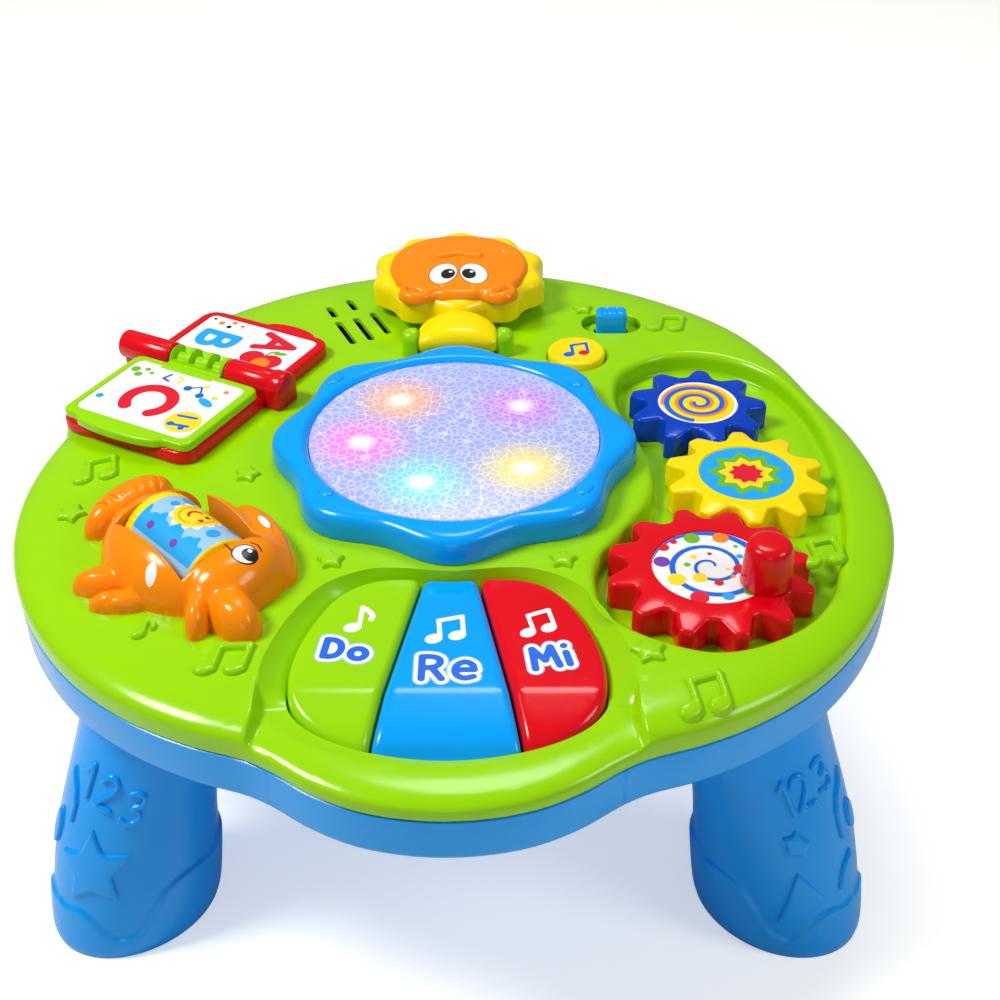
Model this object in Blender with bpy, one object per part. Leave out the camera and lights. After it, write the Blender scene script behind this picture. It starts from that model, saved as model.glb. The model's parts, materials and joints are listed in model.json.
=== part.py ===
"""A child's musical activity table: a low table whose top carries keys, gears, a book, a fish roller,
a lion flap and a lit panel.

The model is in metres with +Z up. It stands on its four feet, the keys point to -Y, and the origin is
the centre of its outline on the floor. Every place on the top is given from the centre of the lit
panel, which the empty called table_frame carries.
"""

import math

import bmesh
import bpy
from mathutils import Matrix, Vector

MM = 0.001

# Clearances
SEAT_GAP = 0.3 * MM
RUN_GAP = 0.3 * MM
SLIDE_GAP = 0.9 * MM
LEG_GAP = 0.45 * MM
OVERRUN = 2 * MM

# Table outline, seen from above: reach from the panel's centre by angle from the front
FRONT_REACH = 185 * MM
OUTLINE_DEGREES_AND_SHARES = (
    (0, 1.000), (8, 0.990), (14, 0.965), (19, 0.936), (23, 0.927), (29, 0.939), (38, 0.954),
    (48, 0.962), (60, 0.958), (72, 0.945), (84, 0.925), (96, 0.898), (108, 0.878), (120, 0.895),
    (132, 0.914), (146, 0.918), (160, 0.925), (180, 0.930),
)
OUTLINE_STEPS = 64
LOBE_DEGREES = 17

# Heights of the casing
LEG_HEIGHT = 103.7 * MM
TRAY_DEPTH = 22.4 * MM
SHELL_DEPTH = 13.5 * MM
WALL = 2.5 * MM
TRAY_EDGE_HEIGHT = 14.4 * MM
TRAY_SET_BACK = 0.6 * MM
TRAY_FLOOR_INSET = 16 * MM
TRAY_LIP_HEIGHT = 4.6 * MM
TRAY_LIP_WALL = 2 * MM
SHOULDER_INSET = 26 * MM
SHOULDER_DROP = 7 * MM
LOBE_DROP = 5.7 * MM

# Legs
LEG_CENTRE_X = 104.5 * MM
LEG_CENTRE_Y = 88.8 * MM
FOOT_RADIUS = 36 * MM
FOOT_SPREAD = 0.182
LEG_RADIUS_SHARES = ((0.0, 0.965), (0.05, 1.0), (0.28, 0.985), (0.5, 0.915), (0.87, 0.805), (1.08, 0.75))
LEG_LEAN_SHARES = (1.0, 0.98, 0.84, 0.68, 0.18, 0.0)
TENON_RADIUS = 20 * MM
TENON_HEIGHT = 14 * MM
TENON_BORE_RADIUS = 16 * MM
FOOT_FLOOR = 5 * MM
SOCKET_WALL = 2.5 * MM
LEG_STEPS = 24

# Lit panel in the middle
PANEL_RADIUS = 58.1 * MM
BEZEL_RADIUS = 69.5 * MM
BEZEL_SCALLOP = 3.2 * MM
BEZEL_LOBES = 8
BEZEL_HEIGHT = 11.1 * MM
BEZEL_LEDGE = 3 * MM
BEZEL_STEPS = 64
PANEL_STEPS = 48
DIFFUSER_THICKNESS = 2.3 * MM
DIFFUSER_DROP = 1.8 * MM
REFLECTOR_WALL = 1.8 * MM
REFLECTOR_DEPTH = 16.2 * MM
REFLECTOR_FOOT_RADIUS = 48 * MM
REFLECTOR_FOOT_WIDTH = 3 * MM
REFLECTOR_FOOT_HEIGHT = 2.3 * MM
LED_BOARD_RADIUS = 51 * MM
LED_RADIUS = 2.5 * MM
LED_HEIGHT = 8 * MM
LED_HOLE_RADIUS = 3.8 * MM
BOARD_THICKNESS = 1.6 * MM
LED_PLACES = {
    "orange": (-23 * MM, 27 * MM),
    "magenta": (-37 * MM, -5 * MM),
    "violet": (27 * MM, 22 * MM),
    "cyan": (-12 * MM, -33 * MM),
    "yellow": (28 * MM, -24 * MM),
}

# Piano keys at the front
WELL_EDGE = (
    (0 * MM, -77 * MM), (18 * MM, -75.5 * MM), (31 * MM, -78 * MM), (41 * MM, -86 * MM),
    (48 * MM, -99 * MM), (53 * MM, -115 * MM), (54.5 * MM, -130 * MM), (52 * MM, -143 * MM),
    (42 * MM, -153.5 * MM), (24 * MM, -161.5 * MM), (0 * MM, -165 * MM),
)
WELL_CREST = (
    (0 * MM, -76 * MM), (18 * MM, -74 * MM), (31 * MM, -75 * MM), (45 * MM, -83 * MM),
    (54 * MM, -97 * MM), (60 * MM, -113 * MM), (63 * MM, -130 * MM), (59 * MM, -146 * MM),
    (47 * MM, -157 * MM), (26 * MM, -165 * MM), (0 * MM, -168.5 * MM),
)
WELL_STEPS = 4
WELL_COLLAR = 1.2 * MM
WELL_COLLAR_DEPTH = 8.6 * MM
WELL_FLARE_DEPTH = 6 * MM
KEY_GAP = 0.9 * MM
KEY_BOTTOM = 21.2 * MM
KEY_PROUD = -2 * MM
KEY_CROWN_DROPS_AND_INSETS = (
    (21.2 * MM, 0 * MM, 0 * MM), (11.5 * MM, 0 * MM, 0 * MM), (7.5 * MM, 2.2 * MM, 0.3 * MM),
    (4.6 * MM, 6.5 * MM, 1 * MM), (2.8 * MM, 13 * MM, 2.2 * MM), (2 * MM, 20 * MM, 4.5 * MM),
)
KEY_FRONT_START = -104 * MM
KEY_FRONT_END = -160 * MM
KEY_SPLIT_BACK = 10 * MM
KEY_SPLIT_FRONT = 26.4 * MM
KEY_WALL = 2.2 * MM
KEY_ROOF = 3 * MM
KEY_HINGE_Y = -84 * MM
KEY_HINGE_DROP = 15.2 * MM
KEY_EAR_WIDTH = 16 * MM
KEY_EAR_DEPTH = 8 * MM
KEY_EAR_CENTRES = {"key_do": -24 * MM, "key_re": 0 * MM, "key_mi": 24 * MM}
KEY_PLUNGER_PLACES = {
    "key_do": (-34 * MM, -125 * MM), "key_re": (0 * MM, -125 * MM), "key_mi": (34 * MM, -125 * MM)
}
KEY_PLUNGER_RADIUS = 4 * MM
KEY_ROD_RADIUS = 1.5 * MM
KEY_ROD_LENGTH = 100 * MM
KEY_TOWER_X = 46 * MM
KEY_TOWER_WIDTH = 6 * MM
KEY_TOWER_DEPTH = 9 * MM
KEY_TOWER_ABOVE_ROD = 4 * MM
KEY_BOARD_WIDTH = 92 * MM
KEY_BOARD_DEPTH = 30 * MM
KEY_DOME_RADIUS = 4.5 * MM

# Gear train on the right
GEAR_MODULE = 5.75 * MM
GEAR_TEETH = {"gear_red": 12, "gear_yellow": 10, "gear_blue": 9}
GEAR_ADDENDUM = 3.2 * MM
GEAR_DEDENDUM = 4.6 * MM
GEAR_BACKLASH = 1 * MM
GEAR_TIP_SHARE = 0.24
GEAR_ROOT_SHARE = 0.76
GEAR_THICKNESS = 11.8 * MM
GEAR_CHAMFER = 1.5 * MM
GEAR_YELLOW_CENTRE = (115 * MM, -17.5 * MM)
GEAR_RED_BEARING = 250.5
GEAR_BLUE_BEARING = 103.8
GEAR_LABEL_RADIUS = 21.5 * MM
GEAR_LABEL_DEPTH = 0.5 * MM
GEAR_AXLE_RADIUS = 3 * MM
GEAR_AXLE_HEAD_RADIUS = 5.5 * MM
GEAR_AXLE_HEAD_HEIGHT = 2.5 * MM
GEAR_BORE_DEPTH = 8 * MM
POCKET_DEPTH = 9.2 * MM
POCKET_STEPS = 3
POCKET_OUTLINE = (
    (52.5 * MM, -82 * MM), (55 * MM, -67 * MM), (64 * MM, -52 * MM), (76 * MM, -31 * MM),
    (79 * MM, -10 * MM), (76.5 * MM, 8 * MM), (71 * MM, 26 * MM), (68.5 * MM, 48 * MM),
    (74 * MM, 67 * MM), (93 * MM, 80 * MM), (116 * MM, 79 * MM), (137 * MM, 64 * MM),
    (148 * MM, 38 * MM), (152 * MM, 8 * MM), (151.5 * MM, -22 * MM), (146 * MM, -58 * MM),
    (134 * MM, -92 * MM), (117 * MM, -110 * MM), (93 * MM, -119 * MM), (71 * MM, -112 * MM),
    (56 * MM, -99 * MM),
)
CRANK_OFFSET = 20.5 * MM
CRANK_BEARING = 332.5
CRANK_RADIUS = 9.3 * MM
CRANK_TOP_RADIUS = 8.2 * MM
CRANK_HEIGHT = 20 * MM
CRANK_STUB_RADIUS = 2.6 * MM
CRANK_STUB_HEIGHT = 12 * MM

# Book on the left
BOOK_CENTRE = (-109.5 * MM, 60 * MM)
BOOK_TURN = -28
BOOK_HALF_WIDTH = 32 * MM
BOOK_NEAR = 58 * MM
BOOK_FAR = 47 * MM
BOOK_CORNER = 9 * MM
BOOK_BASE_THICKNESS = 5.5 * MM
BOOK_BASE_MARGIN = 1.5 * MM
BOOK_PAGE_THICKNESS = 3.4 * MM
BOOK_TAB_REACH = 4.5 * MM
BOOK_TAB_START = -21 * MM
BOOK_TAB_END = 5 * MM
BOOK_BARREL_RADIUS = 6.4 * MM
BOOK_TOWER_RADIUS = 8 * MM
BOOK_TOWER_WIDTH = 8 * MM
BOOK_END_REACH = 43 * MM
BOOK_KNUCKLE_START = -15 * MM
BOOK_KNUCKLE_END = 13 * MM
BOOK_WINDOWS = 3
BOOK_WINDOW_WIDTH = 5.4 * MM
BOOK_PIN_RADIUS = 1.8 * MM

# Fish on the left front
FISH_DRUM_CENTRE = (-95.5 * MM, -69.5 * MM)
FISH_DRUM_TURN = -47
FISH_DRUM_RADIUS = 15.8 * MM
FISH_DRUM_LENGTH = 42 * MM
FISH_DRUM_RAISE = 3.3 * MM
FISH_AXLE_RADIUS = 1.8 * MM
FISH_AXLE_LENGTH = 52 * MM
FISH_GAP = 0.8 * MM
FISH_BODY_HEIGHT = 21 * MM
# Each lump of the body: offset along and across the drum's axis, half sizes along, across and up, and turn
FISH_LUMPS = {
    "body": ((1 * MM, -2 * MM), (37 * MM, 30 * MM, 21 * MM), 0),
    "head": ((26 * MM, 3 * MM), (17 * MM, 25 * MM, 17 * MM), 8),
    "gill_fin": ((6 * MM, 23 * MM), (27 * MM, 10.5 * MM, 12.5 * MM), -12),
    "back_fin": ((-38 * MM, 3 * MM), (9 * MM, 21 * MM, 12 * MM), 10),
    "tail_upper": ((-21 * MM, -32 * MM), (14 * MM, 7.5 * MM, 9 * MM), 70),
    "tail_lower": ((-9 * MM, -37 * MM), (11 * MM, 5 * MM, 7 * MM), 60),
    "lip_small": ((27 * MM, -29 * MM), (10 * MM, 5.5 * MM, 10 * MM), 80),
    "lip_large": ((36 * MM, -21 * MM), (13 * MM, 8.5 * MM, 12 * MM), 80),
}
FISH_WINDOW = (
    (-21 * MM, 34 * MM), (24 * MM, 15.5 * MM), (16 * MM, 4 * MM), (13 * MM, -16 * MM),
    (-21 * MM, -16.5 * MM),
)

# Lion flap at the back
LION_HINGE_Y = 84 * MM
LION_HINGE_RAISE = 6.8 * MM
LION_CENTRE_Y = 132.5 * MM
LION_HALF_WIDTH = 41.5 * MM
LION_HALF_DEPTH = 36.5 * MM
LION_PETALS = 9
LION_PETAL_SHARE = 0.055
LION_RAISE = 2 * MM
LION_THICKNESS = 12.5 * MM
LION_STEPS = 54
LION_FACE_SHARE = 0.78
LION_FACE_HEIGHT = 6.5 * MM
LION_FACE_Y = 130 * MM
LION_YOKE_WIDTH = 35 * MM
LION_YOKE_RADIUS = 6.2 * MM
LION_TONGUE_WIDTH = 22 * MM
LION_TONGUE_REACH = 30 * MM
LION_TONGUE_THICKNESS = 2.2 * MM
LION_BOSS_WIDTH = 7 * MM
LION_BOSS_RADIUS = 5.4 * MM
LION_PIN_RADIUS = 1.8 * MM
LION_REST_RADIUS = 6 * MM
LION_REST_Y = 148 * MM

# Round button, slide switch and loudspeaker
BUTTON_CENTRE = (53 * MM, 80 * MM)
BUTTON_RADIUS = 12.8 * MM
BUTTON_GAP = 0.5 * MM
BUTTON_PROUD = 3.2 * MM
BUTTON_FLANGE = 1.8 * MM
BUTTON_FLANGE_THICKNESS = 2.5 * MM
BUTTON_STEM_RADIUS = 4.5 * MM
BUTTON_STEM_LENGTH = 3.3 * MM
BUTTON_DOME_RADIUS = 5 * MM
SWITCH_BOARD_CENTRE = (60 * MM, 96 * MM)
SWITCH_BOARD_WIDTH = 54 * MM
SWITCH_BOARD_DEPTH = 52 * MM
SWITCH_BOARD_DROP = 14.6 * MM
SLIDER_CENTRE = (70.5 * MM, 110 * MM)
SLIDER_RECESS_WIDTH = 27 * MM
SLIDER_RECESS_DEPTH = 18 * MM
SLIDER_RECESS_DROP = 4.5 * MM
SLIDER_TRAVEL = 5 * MM
SLIDER_KNOB_WIDTH = 14 * MM
SLIDER_KNOB_DEPTH = 9 * MM
SLIDER_KNOB_PROUD = 7 * MM
SLIDER_STEM_WIDTH = 4 * MM
SLIDER_STEM_DEPTH = 3 * MM
SLIDER_STEM_LENGTH = 5 * MM
SWITCH_BODY_WIDTH = 24 * MM
SWITCH_BODY_DEPTH = 10 * MM
SWITCH_GROOVE_DEPTH = 3 * MM
SPEAKER_CENTRE = (-47 * MM, 107 * MM)
SPEAKER_RADIUS = 20 * MM
SPEAKER_DEPTH = 17 * MM
GRILLE_SLOTS = (
    (-52 * MM, 103 * MM, 23 * MM), (-44 * MM, 106.5 * MM, 23 * MM), (-36.5 * MM, 112 * MM, 22 * MM),
    (-60 * MM, 123 * MM, 11 * MM), (-51 * MM, 130 * MM, 11 * MM),
)
GRILLE_SLOT_WIDTH = 3.2 * MM
GRILLE_TURN = -66

# Boards, batteries and fasteners inside
MAIN_BOARD_CENTRE = (-100 * MM, -20 * MM)
MAIN_BOARD_WIDTH = 50 * MM
MAIN_BOARD_DEPTH = 66 * MM
POST_RADIUS = 2.6 * MM
POST_MARGIN = 4.5 * MM
LOW_POST_HEIGHT = 2.2 * MM
MAIN_POST_HEIGHT = 5.2 * MM
BATTERY_RADIUS = 7.2 * MM
BATTERY_LENGTH = 49 * MM
BATTERY_NUB_RADIUS = 2.7 * MM
BATTERY_NUB_LENGTH = 1.2 * MM
BATTERY_COUNT = 3
BATTERY_PITCH = 15.6 * MM
BATTERY_BAY_WIDTH = 60 * MM
BATTERY_BAY_DEPTH = 50 * MM
BATTERY_BAY_WALL = 2 * MM
DOOR_MARGIN = 3 * MM
DOOR_THICKNESS = 2 * MM
CONTACT_THICKNESS = 1 * MM
CONTACT_HEIGHT = 11 * MM
CONTACT_CONE_RADIUS = 4 * MM
SCREW_PLACES = {
    "housing_screw_back_right": (70 * MM, 135 * MM), "housing_screw_back_left": (-70 * MM, 135 * MM),
    "housing_screw_front_right": (80 * MM, -135 * MM), "housing_screw_front_left": (-80 * MM, -135 * MM),
}
SCREW_RADIUS = 1.4 * MM
SCREW_HEAD_RADIUS = 3 * MM
SCREW_HEAD_HEIGHT = 2 * MM
SCREW_LENGTH = 15 * MM
SCREW_SINK = 1.2 * MM
SCREW_BOSS_RADIUS = 5.8 * MM
SCREW_BOSS_HEIGHT = 6 * MM
SCREW_POST_RADIUS = 4.2 * MM
SMALL_STEPS = 12
ROUND_STEPS = 32

# Heights that follow from the sizes above
TRAY_FLOOR_Z = LEG_HEIGHT + SEAT_GAP
TRAY_TOP_Z = TRAY_FLOOR_Z + TRAY_DEPTH
TRAY_EDGE_Z = TRAY_TOP_Z - TRAY_EDGE_HEIGHT
TRAY_INSIDE_Z = TRAY_FLOOR_Z + WALL
SHELL_EDGE_Z = TRAY_TOP_Z + SEAT_GAP
PLATEAU_Z = SHELL_EDGE_Z + SHELL_DEPTH
SHELL_INSIDE_Z = PLATEAU_Z - WALL
LOBE_Z = PLATEAU_Z - LOBE_DROP
POCKET_FLOOR_Z = PLATEAU_Z - POCKET_DEPTH
KEY_BOTTOM_Z = PLATEAU_Z - KEY_BOTTOM
KEY_HINGE_Z = PLATEAU_Z - KEY_HINGE_DROP
BEZEL_TOP_Z = PLATEAU_Z + SEAT_GAP + BEZEL_HEIGHT
DIFFUSER_TOP_Z = BEZEL_TOP_Z - DIFFUSER_DROP
DIFFUSER_BOTTOM_Z = DIFFUSER_TOP_Z - DIFFUSER_THICKNESS
LEDGE_Z = DIFFUSER_BOTTOM_Z - SEAT_GAP
REFLECTOR_BOTTOM_Z = LEDGE_Z - REFLECTOR_DEPTH
LED_BOARD_TOP_Z = REFLECTOR_BOTTOM_Z - REFLECTOR_FOOT_HEIGHT - SEAT_GAP
BACK_REACH = FRONT_REACH * OUTLINE_DEGREES_AND_SHARES[-1][1]
PANEL_Y = (FRONT_REACH - BACK_REACH) / 2

# Finishes: sRGB hex colour, roughness and metallic value
FINISHES = {
    "lime_plastic": ("8ACB12", 0.22, 0.0),
    "sky_plastic": ("1E9BF0", 0.22, 0.0),
    "blue_plastic": ("0F49C8", 0.22, 0.0),
    "red_plastic": ("D81020", 0.22, 0.0),
    "yellow_plastic": ("FFD51E", 0.22, 0.0),
    "orange_plastic": ("FF8410", 0.22, 0.0),
    "diffuser_plastic": ("DCDDF6", 0.35, 0.0),
    "white_plastic": ("F2F2F0", 0.4, 0.0),
    "clear_lens": ("F4F4F4", 0.1, 0.0),
    "circuit_board": ("1F6B3A", 0.5, 0.0),
    "black_plastic": ("1C1C1E", 0.45, 0.0),
    "dome_rubber": ("8E9296", 0.7, 0.0),
    "steel": ("C4C7CA", 0.3, 1.0),
    "battery_wrap": ("2B2B2E", 0.35, 0.2),
}


def clear_scene():
    for thing in list(bpy.data.objects):
        bpy.data.objects.remove(thing)


def linear(hex_colour):
    """Linear RGBA from an sRGB hex colour."""
    parts = [int(hex_colour[i : i + 2], 16) / 255 for i in (0, 2, 4)]
    return [c / 12.92 if c <= 0.04045 else ((c + 0.055) / 1.055) ** 2.4 for c in parts] + [1.0]


def finish(name):
    """The material of that name, made once."""
    material = bpy.data.materials.get(name)
    if material is None:
        colour, roughness, metallic = FINISHES[name]
        material = bpy.data.materials.new(name)
        material.use_nodes = True
        shader = material.node_tree.nodes["Principled BSDF"]
        shader.inputs["Base Color"].default_value = linear(colour)
        shader.inputs["Roughness"].default_value = roughness
        shader.inputs["Metallic"].default_value = metallic
        material.diffuse_color = linear(colour)
    return material


# Outlines: lists of (x, y)


def circle(radius, steps, centre=(0, 0)):
    turns = [2 * math.pi * i / steps for i in range(steps)]
    return [(centre[0] + radius * math.cos(t), centre[1] + radius * math.sin(t)) for t in turns]


def rectangle(width, depth, centre=(0, 0)):
    x, y = centre
    a, b = width / 2, depth / 2
    return [(x - a, y - b), (x + a, y - b), (x + a, y + b), (x - a, y + b)]


def stadium(width, depth, steps, centre=(0, 0)):
    """A slot outline with half round ends, lying along X."""
    radius = depth / 2
    points = []
    for side in (1, -1):
        middle = side * (width / 2 - radius)
        for i in range(steps + 1):
            t = math.pi * (i / steps - 0.5) + (0 if side > 0 else math.pi)
            points.append((centre[0] + middle + radius * math.cos(t), centre[1] + radius * math.sin(t)))
    return points


def rounded(corners, radius, steps=4):
    """The polygon with each corner rounded, by no more than its shorter side allows."""
    points = []
    count = len(corners)
    for i in range(count):
        before, here, after = (Vector(corners[(i + k) % count]) for k in (-1, 0, 1))
        to_before, to_after = before - here, after - here
        half = to_before.angle(to_after) / 2
        cut = min(radius / math.tan(half), to_before.length * 0.45, to_after.length * 0.45)
        start = here + to_before.normalized() * cut
        end = here + to_after.normalized() * cut
        for k in range(steps + 1):
            t = k / steps
            point = start.lerp(here, t).lerp(here.lerp(end, t), t)
            points.append((point.x, point.y))
    return points


def smooth_loop(points, steps):
    """A closed Catmull-Rom curve through the points."""
    count = len(points)
    result = []
    for i in range(count):
        a, b, c, d = (Vector(points[(i + k) % count]) for k in (-1, 0, 1, 2))
        for k in range(steps):
            t = k / steps
            point = 0.5 * (
                2 * b + (c - a) * t + (2 * a - 5 * b + 4 * c - d) * t**2 + (3 * b - a - 3 * c + d) * t**3
            )
            result.append((point.x, point.y))
    return result


def grown(outline, distance):
    """The outline moved out along its normals by a distance."""
    count = len(outline)
    area = sum(
        outline[i][0] * outline[(i + 1) % count][1] - outline[(i + 1) % count][0] * outline[i][1]
        for i in range(count)
    )
    side = 1 if area > 0 else -1
    result = []
    for i in range(count):
        along = Vector(outline[(i + 1) % count]) - Vector(outline[i - 1])
        normal = Vector((along.y, -along.x)).normalized() * side
        result.append((outline[i][0] + normal.x * distance, outline[i][1] + normal.y * distance))
    return result


def mirrored(half):
    """A closed loop from the points of its right half, which starts and ends on the Y axis."""
    return list(half) + [(-x, y) for x, y in reversed(half[1:-1])]


def turned_about(points, degrees, centre=(0, 0)):
    c, s = math.cos(math.radians(degrees)), math.sin(math.radians(degrees))
    return [(centre[0] + x * c - y * s, centre[1] + x * s + y * c) for x, y in points]


def reach_at(degrees):
    """The table's reach from the panel's centre, by the angle from the front, as a smooth curve."""
    table = OUTLINE_DEGREES_AND_SHARES
    angle = abs((degrees + 180) % 360 - 180)
    mirror = [(-table[1][0], table[1][1])] + list(table) + [(360 - table[-2][0], table[-2][1])]
    for i in range(1, len(mirror) - 2):
        (a0, r0), (a1, r1), (a2, r2), (a3, r3) = mirror[i - 1 : i + 3]
        if angle <= a2:
            break
    t = (angle - a1) / (a2 - a1)
    slope1 = (r2 - r0) / (a2 - a0) * (a2 - a1)
    slope2 = (r3 - r1) / (a3 - a1) * (a2 - a1)
    share = (
        r1 * (2 * t**3 - 3 * t**2 + 1)
        + slope1 * (t**3 - 2 * t**2 + t)
        + r2 * (3 * t**2 - 2 * t**3)
        + slope2 * (t**3 - t**2)
    )
    return share * FRONT_REACH


def table_outline(inset):
    points = []
    for i in range(OUTLINE_STEPS):
        angle = 360 * i / OUTLINE_STEPS
        reach = reach_at(angle) - inset
        turn = math.radians(angle - 90)
        points.append((reach * math.cos(turn), reach * math.sin(turn)))
    return points


# Bodies: closed bmesh shapes


def level(outline, z):
    return [Vector((x, y, z)) for x, y in outline]


def loft(rings, ends_meet=False):
    """One closed body through rings of equal counts, capped at both ends or joined end to end."""
    body = bmesh.new()
    rows = [[body.verts.new(point) for point in ring] for ring in rings]
    pairs = list(zip(rows, rows[1:]))
    if ends_meet:
        pairs.append((rows[-1], rows[0]))
    for low, high in pairs:
        for i in range(len(low)):
            j = (i + 1) % len(low)
            body.faces.new((low[i], low[j], high[j], high[i]))
    if not ends_meet:
        body.faces.new(rows[0])
        body.faces.new(rows[-1])
    bmesh.ops.recalc_face_normals(body, faces=body.faces)
    return body


def prism(outline, low, high):
    return loft([level(outline, low), level(outline, high)])


def turned(profile, steps, centre=(0, 0), ends_meet=False):
    """A body turned about a vertical axis, from (radius, z) pairs."""
    return loft([level(circle(r, steps, centre), z) for r, z in profile], ends_meet)


def along_x(body, centre):
    """Lays a body that was turned about Z along X instead, and moves it to the centre."""
    body.transform(Matrix.Translation(Vector(centre)) @ Matrix.Rotation(math.pi / 2, 4, "Y"))
    return body


def block(width, depth, low, high, centre=(0, 0)):
    return prism(rectangle(width, depth, centre), low, high)


def gathered(bodies):
    """Several separate bodies as one helper shape."""
    whole = bmesh.new()
    for body in bodies:
        mesh = bpy.data.meshes.new("gathered")
        body.to_mesh(mesh)
        body.free()
        whole.from_mesh(mesh)
        bpy.data.meshes.remove(mesh)
    return whole


# Objects


def add(name, body, material, pivot=(0, 0, 0), parent=None):
    """An object whose origin is the pivot, given like the body in the table's frame."""
    body.transform(Matrix.Translation(-Vector(pivot)))
    mesh = bpy.data.meshes.new(name)
    body.to_mesh(mesh)
    body.free()
    item = bpy.data.objects.new(name, mesh)
    bpy.context.scene.collection.objects.link(item)
    item.location = pivot
    item.parent = parent or bpy.data.objects["table_frame"]
    if material:
        mesh.materials.append(finish(material))
        mesh.shade_smooth()
        mesh.set_sharp_from_angle(angle=math.radians(35))
    return item


def helper(name, body):
    item = add(name, body, None)
    item.hide_render = True
    item.display_type = "WIRE"
    return item


def combine(item, operation, name, body):
    """A Boolean modifier on the item, with a helper object made from the body."""
    modifier = item.modifiers.new(name, "BOOLEAN")
    modifier.operation = operation
    modifier.solver = "EXACT"
    modifier.object = helper(item.name + "_" + name, body)
    return modifier


def join(item, name, body):
    return combine(item, "UNION", name, body)


def cut(item, name, body):
    return combine(item, "DIFFERENCE", name, body)


def keep(item, name, body):
    return combine(item, "INTERSECT", name, body)


def empty(name, location, parent=None):
    item = bpy.data.objects.new(name, None)
    bpy.context.scene.collection.objects.link(item)
    item.location = location
    item.parent = parent
    return item


def corners_of(width, depth, centre, margin):
    """The four places inside a board's corners where its posts stand."""
    return rectangle(width - 2 * margin, depth - 2 * margin, centre)


# Shared shapes


def well_outline(points, distance=0):
    return grown(smooth_loop(mirrored(points), WELL_STEPS), distance)


def key_crown_ring(drop, front, side):
    """The keys' common outline at one height: drawn in all round, and more at the rounded front."""
    ring = []
    for x, y in well_outline(WELL_EDGE, -KEY_GAP - side):
        share = min(1, max(0, (y - KEY_FRONT_START) / (KEY_FRONT_END - KEY_FRONT_START)))
        ring.append((x * (1 - 0.1 * share * front / KEY_FRONT_WIDTH), y + front * share))
    return level(ring, PLATEAU_Z - drop)


KEY_FRONT_WIDTH = KEY_CROWN_DROPS_AND_INSETS[-1][1]


def pocket_outline(distance=0):
    return grown(smooth_loop(POCKET_OUTLINE, POCKET_STEPS), distance)


def gear_centre(name):
    x, y = GEAR_YELLOW_CENTRE
    if name == "gear_yellow":
        return x, y
    bearing = math.radians(GEAR_RED_BEARING if name == "gear_red" else GEAR_BLUE_BEARING)
    distance = GEAR_MODULE * (GEAR_TEETH[name] + GEAR_TEETH["gear_yellow"]) / 2
    return x + distance * math.cos(bearing), y + distance * math.sin(bearing)


def gear_phase(name):
    """The angle of one tooth, so that the three gears are in mesh at rest."""
    pitch_angle = {key: 360 / teeth for key, teeth in GEAR_TEETH.items()}
    if name == "gear_red":
        return GEAR_RED_BEARING + 180
    yellow = GEAR_RED_BEARING + pitch_angle["gear_yellow"] / 2
    if name == "gear_yellow":
        return yellow
    lag = (GEAR_BLUE_BEARING - yellow) % pitch_angle["gear_yellow"]
    lag *= GEAR_TEETH["gear_yellow"] / GEAR_TEETH["gear_blue"]
    return GEAR_BLUE_BEARING + 180 + lag + pitch_angle["gear_blue"] / 2


def gear_outline(name, shrink=0):
    """Trapezoid teeth: root, pitch line and tip on each flank."""
    teeth = GEAR_TEETH[name]
    pitch_radius = GEAR_MODULE * teeth / 2
    half_pitch = math.pi / teeth / 2 - GEAR_BACKLASH / pitch_radius / 2
    half_tip = math.pi / teeth * GEAR_TIP_SHARE
    half_root = math.pi / teeth * GEAR_ROOT_SHARE
    flank = (
        (pitch_radius - GEAR_DEDENDUM, half_root),
        (pitch_radius, half_pitch),
        (pitch_radius + GEAR_ADDENDUM, half_tip),
    )
    points = []
    for tooth in range(teeth):
        middle = math.radians(gear_phase(name)) + 2 * math.pi * tooth / teeth
        sides = [(r, -a) for r, a in flank] + [(r, a) for r, a in reversed(flank)]
        for r, a in sides:
            points.append(((r - shrink) * math.cos(middle + a), (r - shrink) * math.sin(middle + a)))
    x, y = gear_centre(name)
    return [(x + px, y + py) for px, py in points]


def crank_place():
    x, y = gear_centre("gear_red")
    bearing = math.radians(CRANK_BEARING)
    return x + CRANK_OFFSET * math.cos(bearing), y + CRANK_OFFSET * math.sin(bearing)


def book_plan(points):
    """Points along the hinge and towards the reader, as places on the table."""
    return turned_about([(u, -v) for u, v in points], BOOK_TURN, BOOK_CENTRE)


def book_rectangle(near, far, half_width, corner):
    corners = [(-half_width, far), (half_width, far), (half_width, near), (-half_width, near)]
    return book_plan(rounded(corners, corner))


def book_cylinder(radius, start, end, steps=20):
    """A cylinder on the book's hinge line, between two distances along it."""
    body = turned([(radius, start), (radius, end)], steps)
    body.transform(Matrix.Rotation(math.pi / 2, 4, "Y"))
    place = Matrix.Translation((*BOOK_CENTRE, book_hinge_z()))
    body.transform(place @ Matrix.Rotation(math.radians(BOOK_TURN), 4, "Z"))
    return body


def book_base_top():
    return PLATEAU_Z + SEAT_GAP + BOOK_BASE_THICKNESS


def book_hinge_z():
    return book_base_top() + SEAT_GAP + BOOK_PAGE_THICKNESS / 2


def fish_place(along, across):
    """A place on the table from its offsets along and across the fish drum's axis."""
    return turned_about([(along, across)], FISH_DRUM_TURN, FISH_DRUM_CENTRE)[0]


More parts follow.
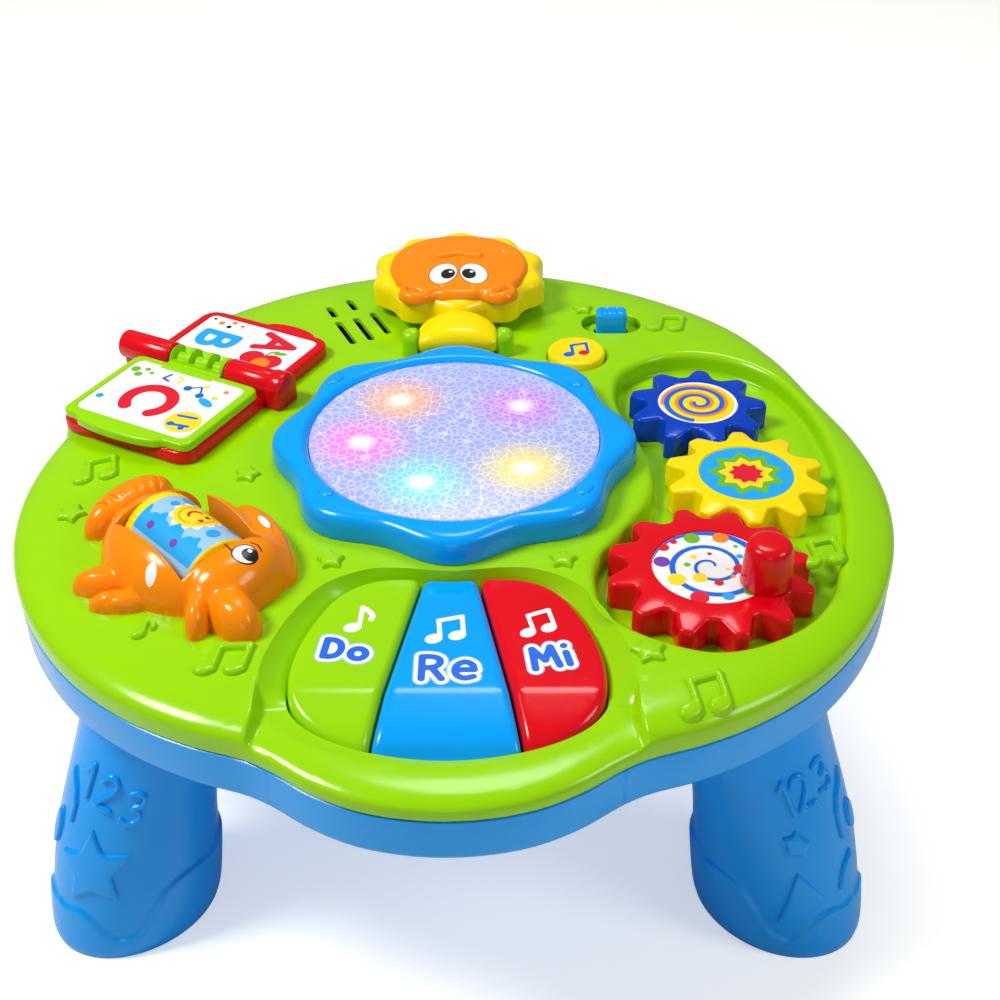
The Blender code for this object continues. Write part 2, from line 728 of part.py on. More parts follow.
def fish_cylinder(radius, length, steps):
    body = turned([(radius, -length / 2), (radius, length / 2)], steps)
    body.transform(Matrix.Rotation(math.pi / 2, 4, "Y"))
    place = Matrix.Translation((*FISH_DRUM_CENTRE, PLATEAU_Z + FISH_DRUM_RAISE))
    body.transform(place @ Matrix.Rotation(math.radians(FISH_DRUM_TURN), 4, "Z"))
    return body


def lion_outline(share=1.0, inset=0.0):
    """The scalloped mane, with one petal at the back."""
    points = []
    for i in range(LION_STEPS):
        angle = 2 * math.pi * i / LION_STEPS + math.pi / 2
        petal = 1 - LION_PETAL_SHARE * 2 * (1 - abs(math.cos((angle - math.pi / 2) * LION_PETALS / 2)))
        x = (LION_HALF_WIDTH * share - inset) * petal * math.cos(angle)
        y = (LION_HALF_DEPTH * share - inset) * petal * math.sin(angle)
        points.append((x, LION_CENTRE_Y + y))
    return points


def speaker_slots():
    return [
        prism(
            turned_about(stadium(length, GRILLE_SLOT_WIDTH, 3), GRILLE_TURN, (x, y)),
            SHELL_INSIDE_Z - OVERRUN,
            PLATEAU_Z + OVERRUN,
        )
        for x, y, length in GRILLE_SLOTS
    ]


def switch_board_top():
    return PLATEAU_Z - SWITCH_BOARD_DROP


def key_board_top():
    return TRAY_INSIDE_Z + LOW_POST_HEIGHT + SEAT_GAP + BOARD_THICKNESS


def main_board_top():
    return TRAY_INSIDE_Z + MAIN_POST_HEIGHT + SEAT_GAP + BOARD_THICKNESS


def battery_bay_top():
    return TRAY_FLOOR_Z + DOOR_THICKNESS + 2 * SEAT_GAP + 2 * BATTERY_RADIUS + SEAT_GAP


def slider_floor_z():
    return PLATEAU_Z - SLIDER_RECESS_DROP


# Pieces


def make_top_shell():
    outer = (
        (0, 0), (0, 0.48), (0.04, 0.64), (0.13, 0.78), (0.35, 0.9), (0.65, 0.97), (1, 1),
    )
    rings = [
        level(table_outline(SHOULDER_INSET), SHELL_INSIDE_Z),
        level(table_outline(SHOULDER_INSET / 2), SHELL_INSIDE_Z - WALL / 2),
        level(table_outline(WALL), SHELL_EDGE_Z + SHELL_DEPTH / 2 - WALL / 2),
        level(table_outline(WALL), SHELL_EDGE_Z),
    ]
    rings += [
        level(table_outline(SHOULDER_INSET * a), SHELL_EDGE_Z + SHELL_DEPTH * b) for a, b in outer
    ]
    shell = add("top_shell", loft(rings), "lime_plastic")
    lobe = []
    for i in range(2 * LOBE_DEGREES // 2 + 1):
        angle = -LOBE_DEGREES + 2 * i
        turn = math.radians(angle - 90)
        reach = reach_at(angle) - WALL / 2
        lobe.append((reach * math.cos(turn), reach * math.sin(turn)))
    lobe += [(x, y) for x, y in ((WELL_EDGE[5][0], WELL_EDGE[6][1]), (-WELL_EDGE[5][0], WELL_EDGE[6][1]))]
    lobe_low = SHELL_EDGE_Z + TRAY_LIP_HEIGHT + 2 * SEAT_GAP
    join(shell, "lobe", prism(lobe, lobe_low, SHELL_INSIDE_Z + WALL / 5))
    collar = well_outline(WELL_CREST, WELL_COLLAR)
    join(shell, "well_collar", prism(collar, PLATEAU_Z - WELL_COLLAR_DEPTH, PLATEAU_Z - WALL / 2))
    tub_low = POCKET_FLOOR_Z - WALL
    join(shell, "gear_tub", prism(pocket_outline(WALL), tub_low, PLATEAU_Z - WALL / 2))
    pad = book_rectangle(BOOK_NEAR, -BOOK_FAR, BOOK_HALF_WIDTH, BOOK_CORNER)
    join(shell, "book_pad", prism(pad, SHELL_INSIDE_Z - WALL, PLATEAU_Z))
    recess_wall = stadium(SLIDER_RECESS_WIDTH + 2 * WALL, SLIDER_RECESS_DEPTH + 2 * WALL, 6, SLIDER_CENTRE)
    join(shell, "slider_tub", prism(recess_wall, slider_floor_z() - WALL / 2, PLATEAU_Z - WALL / 2))
    join(shell, "lion_bosses", gathered([lion_boss(side) for side in (-1, 1)]))
    join(shell, "screw_posts", gathered([screw_post(place) for place in SCREW_PLACES.values()]))

    above = PLATEAU_Z + OVERRUN
    crest = well_outline(WELL_CREST)
    edge = well_outline(WELL_EDGE)
    flare = [level(crest, above), level(crest, PLATEAU_Z), level(edge, PLATEAU_Z - WELL_FLARE_DEPTH)]
    flare.append(level(edge, PLATEAU_Z - WELL_COLLAR_DEPTH - OVERRUN))
    cut(shell, "well", loft(flare))
    side = WELL_CREST[6][0]
    lobe_cut = [
        (side, WELL_CREST[6][1]), (side, WELL_CREST[7][1]), (1.1 * side, -0.9 * FRONT_REACH),
        (1.1 * side, -1.1 * FRONT_REACH), (0, -1.1 * FRONT_REACH),
    ]
    lobe_cut = [(0, WELL_CREST[6][1])] + lobe_cut
    cut(shell, "lobe_top", prism(mirrored(lobe_cut), LOBE_Z, above))
    cut(shell, "pocket", prism(pocket_outline(), POCKET_FLOOR_Z, above))
    cut(shell, "panel_hole", turned([(panel_hole_radius(), SHELL_INSIDE_Z - OVERRUN), (panel_hole_radius(), above)], PANEL_STEPS))
    drum = turned_about(
        rectangle(FISH_DRUM_LENGTH + 4 * FISH_GAP, 2 * (FISH_DRUM_RADIUS + FISH_GAP)), FISH_DRUM_TURN, FISH_DRUM_CENTRE
    )
    cut(shell, "drum_hole", prism(drum, SHELL_INSIDE_Z - OVERRUN, above))
    button = circle(BUTTON_RADIUS + BUTTON_GAP, ROUND_STEPS, BUTTON_CENTRE)
    cut(shell, "button_hole", prism(button, SHELL_INSIDE_Z - OVERRUN, above))
    recess = stadium(SLIDER_RECESS_WIDTH, SLIDER_RECESS_DEPTH, 6, SLIDER_CENTRE)
    cut(shell, "slider_recess", prism(recess, slider_floor_z(), above))
    slot = rectangle(
        SLIDER_STEM_WIDTH + 2 * SLIDER_TRAVEL + 2 * SLIDE_GAP, SLIDER_STEM_DEPTH + 2 * SLIDE_GAP, SLIDER_CENTRE
    )
    cut(shell, "slider_slot", prism(slot, slider_floor_z() - WALL, slider_floor_z() + OVERRUN))
    cut(shell, "grille", gathered(speaker_slots()))
    reach = 2 * (LION_YOKE_WIDTH / 2 + LION_BOSS_WIDTH + OVERRUN)
    bore = turned([(LION_PIN_RADIUS + RUN_GAP, -reach / 2), (LION_PIN_RADIUS + RUN_GAP, reach / 2)], SMALL_STEPS)
    cut(shell, "lion_bores", along_x(bore, (0, LION_HINGE_Y, lion_hinge_z())))
    axle_holes = [
        turned([(GEAR_AXLE_RADIUS + RUN_GAP, tub_low - OVERRUN), (GEAR_AXLE_RADIUS + RUN_GAP, POCKET_FLOOR_Z + OVERRUN)], SMALL_STEPS, gear_centre(name))
        for name in GEAR_TEETH
    ]
    cut(shell, "axle_holes", gathered(axle_holes))
    screw_holes = [
        turned([(SCREW_RADIUS + SEAT_GAP, screw_post_low() - OVERRUN), (SCREW_RADIUS + SEAT_GAP, screw_tip_z() + SEAT_GAP)], SMALL_STEPS, place)
        for place in SCREW_PLACES.values()
    ]
    cut(shell, "screw_holes", gathered(screw_holes))


def panel_hole_radius():
    return PANEL_RADIUS - BEZEL_LEDGE + SEAT_GAP


def lion_hinge_z():
    return PLATEAU_Z + LION_HINGE_RAISE


def lion_boss(side):
    """A rounded lug beside the yoke, from the plateau up round the hinge line."""
    profile = []
    for i in range(9):
        t = math.pi * i / 8
        profile.append((LION_BOSS_RADIUS * math.cos(t), LION_HINGE_RAISE + LION_BOSS_RADIUS * math.sin(t)))
    profile += [(-LION_BOSS_RADIUS, -WALL / 2), (LION_BOSS_RADIUS, -WALL / 2)]
    inner = LION_YOKE_WIDTH / 2 + SEAT_GAP
    rings = []
    for x in (inner, inner + LION_BOSS_WIDTH):
        rings.append([Vector((side * x, LION_HINGE_Y + y, PLATEAU_Z + z)) for y, z in profile])
    return loft(rings)


def screw_post_low():
    return TRAY_INSIDE_Z + SCREW_BOSS_HEIGHT - WALL + SEAT_GAP


def screw_head_z():
    return TRAY_FLOOR_Z + SCREW_SINK


def screw_tip_z():
    return screw_head_z() + SCREW_HEAD_HEIGHT + SCREW_LENGTH


def screw_post(place):
    x, y = place
    low = screw_post_low()
    return turned([(SCREW_POST_RADIUS, low), (SCREW_POST_RADIUS, SHELL_INSIDE_Z + WALL / 5)], SMALL_STEPS, (x, y))


def tray_outer_rings(margin):
    """The tray's outside from its floor to its top edge, moved out by the margin."""
    inset = TRAY_FLOOR_INSET
    edge = TRAY_SET_BACK
    rise = TRAY_EDGE_Z - TRAY_FLOOR_Z
    return [
        level(table_outline(inset - margin), TRAY_FLOOR_Z - margin),
        level(table_outline(inset / 2 - margin), TRAY_FLOOR_Z + rise / 4 - margin),
        level(table_outline(edge + inset / 8 - margin), TRAY_FLOOR_Z + rise * 0.68 - margin),
        level(table_outline(edge - margin), TRAY_EDGE_Z),
    ]


def leg_socket(x, y, radius, low, high):
    return turned([(radius, low), (radius, high)], LEG_STEPS, (x, y))


def make_bottom_tray():
    inner = TRAY_FLOOR_INSET - WALL / 2
    wall = WALL + SEAT_GAP + TRAY_LIP_WALL
    lip = WALL + SEAT_GAP
    rings = [
        level(table_outline(inner + WALL), TRAY_INSIDE_Z),
        level(table_outline(inner * 0.7), TRAY_INSIDE_Z + WALL / 2),
        level(table_outline(wall), TRAY_EDGE_Z + WALL / 2),
        level(table_outline(wall), TRAY_TOP_Z + TRAY_LIP_HEIGHT),
        level(table_outline(lip), TRAY_TOP_Z + TRAY_LIP_HEIGHT),
        level(table_outline(lip), TRAY_TOP_Z),
        level(table_outline(TRAY_SET_BACK), TRAY_TOP_Z),
    ]
    rings += reversed(tray_outer_rings(0))
    tray = add("bottom_tray", loft(rings), "sky_plastic")
    socket_top = TRAY_FLOOR_Z + TENON_HEIGHT + SOCKET_WALL
    outside = TENON_RADIUS + SEAT_GAP + SOCKET_WALL
    supports = [
        leg_socket(x, y, outside, TRAY_FLOOR_Z + WALL / 2, socket_top) for x, y in leg_places().values()
    ]
    for place in SCREW_PLACES.values():
        supports.append(turned([(SCREW_BOSS_RADIUS, TRAY_FLOOR_Z + WALL / 2), (SCREW_BOSS_RADIUS, screw_post_low() - SEAT_GAP)], SMALL_STEPS, place))
    bay_low = TRAY_FLOOR_Z + WALL / 2
    wall = BATTERY_BAY_WALL + DOOR_MARGIN
    supports.append(
        block(BATTERY_BAY_WIDTH + 2 * wall, BATTERY_BAY_DEPTH + 2 * wall, bay_low, battery_bay_top() + BATTERY_BAY_WALL)
    )
    for x, y in circle(REFLECTOR_FOOT_RADIUS - POST_MARGIN, 4):
        supports.append(post(x, y, LED_BOARD_TOP_Z - BOARD_THICKNESS - SEAT_GAP))
    for x, y in corners_of(MAIN_BOARD_WIDTH, MAIN_BOARD_DEPTH, MAIN_BOARD_CENTRE, POST_MARGIN):
        supports.append(post(x, y, main_board_top() - BOARD_THICKNESS - SEAT_GAP))
    for x, y in corners_of(KEY_BOARD_WIDTH, KEY_BOARD_DEPTH, key_board_centre(), POST_MARGIN):
        supports.append(post(x, y, key_board_top() - BOARD_THICKNESS - SEAT_GAP))
    for x, y in corners_of(SWITCH_BOARD_WIDTH, SWITCH_BOARD_DEPTH, SWITCH_BOARD_CENTRE, POST_MARGIN):
        supports.append(post(x, y, switch_board_top() - BOARD_THICKNESS - SEAT_GAP))
    for side in (-1, 1):
        place = (side * KEY_TOWER_X, KEY_HINGE_Y)
        supports.append(block(KEY_TOWER_WIDTH, KEY_TOWER_DEPTH, bay_low, KEY_HINGE_Z + KEY_TOWER_ABOVE_ROD, place))
    join(tray, "supports", gathered(supports))

    under = TRAY_FLOOR_Z - OVERRUN
    door = (BATTERY_BAY_WIDTH + 2 * DOOR_MARGIN, BATTERY_BAY_DEPTH + 2 * DOOR_MARGIN)
    cut(tray, "door_recess", block(*door, under, TRAY_FLOOR_Z + DOOR_THICKNESS + SEAT_GAP))
    cut(tray, "battery_bay", block(BATTERY_BAY_WIDTH, BATTERY_BAY_DEPTH, under, battery_bay_top()))
    bores = [
        leg_socket(x, y, TENON_RADIUS + SEAT_GAP, under, TRAY_FLOOR_Z + TENON_HEIGHT)
        for x, y in leg_places().values()
    ]
    cut(tray, "leg_sockets", gathered(bores))
    head = SCREW_HEAD_RADIUS + SEAT_GAP
    shank = SCREW_RADIUS + SEAT_GAP
    seat = screw_head_z() + SCREW_HEAD_HEIGHT + SEAT_GAP
    holes = [
        turned([(head, under), (head, seat), (shank, seat), (shank, screw_post_low() + OVERRUN)], SMALL_STEPS, place)
        for place in SCREW_PLACES.values()
    ]
    cut(tray, "screw_holes", gathered(holes))
    reach = KEY_TOWER_X + KEY_TOWER_WIDTH
    bore = turned([(KEY_ROD_RADIUS + RUN_GAP, -reach), (KEY_ROD_RADIUS + RUN_GAP, reach)], SMALL_STEPS)
    cut(tray, "rod_bores", along_x(bore, (0, KEY_HINGE_Y, KEY_HINGE_Z)))
    screw = door_screw_place()
    cut(tray, "door_screw_hole", turned([(SCREW_RADIUS + SEAT_GAP, under), (SCREW_RADIUS + SEAT_GAP, door_screw_top() + SEAT_GAP)], SMALL_STEPS, screw))


def door_screw_place():
    return (BATTERY_BAY_WIDTH / 2 + DOOR_MARGIN / 2 + BATTERY_BAY_WALL / 2, 0)


def door_screw_top():
    return battery_bay_top() - BATTERY_BAY_WALL


def post(x, y, top):
    return turned([(POST_RADIUS, TRAY_FLOOR_Z + WALL / 2), (POST_RADIUS, top)], 8, (x, y))


def key_board_centre():
    return (0, KEY_PLUNGER_PLACES["key_re"][1])


def leg_places():
    x, y = LEG_CENTRE_X, LEG_CENTRE_Y
    return {
        "leg_front_left": (-x, -y), "leg_front_right": (x, -y),
        "leg_back_left": (-x, y), "leg_back_right": (x, y),
    }


def make_legs():
    for name, (x, y) in leg_places().items():
        rings = []
        for (height_share, radius_share), lean in zip(LEG_RADIUS_SHARES, LEG_LEAN_SHARES):
            centre = (x * (1 + FOOT_SPREAD * lean), y * (1 + FOOT_SPREAD * lean))
            ring = circle(FOOT_RADIUS * radius_share, LEG_STEPS, centre)
            rings.append(level(ring, LEG_HEIGHT * height_share))
        leg = add(name, loft(rings), "sky_plastic")
        envelope = tray_outer_rings(LEG_GAP) + [level(table_outline(TRAY_SET_BACK - LEG_GAP), TRAY_TOP_Z)]
        cut(leg, "tray_seat", loft(envelope))
        top = TRAY_FLOOR_Z + TENON_HEIGHT - SEAT_GAP
        join(leg, "tenon", leg_socket(x, y, TENON_RADIUS, LEG_HEIGHT - WALL, top))
        cut(leg, "bore", leg_socket(x, y, TENON_BORE_RADIUS, LEG_HEIGHT * 0.35, top + OVERRUN))


def make_panel():
    outer = (
        (0.6 * MM, 0), (0.2 * MM, 0.62), (-1.4 * MM, 0.9), (-3.6 * MM, 1.0),
    )
    rings = []
    base = PLATEAU_Z + SEAT_GAP
    for grow, share in outer:
        ring = []
        for i in range(BEZEL_STEPS):
            t = 2 * math.pi * i / BEZEL_STEPS
            radius = BEZEL_RADIUS + BEZEL_SCALLOP * math.cos(BEZEL_LOBES * t) + grow
            ring.append((radius * math.cos(t), radius * math.sin(t)))
        rings.append(level(ring, base + BEZEL_HEIGHT * share))
    seat = PANEL_RADIUS + SEAT_GAP
    ledge = PANEL_RADIUS - BEZEL_LEDGE
    for radius, z in (
        (seat + BEZEL_LEDGE / 2, BEZEL_TOP_Z),
        (seat, DIFFUSER_TOP_Z + SEAT_GAP),
        (seat, LEDGE_Z),
        (ledge, LEDGE_Z),
        (ledge, base),
    ):
        rings.append(level(circle(radius, BEZEL_STEPS), z))
    add("panel_bezel", loft(rings, ends_meet=True), "sky_plastic")
    disc = turned([(PANEL_RADIUS, DIFFUSER_BOTTOM_Z), (PANEL_RADIUS, DIFFUSER_TOP_Z)], PANEL_STEPS)
    add("light_diffuser", disc, "diffuser_plastic")

    outside = ledge - 2 * SEAT_GAP
    inside = outside - REFLECTOR_WALL
    foot = REFLECTOR_FOOT_RADIUS
    cup = [
        (foot, REFLECTOR_BOTTOM_Z - REFLECTOR_FOOT_HEIGHT),
        (foot, REFLECTOR_BOTTOM_Z),
        (outside, REFLECTOR_BOTTOM_Z),
        (outside, LEDGE_Z),
        (inside, LEDGE_Z),
        (inside, REFLECTOR_BOTTOM_Z + REFLECTOR_WALL),
    ]
    reflector = add("light_reflector", turned(cup, PANEL_STEPS), "white_plastic")
    under = [
        (foot - REFLECTOR_FOOT_WIDTH, REFLECTOR_BOTTOM_Z - REFLECTOR_FOOT_HEIGHT - OVERRUN),
        (foot - REFLECTOR_FOOT_WIDTH, REFLECTOR_BOTTOM_Z),
    ]
    cut(reflector, "foot_ring", turned(under, PANEL_STEPS))
    holes = [
        turned([(LED_HOLE_RADIUS, REFLECTOR_BOTTOM_Z - OVERRUN), (LED_HOLE_RADIUS, REFLECTOR_BOTTOM_Z + REFLECTOR_WALL + OVERRUN)], SMALL_STEPS, place)
        for place in LED_PLACES.values()
    ]
    cut(reflector, "led_holes", gathered(holes))
    board = turned([(LED_BOARD_RADIUS, LED_BOARD_TOP_Z - BOARD_THICKNESS), (LED_BOARD_RADIUS, LED_BOARD_TOP_Z)], ROUND_STEPS)
    add("led_board", board, "circuit_board")
    for colour, place in LED_PLACES.items():
        low = LED_BOARD_TOP_Z + SEAT_GAP
        lens = [
            (LED_RADIUS * 1.15, low), (LED_RADIUS * 1.15, low + LED_HEIGHT * 0.12),
            (LED_RADIUS, low + LED_HEIGHT * 0.12), (LED_RADIUS, low + LED_HEIGHT * 0.7),
            (LED_RADIUS * 0.7, low + LED_HEIGHT * 0.92), (LED_RADIUS * 0.25, low + LED_HEIGHT),
        ]
        add("led_" + colour, turned(lens, SMALL_STEPS, place), "clear_lens")


def key_region(name, margin):
    """The part of the well that one key fills, between the slanting splits."""
    back, front = WELL_EDGE[0][1] + OVERRUN, WELL_EDGE[-1][1] - OVERRUN
    run = KEY_SPLIT_FRONT - KEY_SPLIT_BACK
    slope = run / (WELL_EDGE[0][1] - WELL_EDGE[-1][1])
    back_x = KEY_SPLIT_BACK - slope * OVERRUN
    front_x = KEY_SPLIT_FRONT + slope * OVERRUN
    half = KEY_GAP / 2 + margin
    far = 2 * KEY_TOWER_X
    if name == "key_re":
        return [(-back_x + half, back), (back_x - half, back), (front_x - half, front), (-front_x + half, front)]
    right = [(back_x + half, back), (far, back), (far, front), (front_x + half, front)]
    return right if name == "key_mi" else [(-x, y) for x, y in reversed(right)]


def make_keys():
    hinge = empty("key_hinge_axis", (0, KEY_HINGE_Y, KEY_HINGE_Z), bpy.data.objects["table_frame"])
    colours = {"key_do": "lime_plastic", "key_re": "sky_plastic", "key_mi": "red_plastic"}
    roof_z = PLATEAU_Z + KEY_PROUD - KEY_ROOF
    for name, material in colours.items():
        crown = loft([key_crown_ring(*row) for row in KEY_CROWN_DROPS_AND_INSETS])
        key = add(name, crown, material, hinge.location)
        keep(key, "region", prism(key_region(name, 0), KEY_BOTTOM_Z - OVERRUN, PLATEAU_Z + OVERRUN))
        hollow = well_outline(WELL_EDGE, -KEY_GAP - 2 * KEY_WALL)
        hollow = [(x, max(y, WELL_EDGE[7][1])) for x, y in hollow]
        inside = add(name + "_inside", prism(hollow, KEY_BOTTOM_Z - OVERRUN, roof_z - KEY_WALL), None)
        keep(inside, "region", prism(key_region(name, KEY_WALL), KEY_BOTTOM_Z - OVERRUN, PLATEAU_Z))
        inside.hide_render = True
        inside.display_type = "WIRE"
        hollowing = key.modifiers.new("hollow", "BOOLEAN")
        hollowing.operation = "DIFFERENCE"
        hollowing.solver = "EXACT"
        hollowing.object = inside
        ear_x = KEY_EAR_CENTRES[name]
        ear = block(KEY_EAR_WIDTH, KEY_EAR_DEPTH, KEY_BOTTOM_Z, roof_z, (ear_x, KEY_HINGE_Y))
        plunger_x, plunger_y = KEY_PLUNGER_PLACES[name]
        plunger = turned([(KEY_PLUNGER_RADIUS, KEY_BOTTOM_Z), (KEY_PLUNGER_RADIUS, roof_z)], SMALL_STEPS, (plunger_x, plunger_y))
        join(key, "ear_and_plunger", gathered([ear, plunger]))
        reach = 2 * KEY_EAR_WIDTH
        bore = turned([(KEY_ROD_RADIUS + RUN_GAP, -reach), (KEY_ROD_RADIUS + RUN_GAP, reach)], SMALL_STEPS)
        cut(key, "rod_bore", along_x(bore, (ear_x, KEY_HINGE_Y, KEY_HINGE_Z)))
        dome = [
            (KEY_DOME_RADIUS, key_board_top() + SEAT_GAP),
            (KEY_DOME_RADIUS * 0.6, KEY_BOTTOM_Z - SEAT_GAP),
        ]
        suffix = name.split("_")[1]
        add("key_dome_" + suffix, turned(dome, SMALL_STEPS, (plunger_x, plunger_y)), "dome_rubber")
    rod = turned([(KEY_ROD_RADIUS, -KEY_ROD_LENGTH / 2), (KEY_ROD_RADIUS, KEY_ROD_LENGTH / 2)], SMALL_STEPS)
    add("key_hinge_rod", along_x(rod, hinge.location), "steel")
    top = key_board_top()
    board = block(KEY_BOARD_WIDTH, KEY_BOARD_DEPTH, top - BOARD_THICKNESS, top, key_board_centre())
    add("key_board", board, "circuit_board")


def make_gears():
    colours = {"gear_red": "red_plastic", "gear_yellow": "yellow_plastic", "gear_blue": "blue_plastic"}
    low = POCKET_FLOOR_Z + SEAT_GAP
    top = low + GEAR_THICKNESS
    bore_top = low + GEAR_BORE_DEPTH
    for name, material in colours.items():
        x, y = gear_centre(name)
        rings = [
            level(gear_outline(name), low),
            level(gear_outline(name), top - GEAR_CHAMFER),
            level(gear_outline(name, GEAR_CHAMFER), top),
        ]
        gear = add(name, loft(rings), material, (x, y, low))
        bore = GEAR_AXLE_RADIUS + RUN_GAP
        cut(gear, "bore", turned([(bore, low - OVERRUN), (bore, bore_top)], SMALL_STEPS, (x, y)))
        label_radius = GEAR_LABEL_RADIUS * GEAR_TEETH[name] / GEAR_TEETH["gear_red"]
        label = [(label_radius, top - GEAR_LABEL_DEPTH), (label_radius, top + OVERRUN)]
        cut(gear, "label_recess", turned(label, ROUND_STEPS, (x, y)))
        if name == "gear_red":
            stub = [(CRANK_STUB_RADIUS, top - WALL), (CRANK_STUB_RADIUS, top + CRANK_STUB_HEIGHT)]
            join(gear, "crank_stub", turned(stub, SMALL_STEPS, crank_place()))
        tub_low = POCKET_FLOOR_Z - WALL
        head_top = tub_low - SEAT_GAP
        axle = [
            (GEAR_AXLE_HEAD_RADIUS, head_top - GEAR_AXLE_HEAD_HEIGHT),
            (GEAR_AXLE_HEAD_RADIUS, head_top),
            (GEAR_AXLE_RADIUS, head_top),
            (GEAR_AXLE_RADIUS, bore_top - SEAT_GAP),
        ]
        add("axle_" + name, turned(axle, SMALL_STEPS, (x, y)), "white_plastic")
    x, y = crank_place()
    base = top + SEAT_GAP
    knob = [
        (CRANK_RADIUS, base), (CRANK_TOP_RADIUS, base + CRANK_HEIGHT * 0.86),
        (CRANK_TOP_RADIUS * 0.8, base + CRANK_HEIGHT * 0.97), (CRANK_TOP_RADIUS * 0.45, base + CRANK_HEIGHT),
    ]
    crank = add("crank_knob", turned(knob, 20, (x, y)), "red_plastic", (x, y, base))
    bore = CRANK_STUB_RADIUS + RUN_GAP
    hole = [(bore, base - OVERRUN), (bore, top + CRANK_STUB_HEIGHT + SEAT_GAP)]
    cut(crank, "bore", turned(hole, SMALL_STEPS, (x, y)))


def book_page_outline():
    """The page from the hinge to its front edge, with the thumb tab."""
    near, tab = BOOK_NEAR, BOOK_NEAR + BOOK_TAB_REACH
    start = BOOK_BARREL_RADIUS + SLIDE_GAP
    slant = BOOK_TAB_REACH * 0.7
    return [
        (-BOOK_HALF_WIDTH, start), (-BOOK_HALF_WIDTH, near), (BOOK_TAB_START - slant, near),
        (BOOK_TAB_START, tab), (BOOK_TAB_END, tab), (BOOK_TAB_END + slant, near),
        (BOOK_HALF_WIDTH, near), (BOOK_HALF_WIDTH, start),
    ]


def make_book():
    low, top = PLATEAU_Z + SEAT_GAP, book_base_top()
    margin = BOOK_BASE_MARGIN
    plan = book_rectangle(BOOK_NEAR + margin, -BOOK_FAR, BOOK_HALF_WIDTH + margin, BOOK_CORNER)
    base = add("book_base", prism(plan, low, top), "red_plastic")
    hinge_z = book_hinge_z()
    barrel = BOOK_BARREL_RADIUS
    left_end = BOOK_KNUCKLE_START - SLIDE_GAP
    right_start = BOOK_KNUCKLE_END + SLIDE_GAP
    join(base, "barrel_left", book_cylinder(barrel, -BOOK_END_REACH, left_end))
    join(base, "barrel_right", book_cylinder(barrel, right_start, BOOK_END_REACH))
    tower_start = BOOK_END_REACH - BOOK_TOWER_WIDTH + WALL
    join(base, "tower", book_cylinder(BOOK_TOWER_RADIUS, tower_start, tower_start + BOOK_TOWER_WIDTH))
    foot = [
        (tower_start + WALL / 5, -BOOK_TOWER_RADIUS + WALL / 5),
        (tower_start + BOOK_TOWER_WIDTH - WALL / 5, -BOOK_TOWER_RADIUS + WALL / 5),
        (tower_start + BOOK_TOWER_WIDTH - WALL / 5, BOOK_TOWER_RADIUS - WALL / 5),
        (tower_start + WALL / 5, BOOK_TOWER_RADIUS - WALL / 5),
    ]
    join(base, "tower_foot", prism(book_plan(foot), low + WALL / 10, hinge_z))
    left_foot = [
        (-BOOK_END_REACH + WALL, -barrel / 2), (-BOOK_HALF_WIDTH, -barrel / 2),
        (-BOOK_HALF_WIDTH, barrel / 2), (-BOOK_END_REACH + WALL, barrel / 2),
    ]
    join(base, "left_foot", prism(book_plan(left_foot), low + WALL / 10, hinge_z - WALL))
    under = book_plan([(-BOOK_END_REACH, -4 * barrel), (BOOK_END_REACH * 2, -4 * barrel), (BOOK_END_REACH * 2, 4 * barrel), (-BOOK_END_REACH, 4 * barrel)])
    cut(base, "underside", prism(under, low - 2 * OVERRUN, low))
    clear = barrel + SLIDE_GAP
    gap = [(left_end, -clear), (right_start, -clear), (right_start, clear), (left_end, clear)]
    cut(base, "knuckle_gap", prism(book_plan(gap), low - OVERRUN, hinge_z + 2 * barrel))
    cut(base, "pin_bore", book_cylinder(BOOK_PIN_RADIUS + RUN_GAP, -BOOK_END_REACH + WALL, BOOK_END_REACH, SMALL_STEPS))

    page_low = hinge_z - BOOK_PAGE_THICKNESS / 2
    page_plan = book_plan(rounded(book_page_outline(), BOOK_CORNER / 2))
    page = add("book_page", prism(page_plan, page_low, page_low + BOOK_PAGE_THICKNESS), "lime_plastic", (*BOOK_CENTRE, hinge_z))
    arm = [
        (BOOK_KNUCKLE_START, 0), (BOOK_KNUCKLE_END, 0),
        (BOOK_KNUCKLE_END, 2 * BOOK_BARREL_RADIUS), (BOOK_KNUCKLE_START, 2 * BOOK_BARREL_RADIUS),
    ]
    join(page, "arm", prism(book_plan(arm), page_low + WALL / 50, page_low + BOOK_PAGE_THICKNESS - WALL / 50))
    join(page, "knuckle", book_cylinder(barrel - SEAT_GAP, BOOK_KNUCKLE_START, BOOK_KNUCKLE_END))
    pitch = (BOOK_KNUCKLE_END - BOOK_KNUCKLE_START) / BOOK_WINDOWS
    windows = []
    for i in range(BOOK_WINDOWS):
        middle = BOOK_KNUCKLE_START + pitch * (i + 0.5)
        half = BOOK_WINDOW_WIDTH / 2
        hole = [(middle - half, -barrel * 0.75), (middle + half, -barrel * 0.75), (middle + half, barrel * 0.75), (middle - half, barrel * 0.75)]
        windows.append(prism(book_plan(hole), hinge_z + BOOK_PIN_RADIUS / 2, hinge_z + 2 * barrel))
    cut(page, "windows", gathered(windows))
    cut(page, "pin_bore", book_cylinder(BOOK_PIN_RADIUS + RUN_GAP, -BOOK_END_REACH, BOOK_END_REACH, SMALL_STEPS))
    pin = book_cylinder(BOOK_PIN_RADIUS, -BOOK_END_REACH + WALL + SEAT_GAP, BOOK_END_REACH - SEAT_GAP, SMALL_STEPS)
    add("book_hinge_pin", pin, "steel")


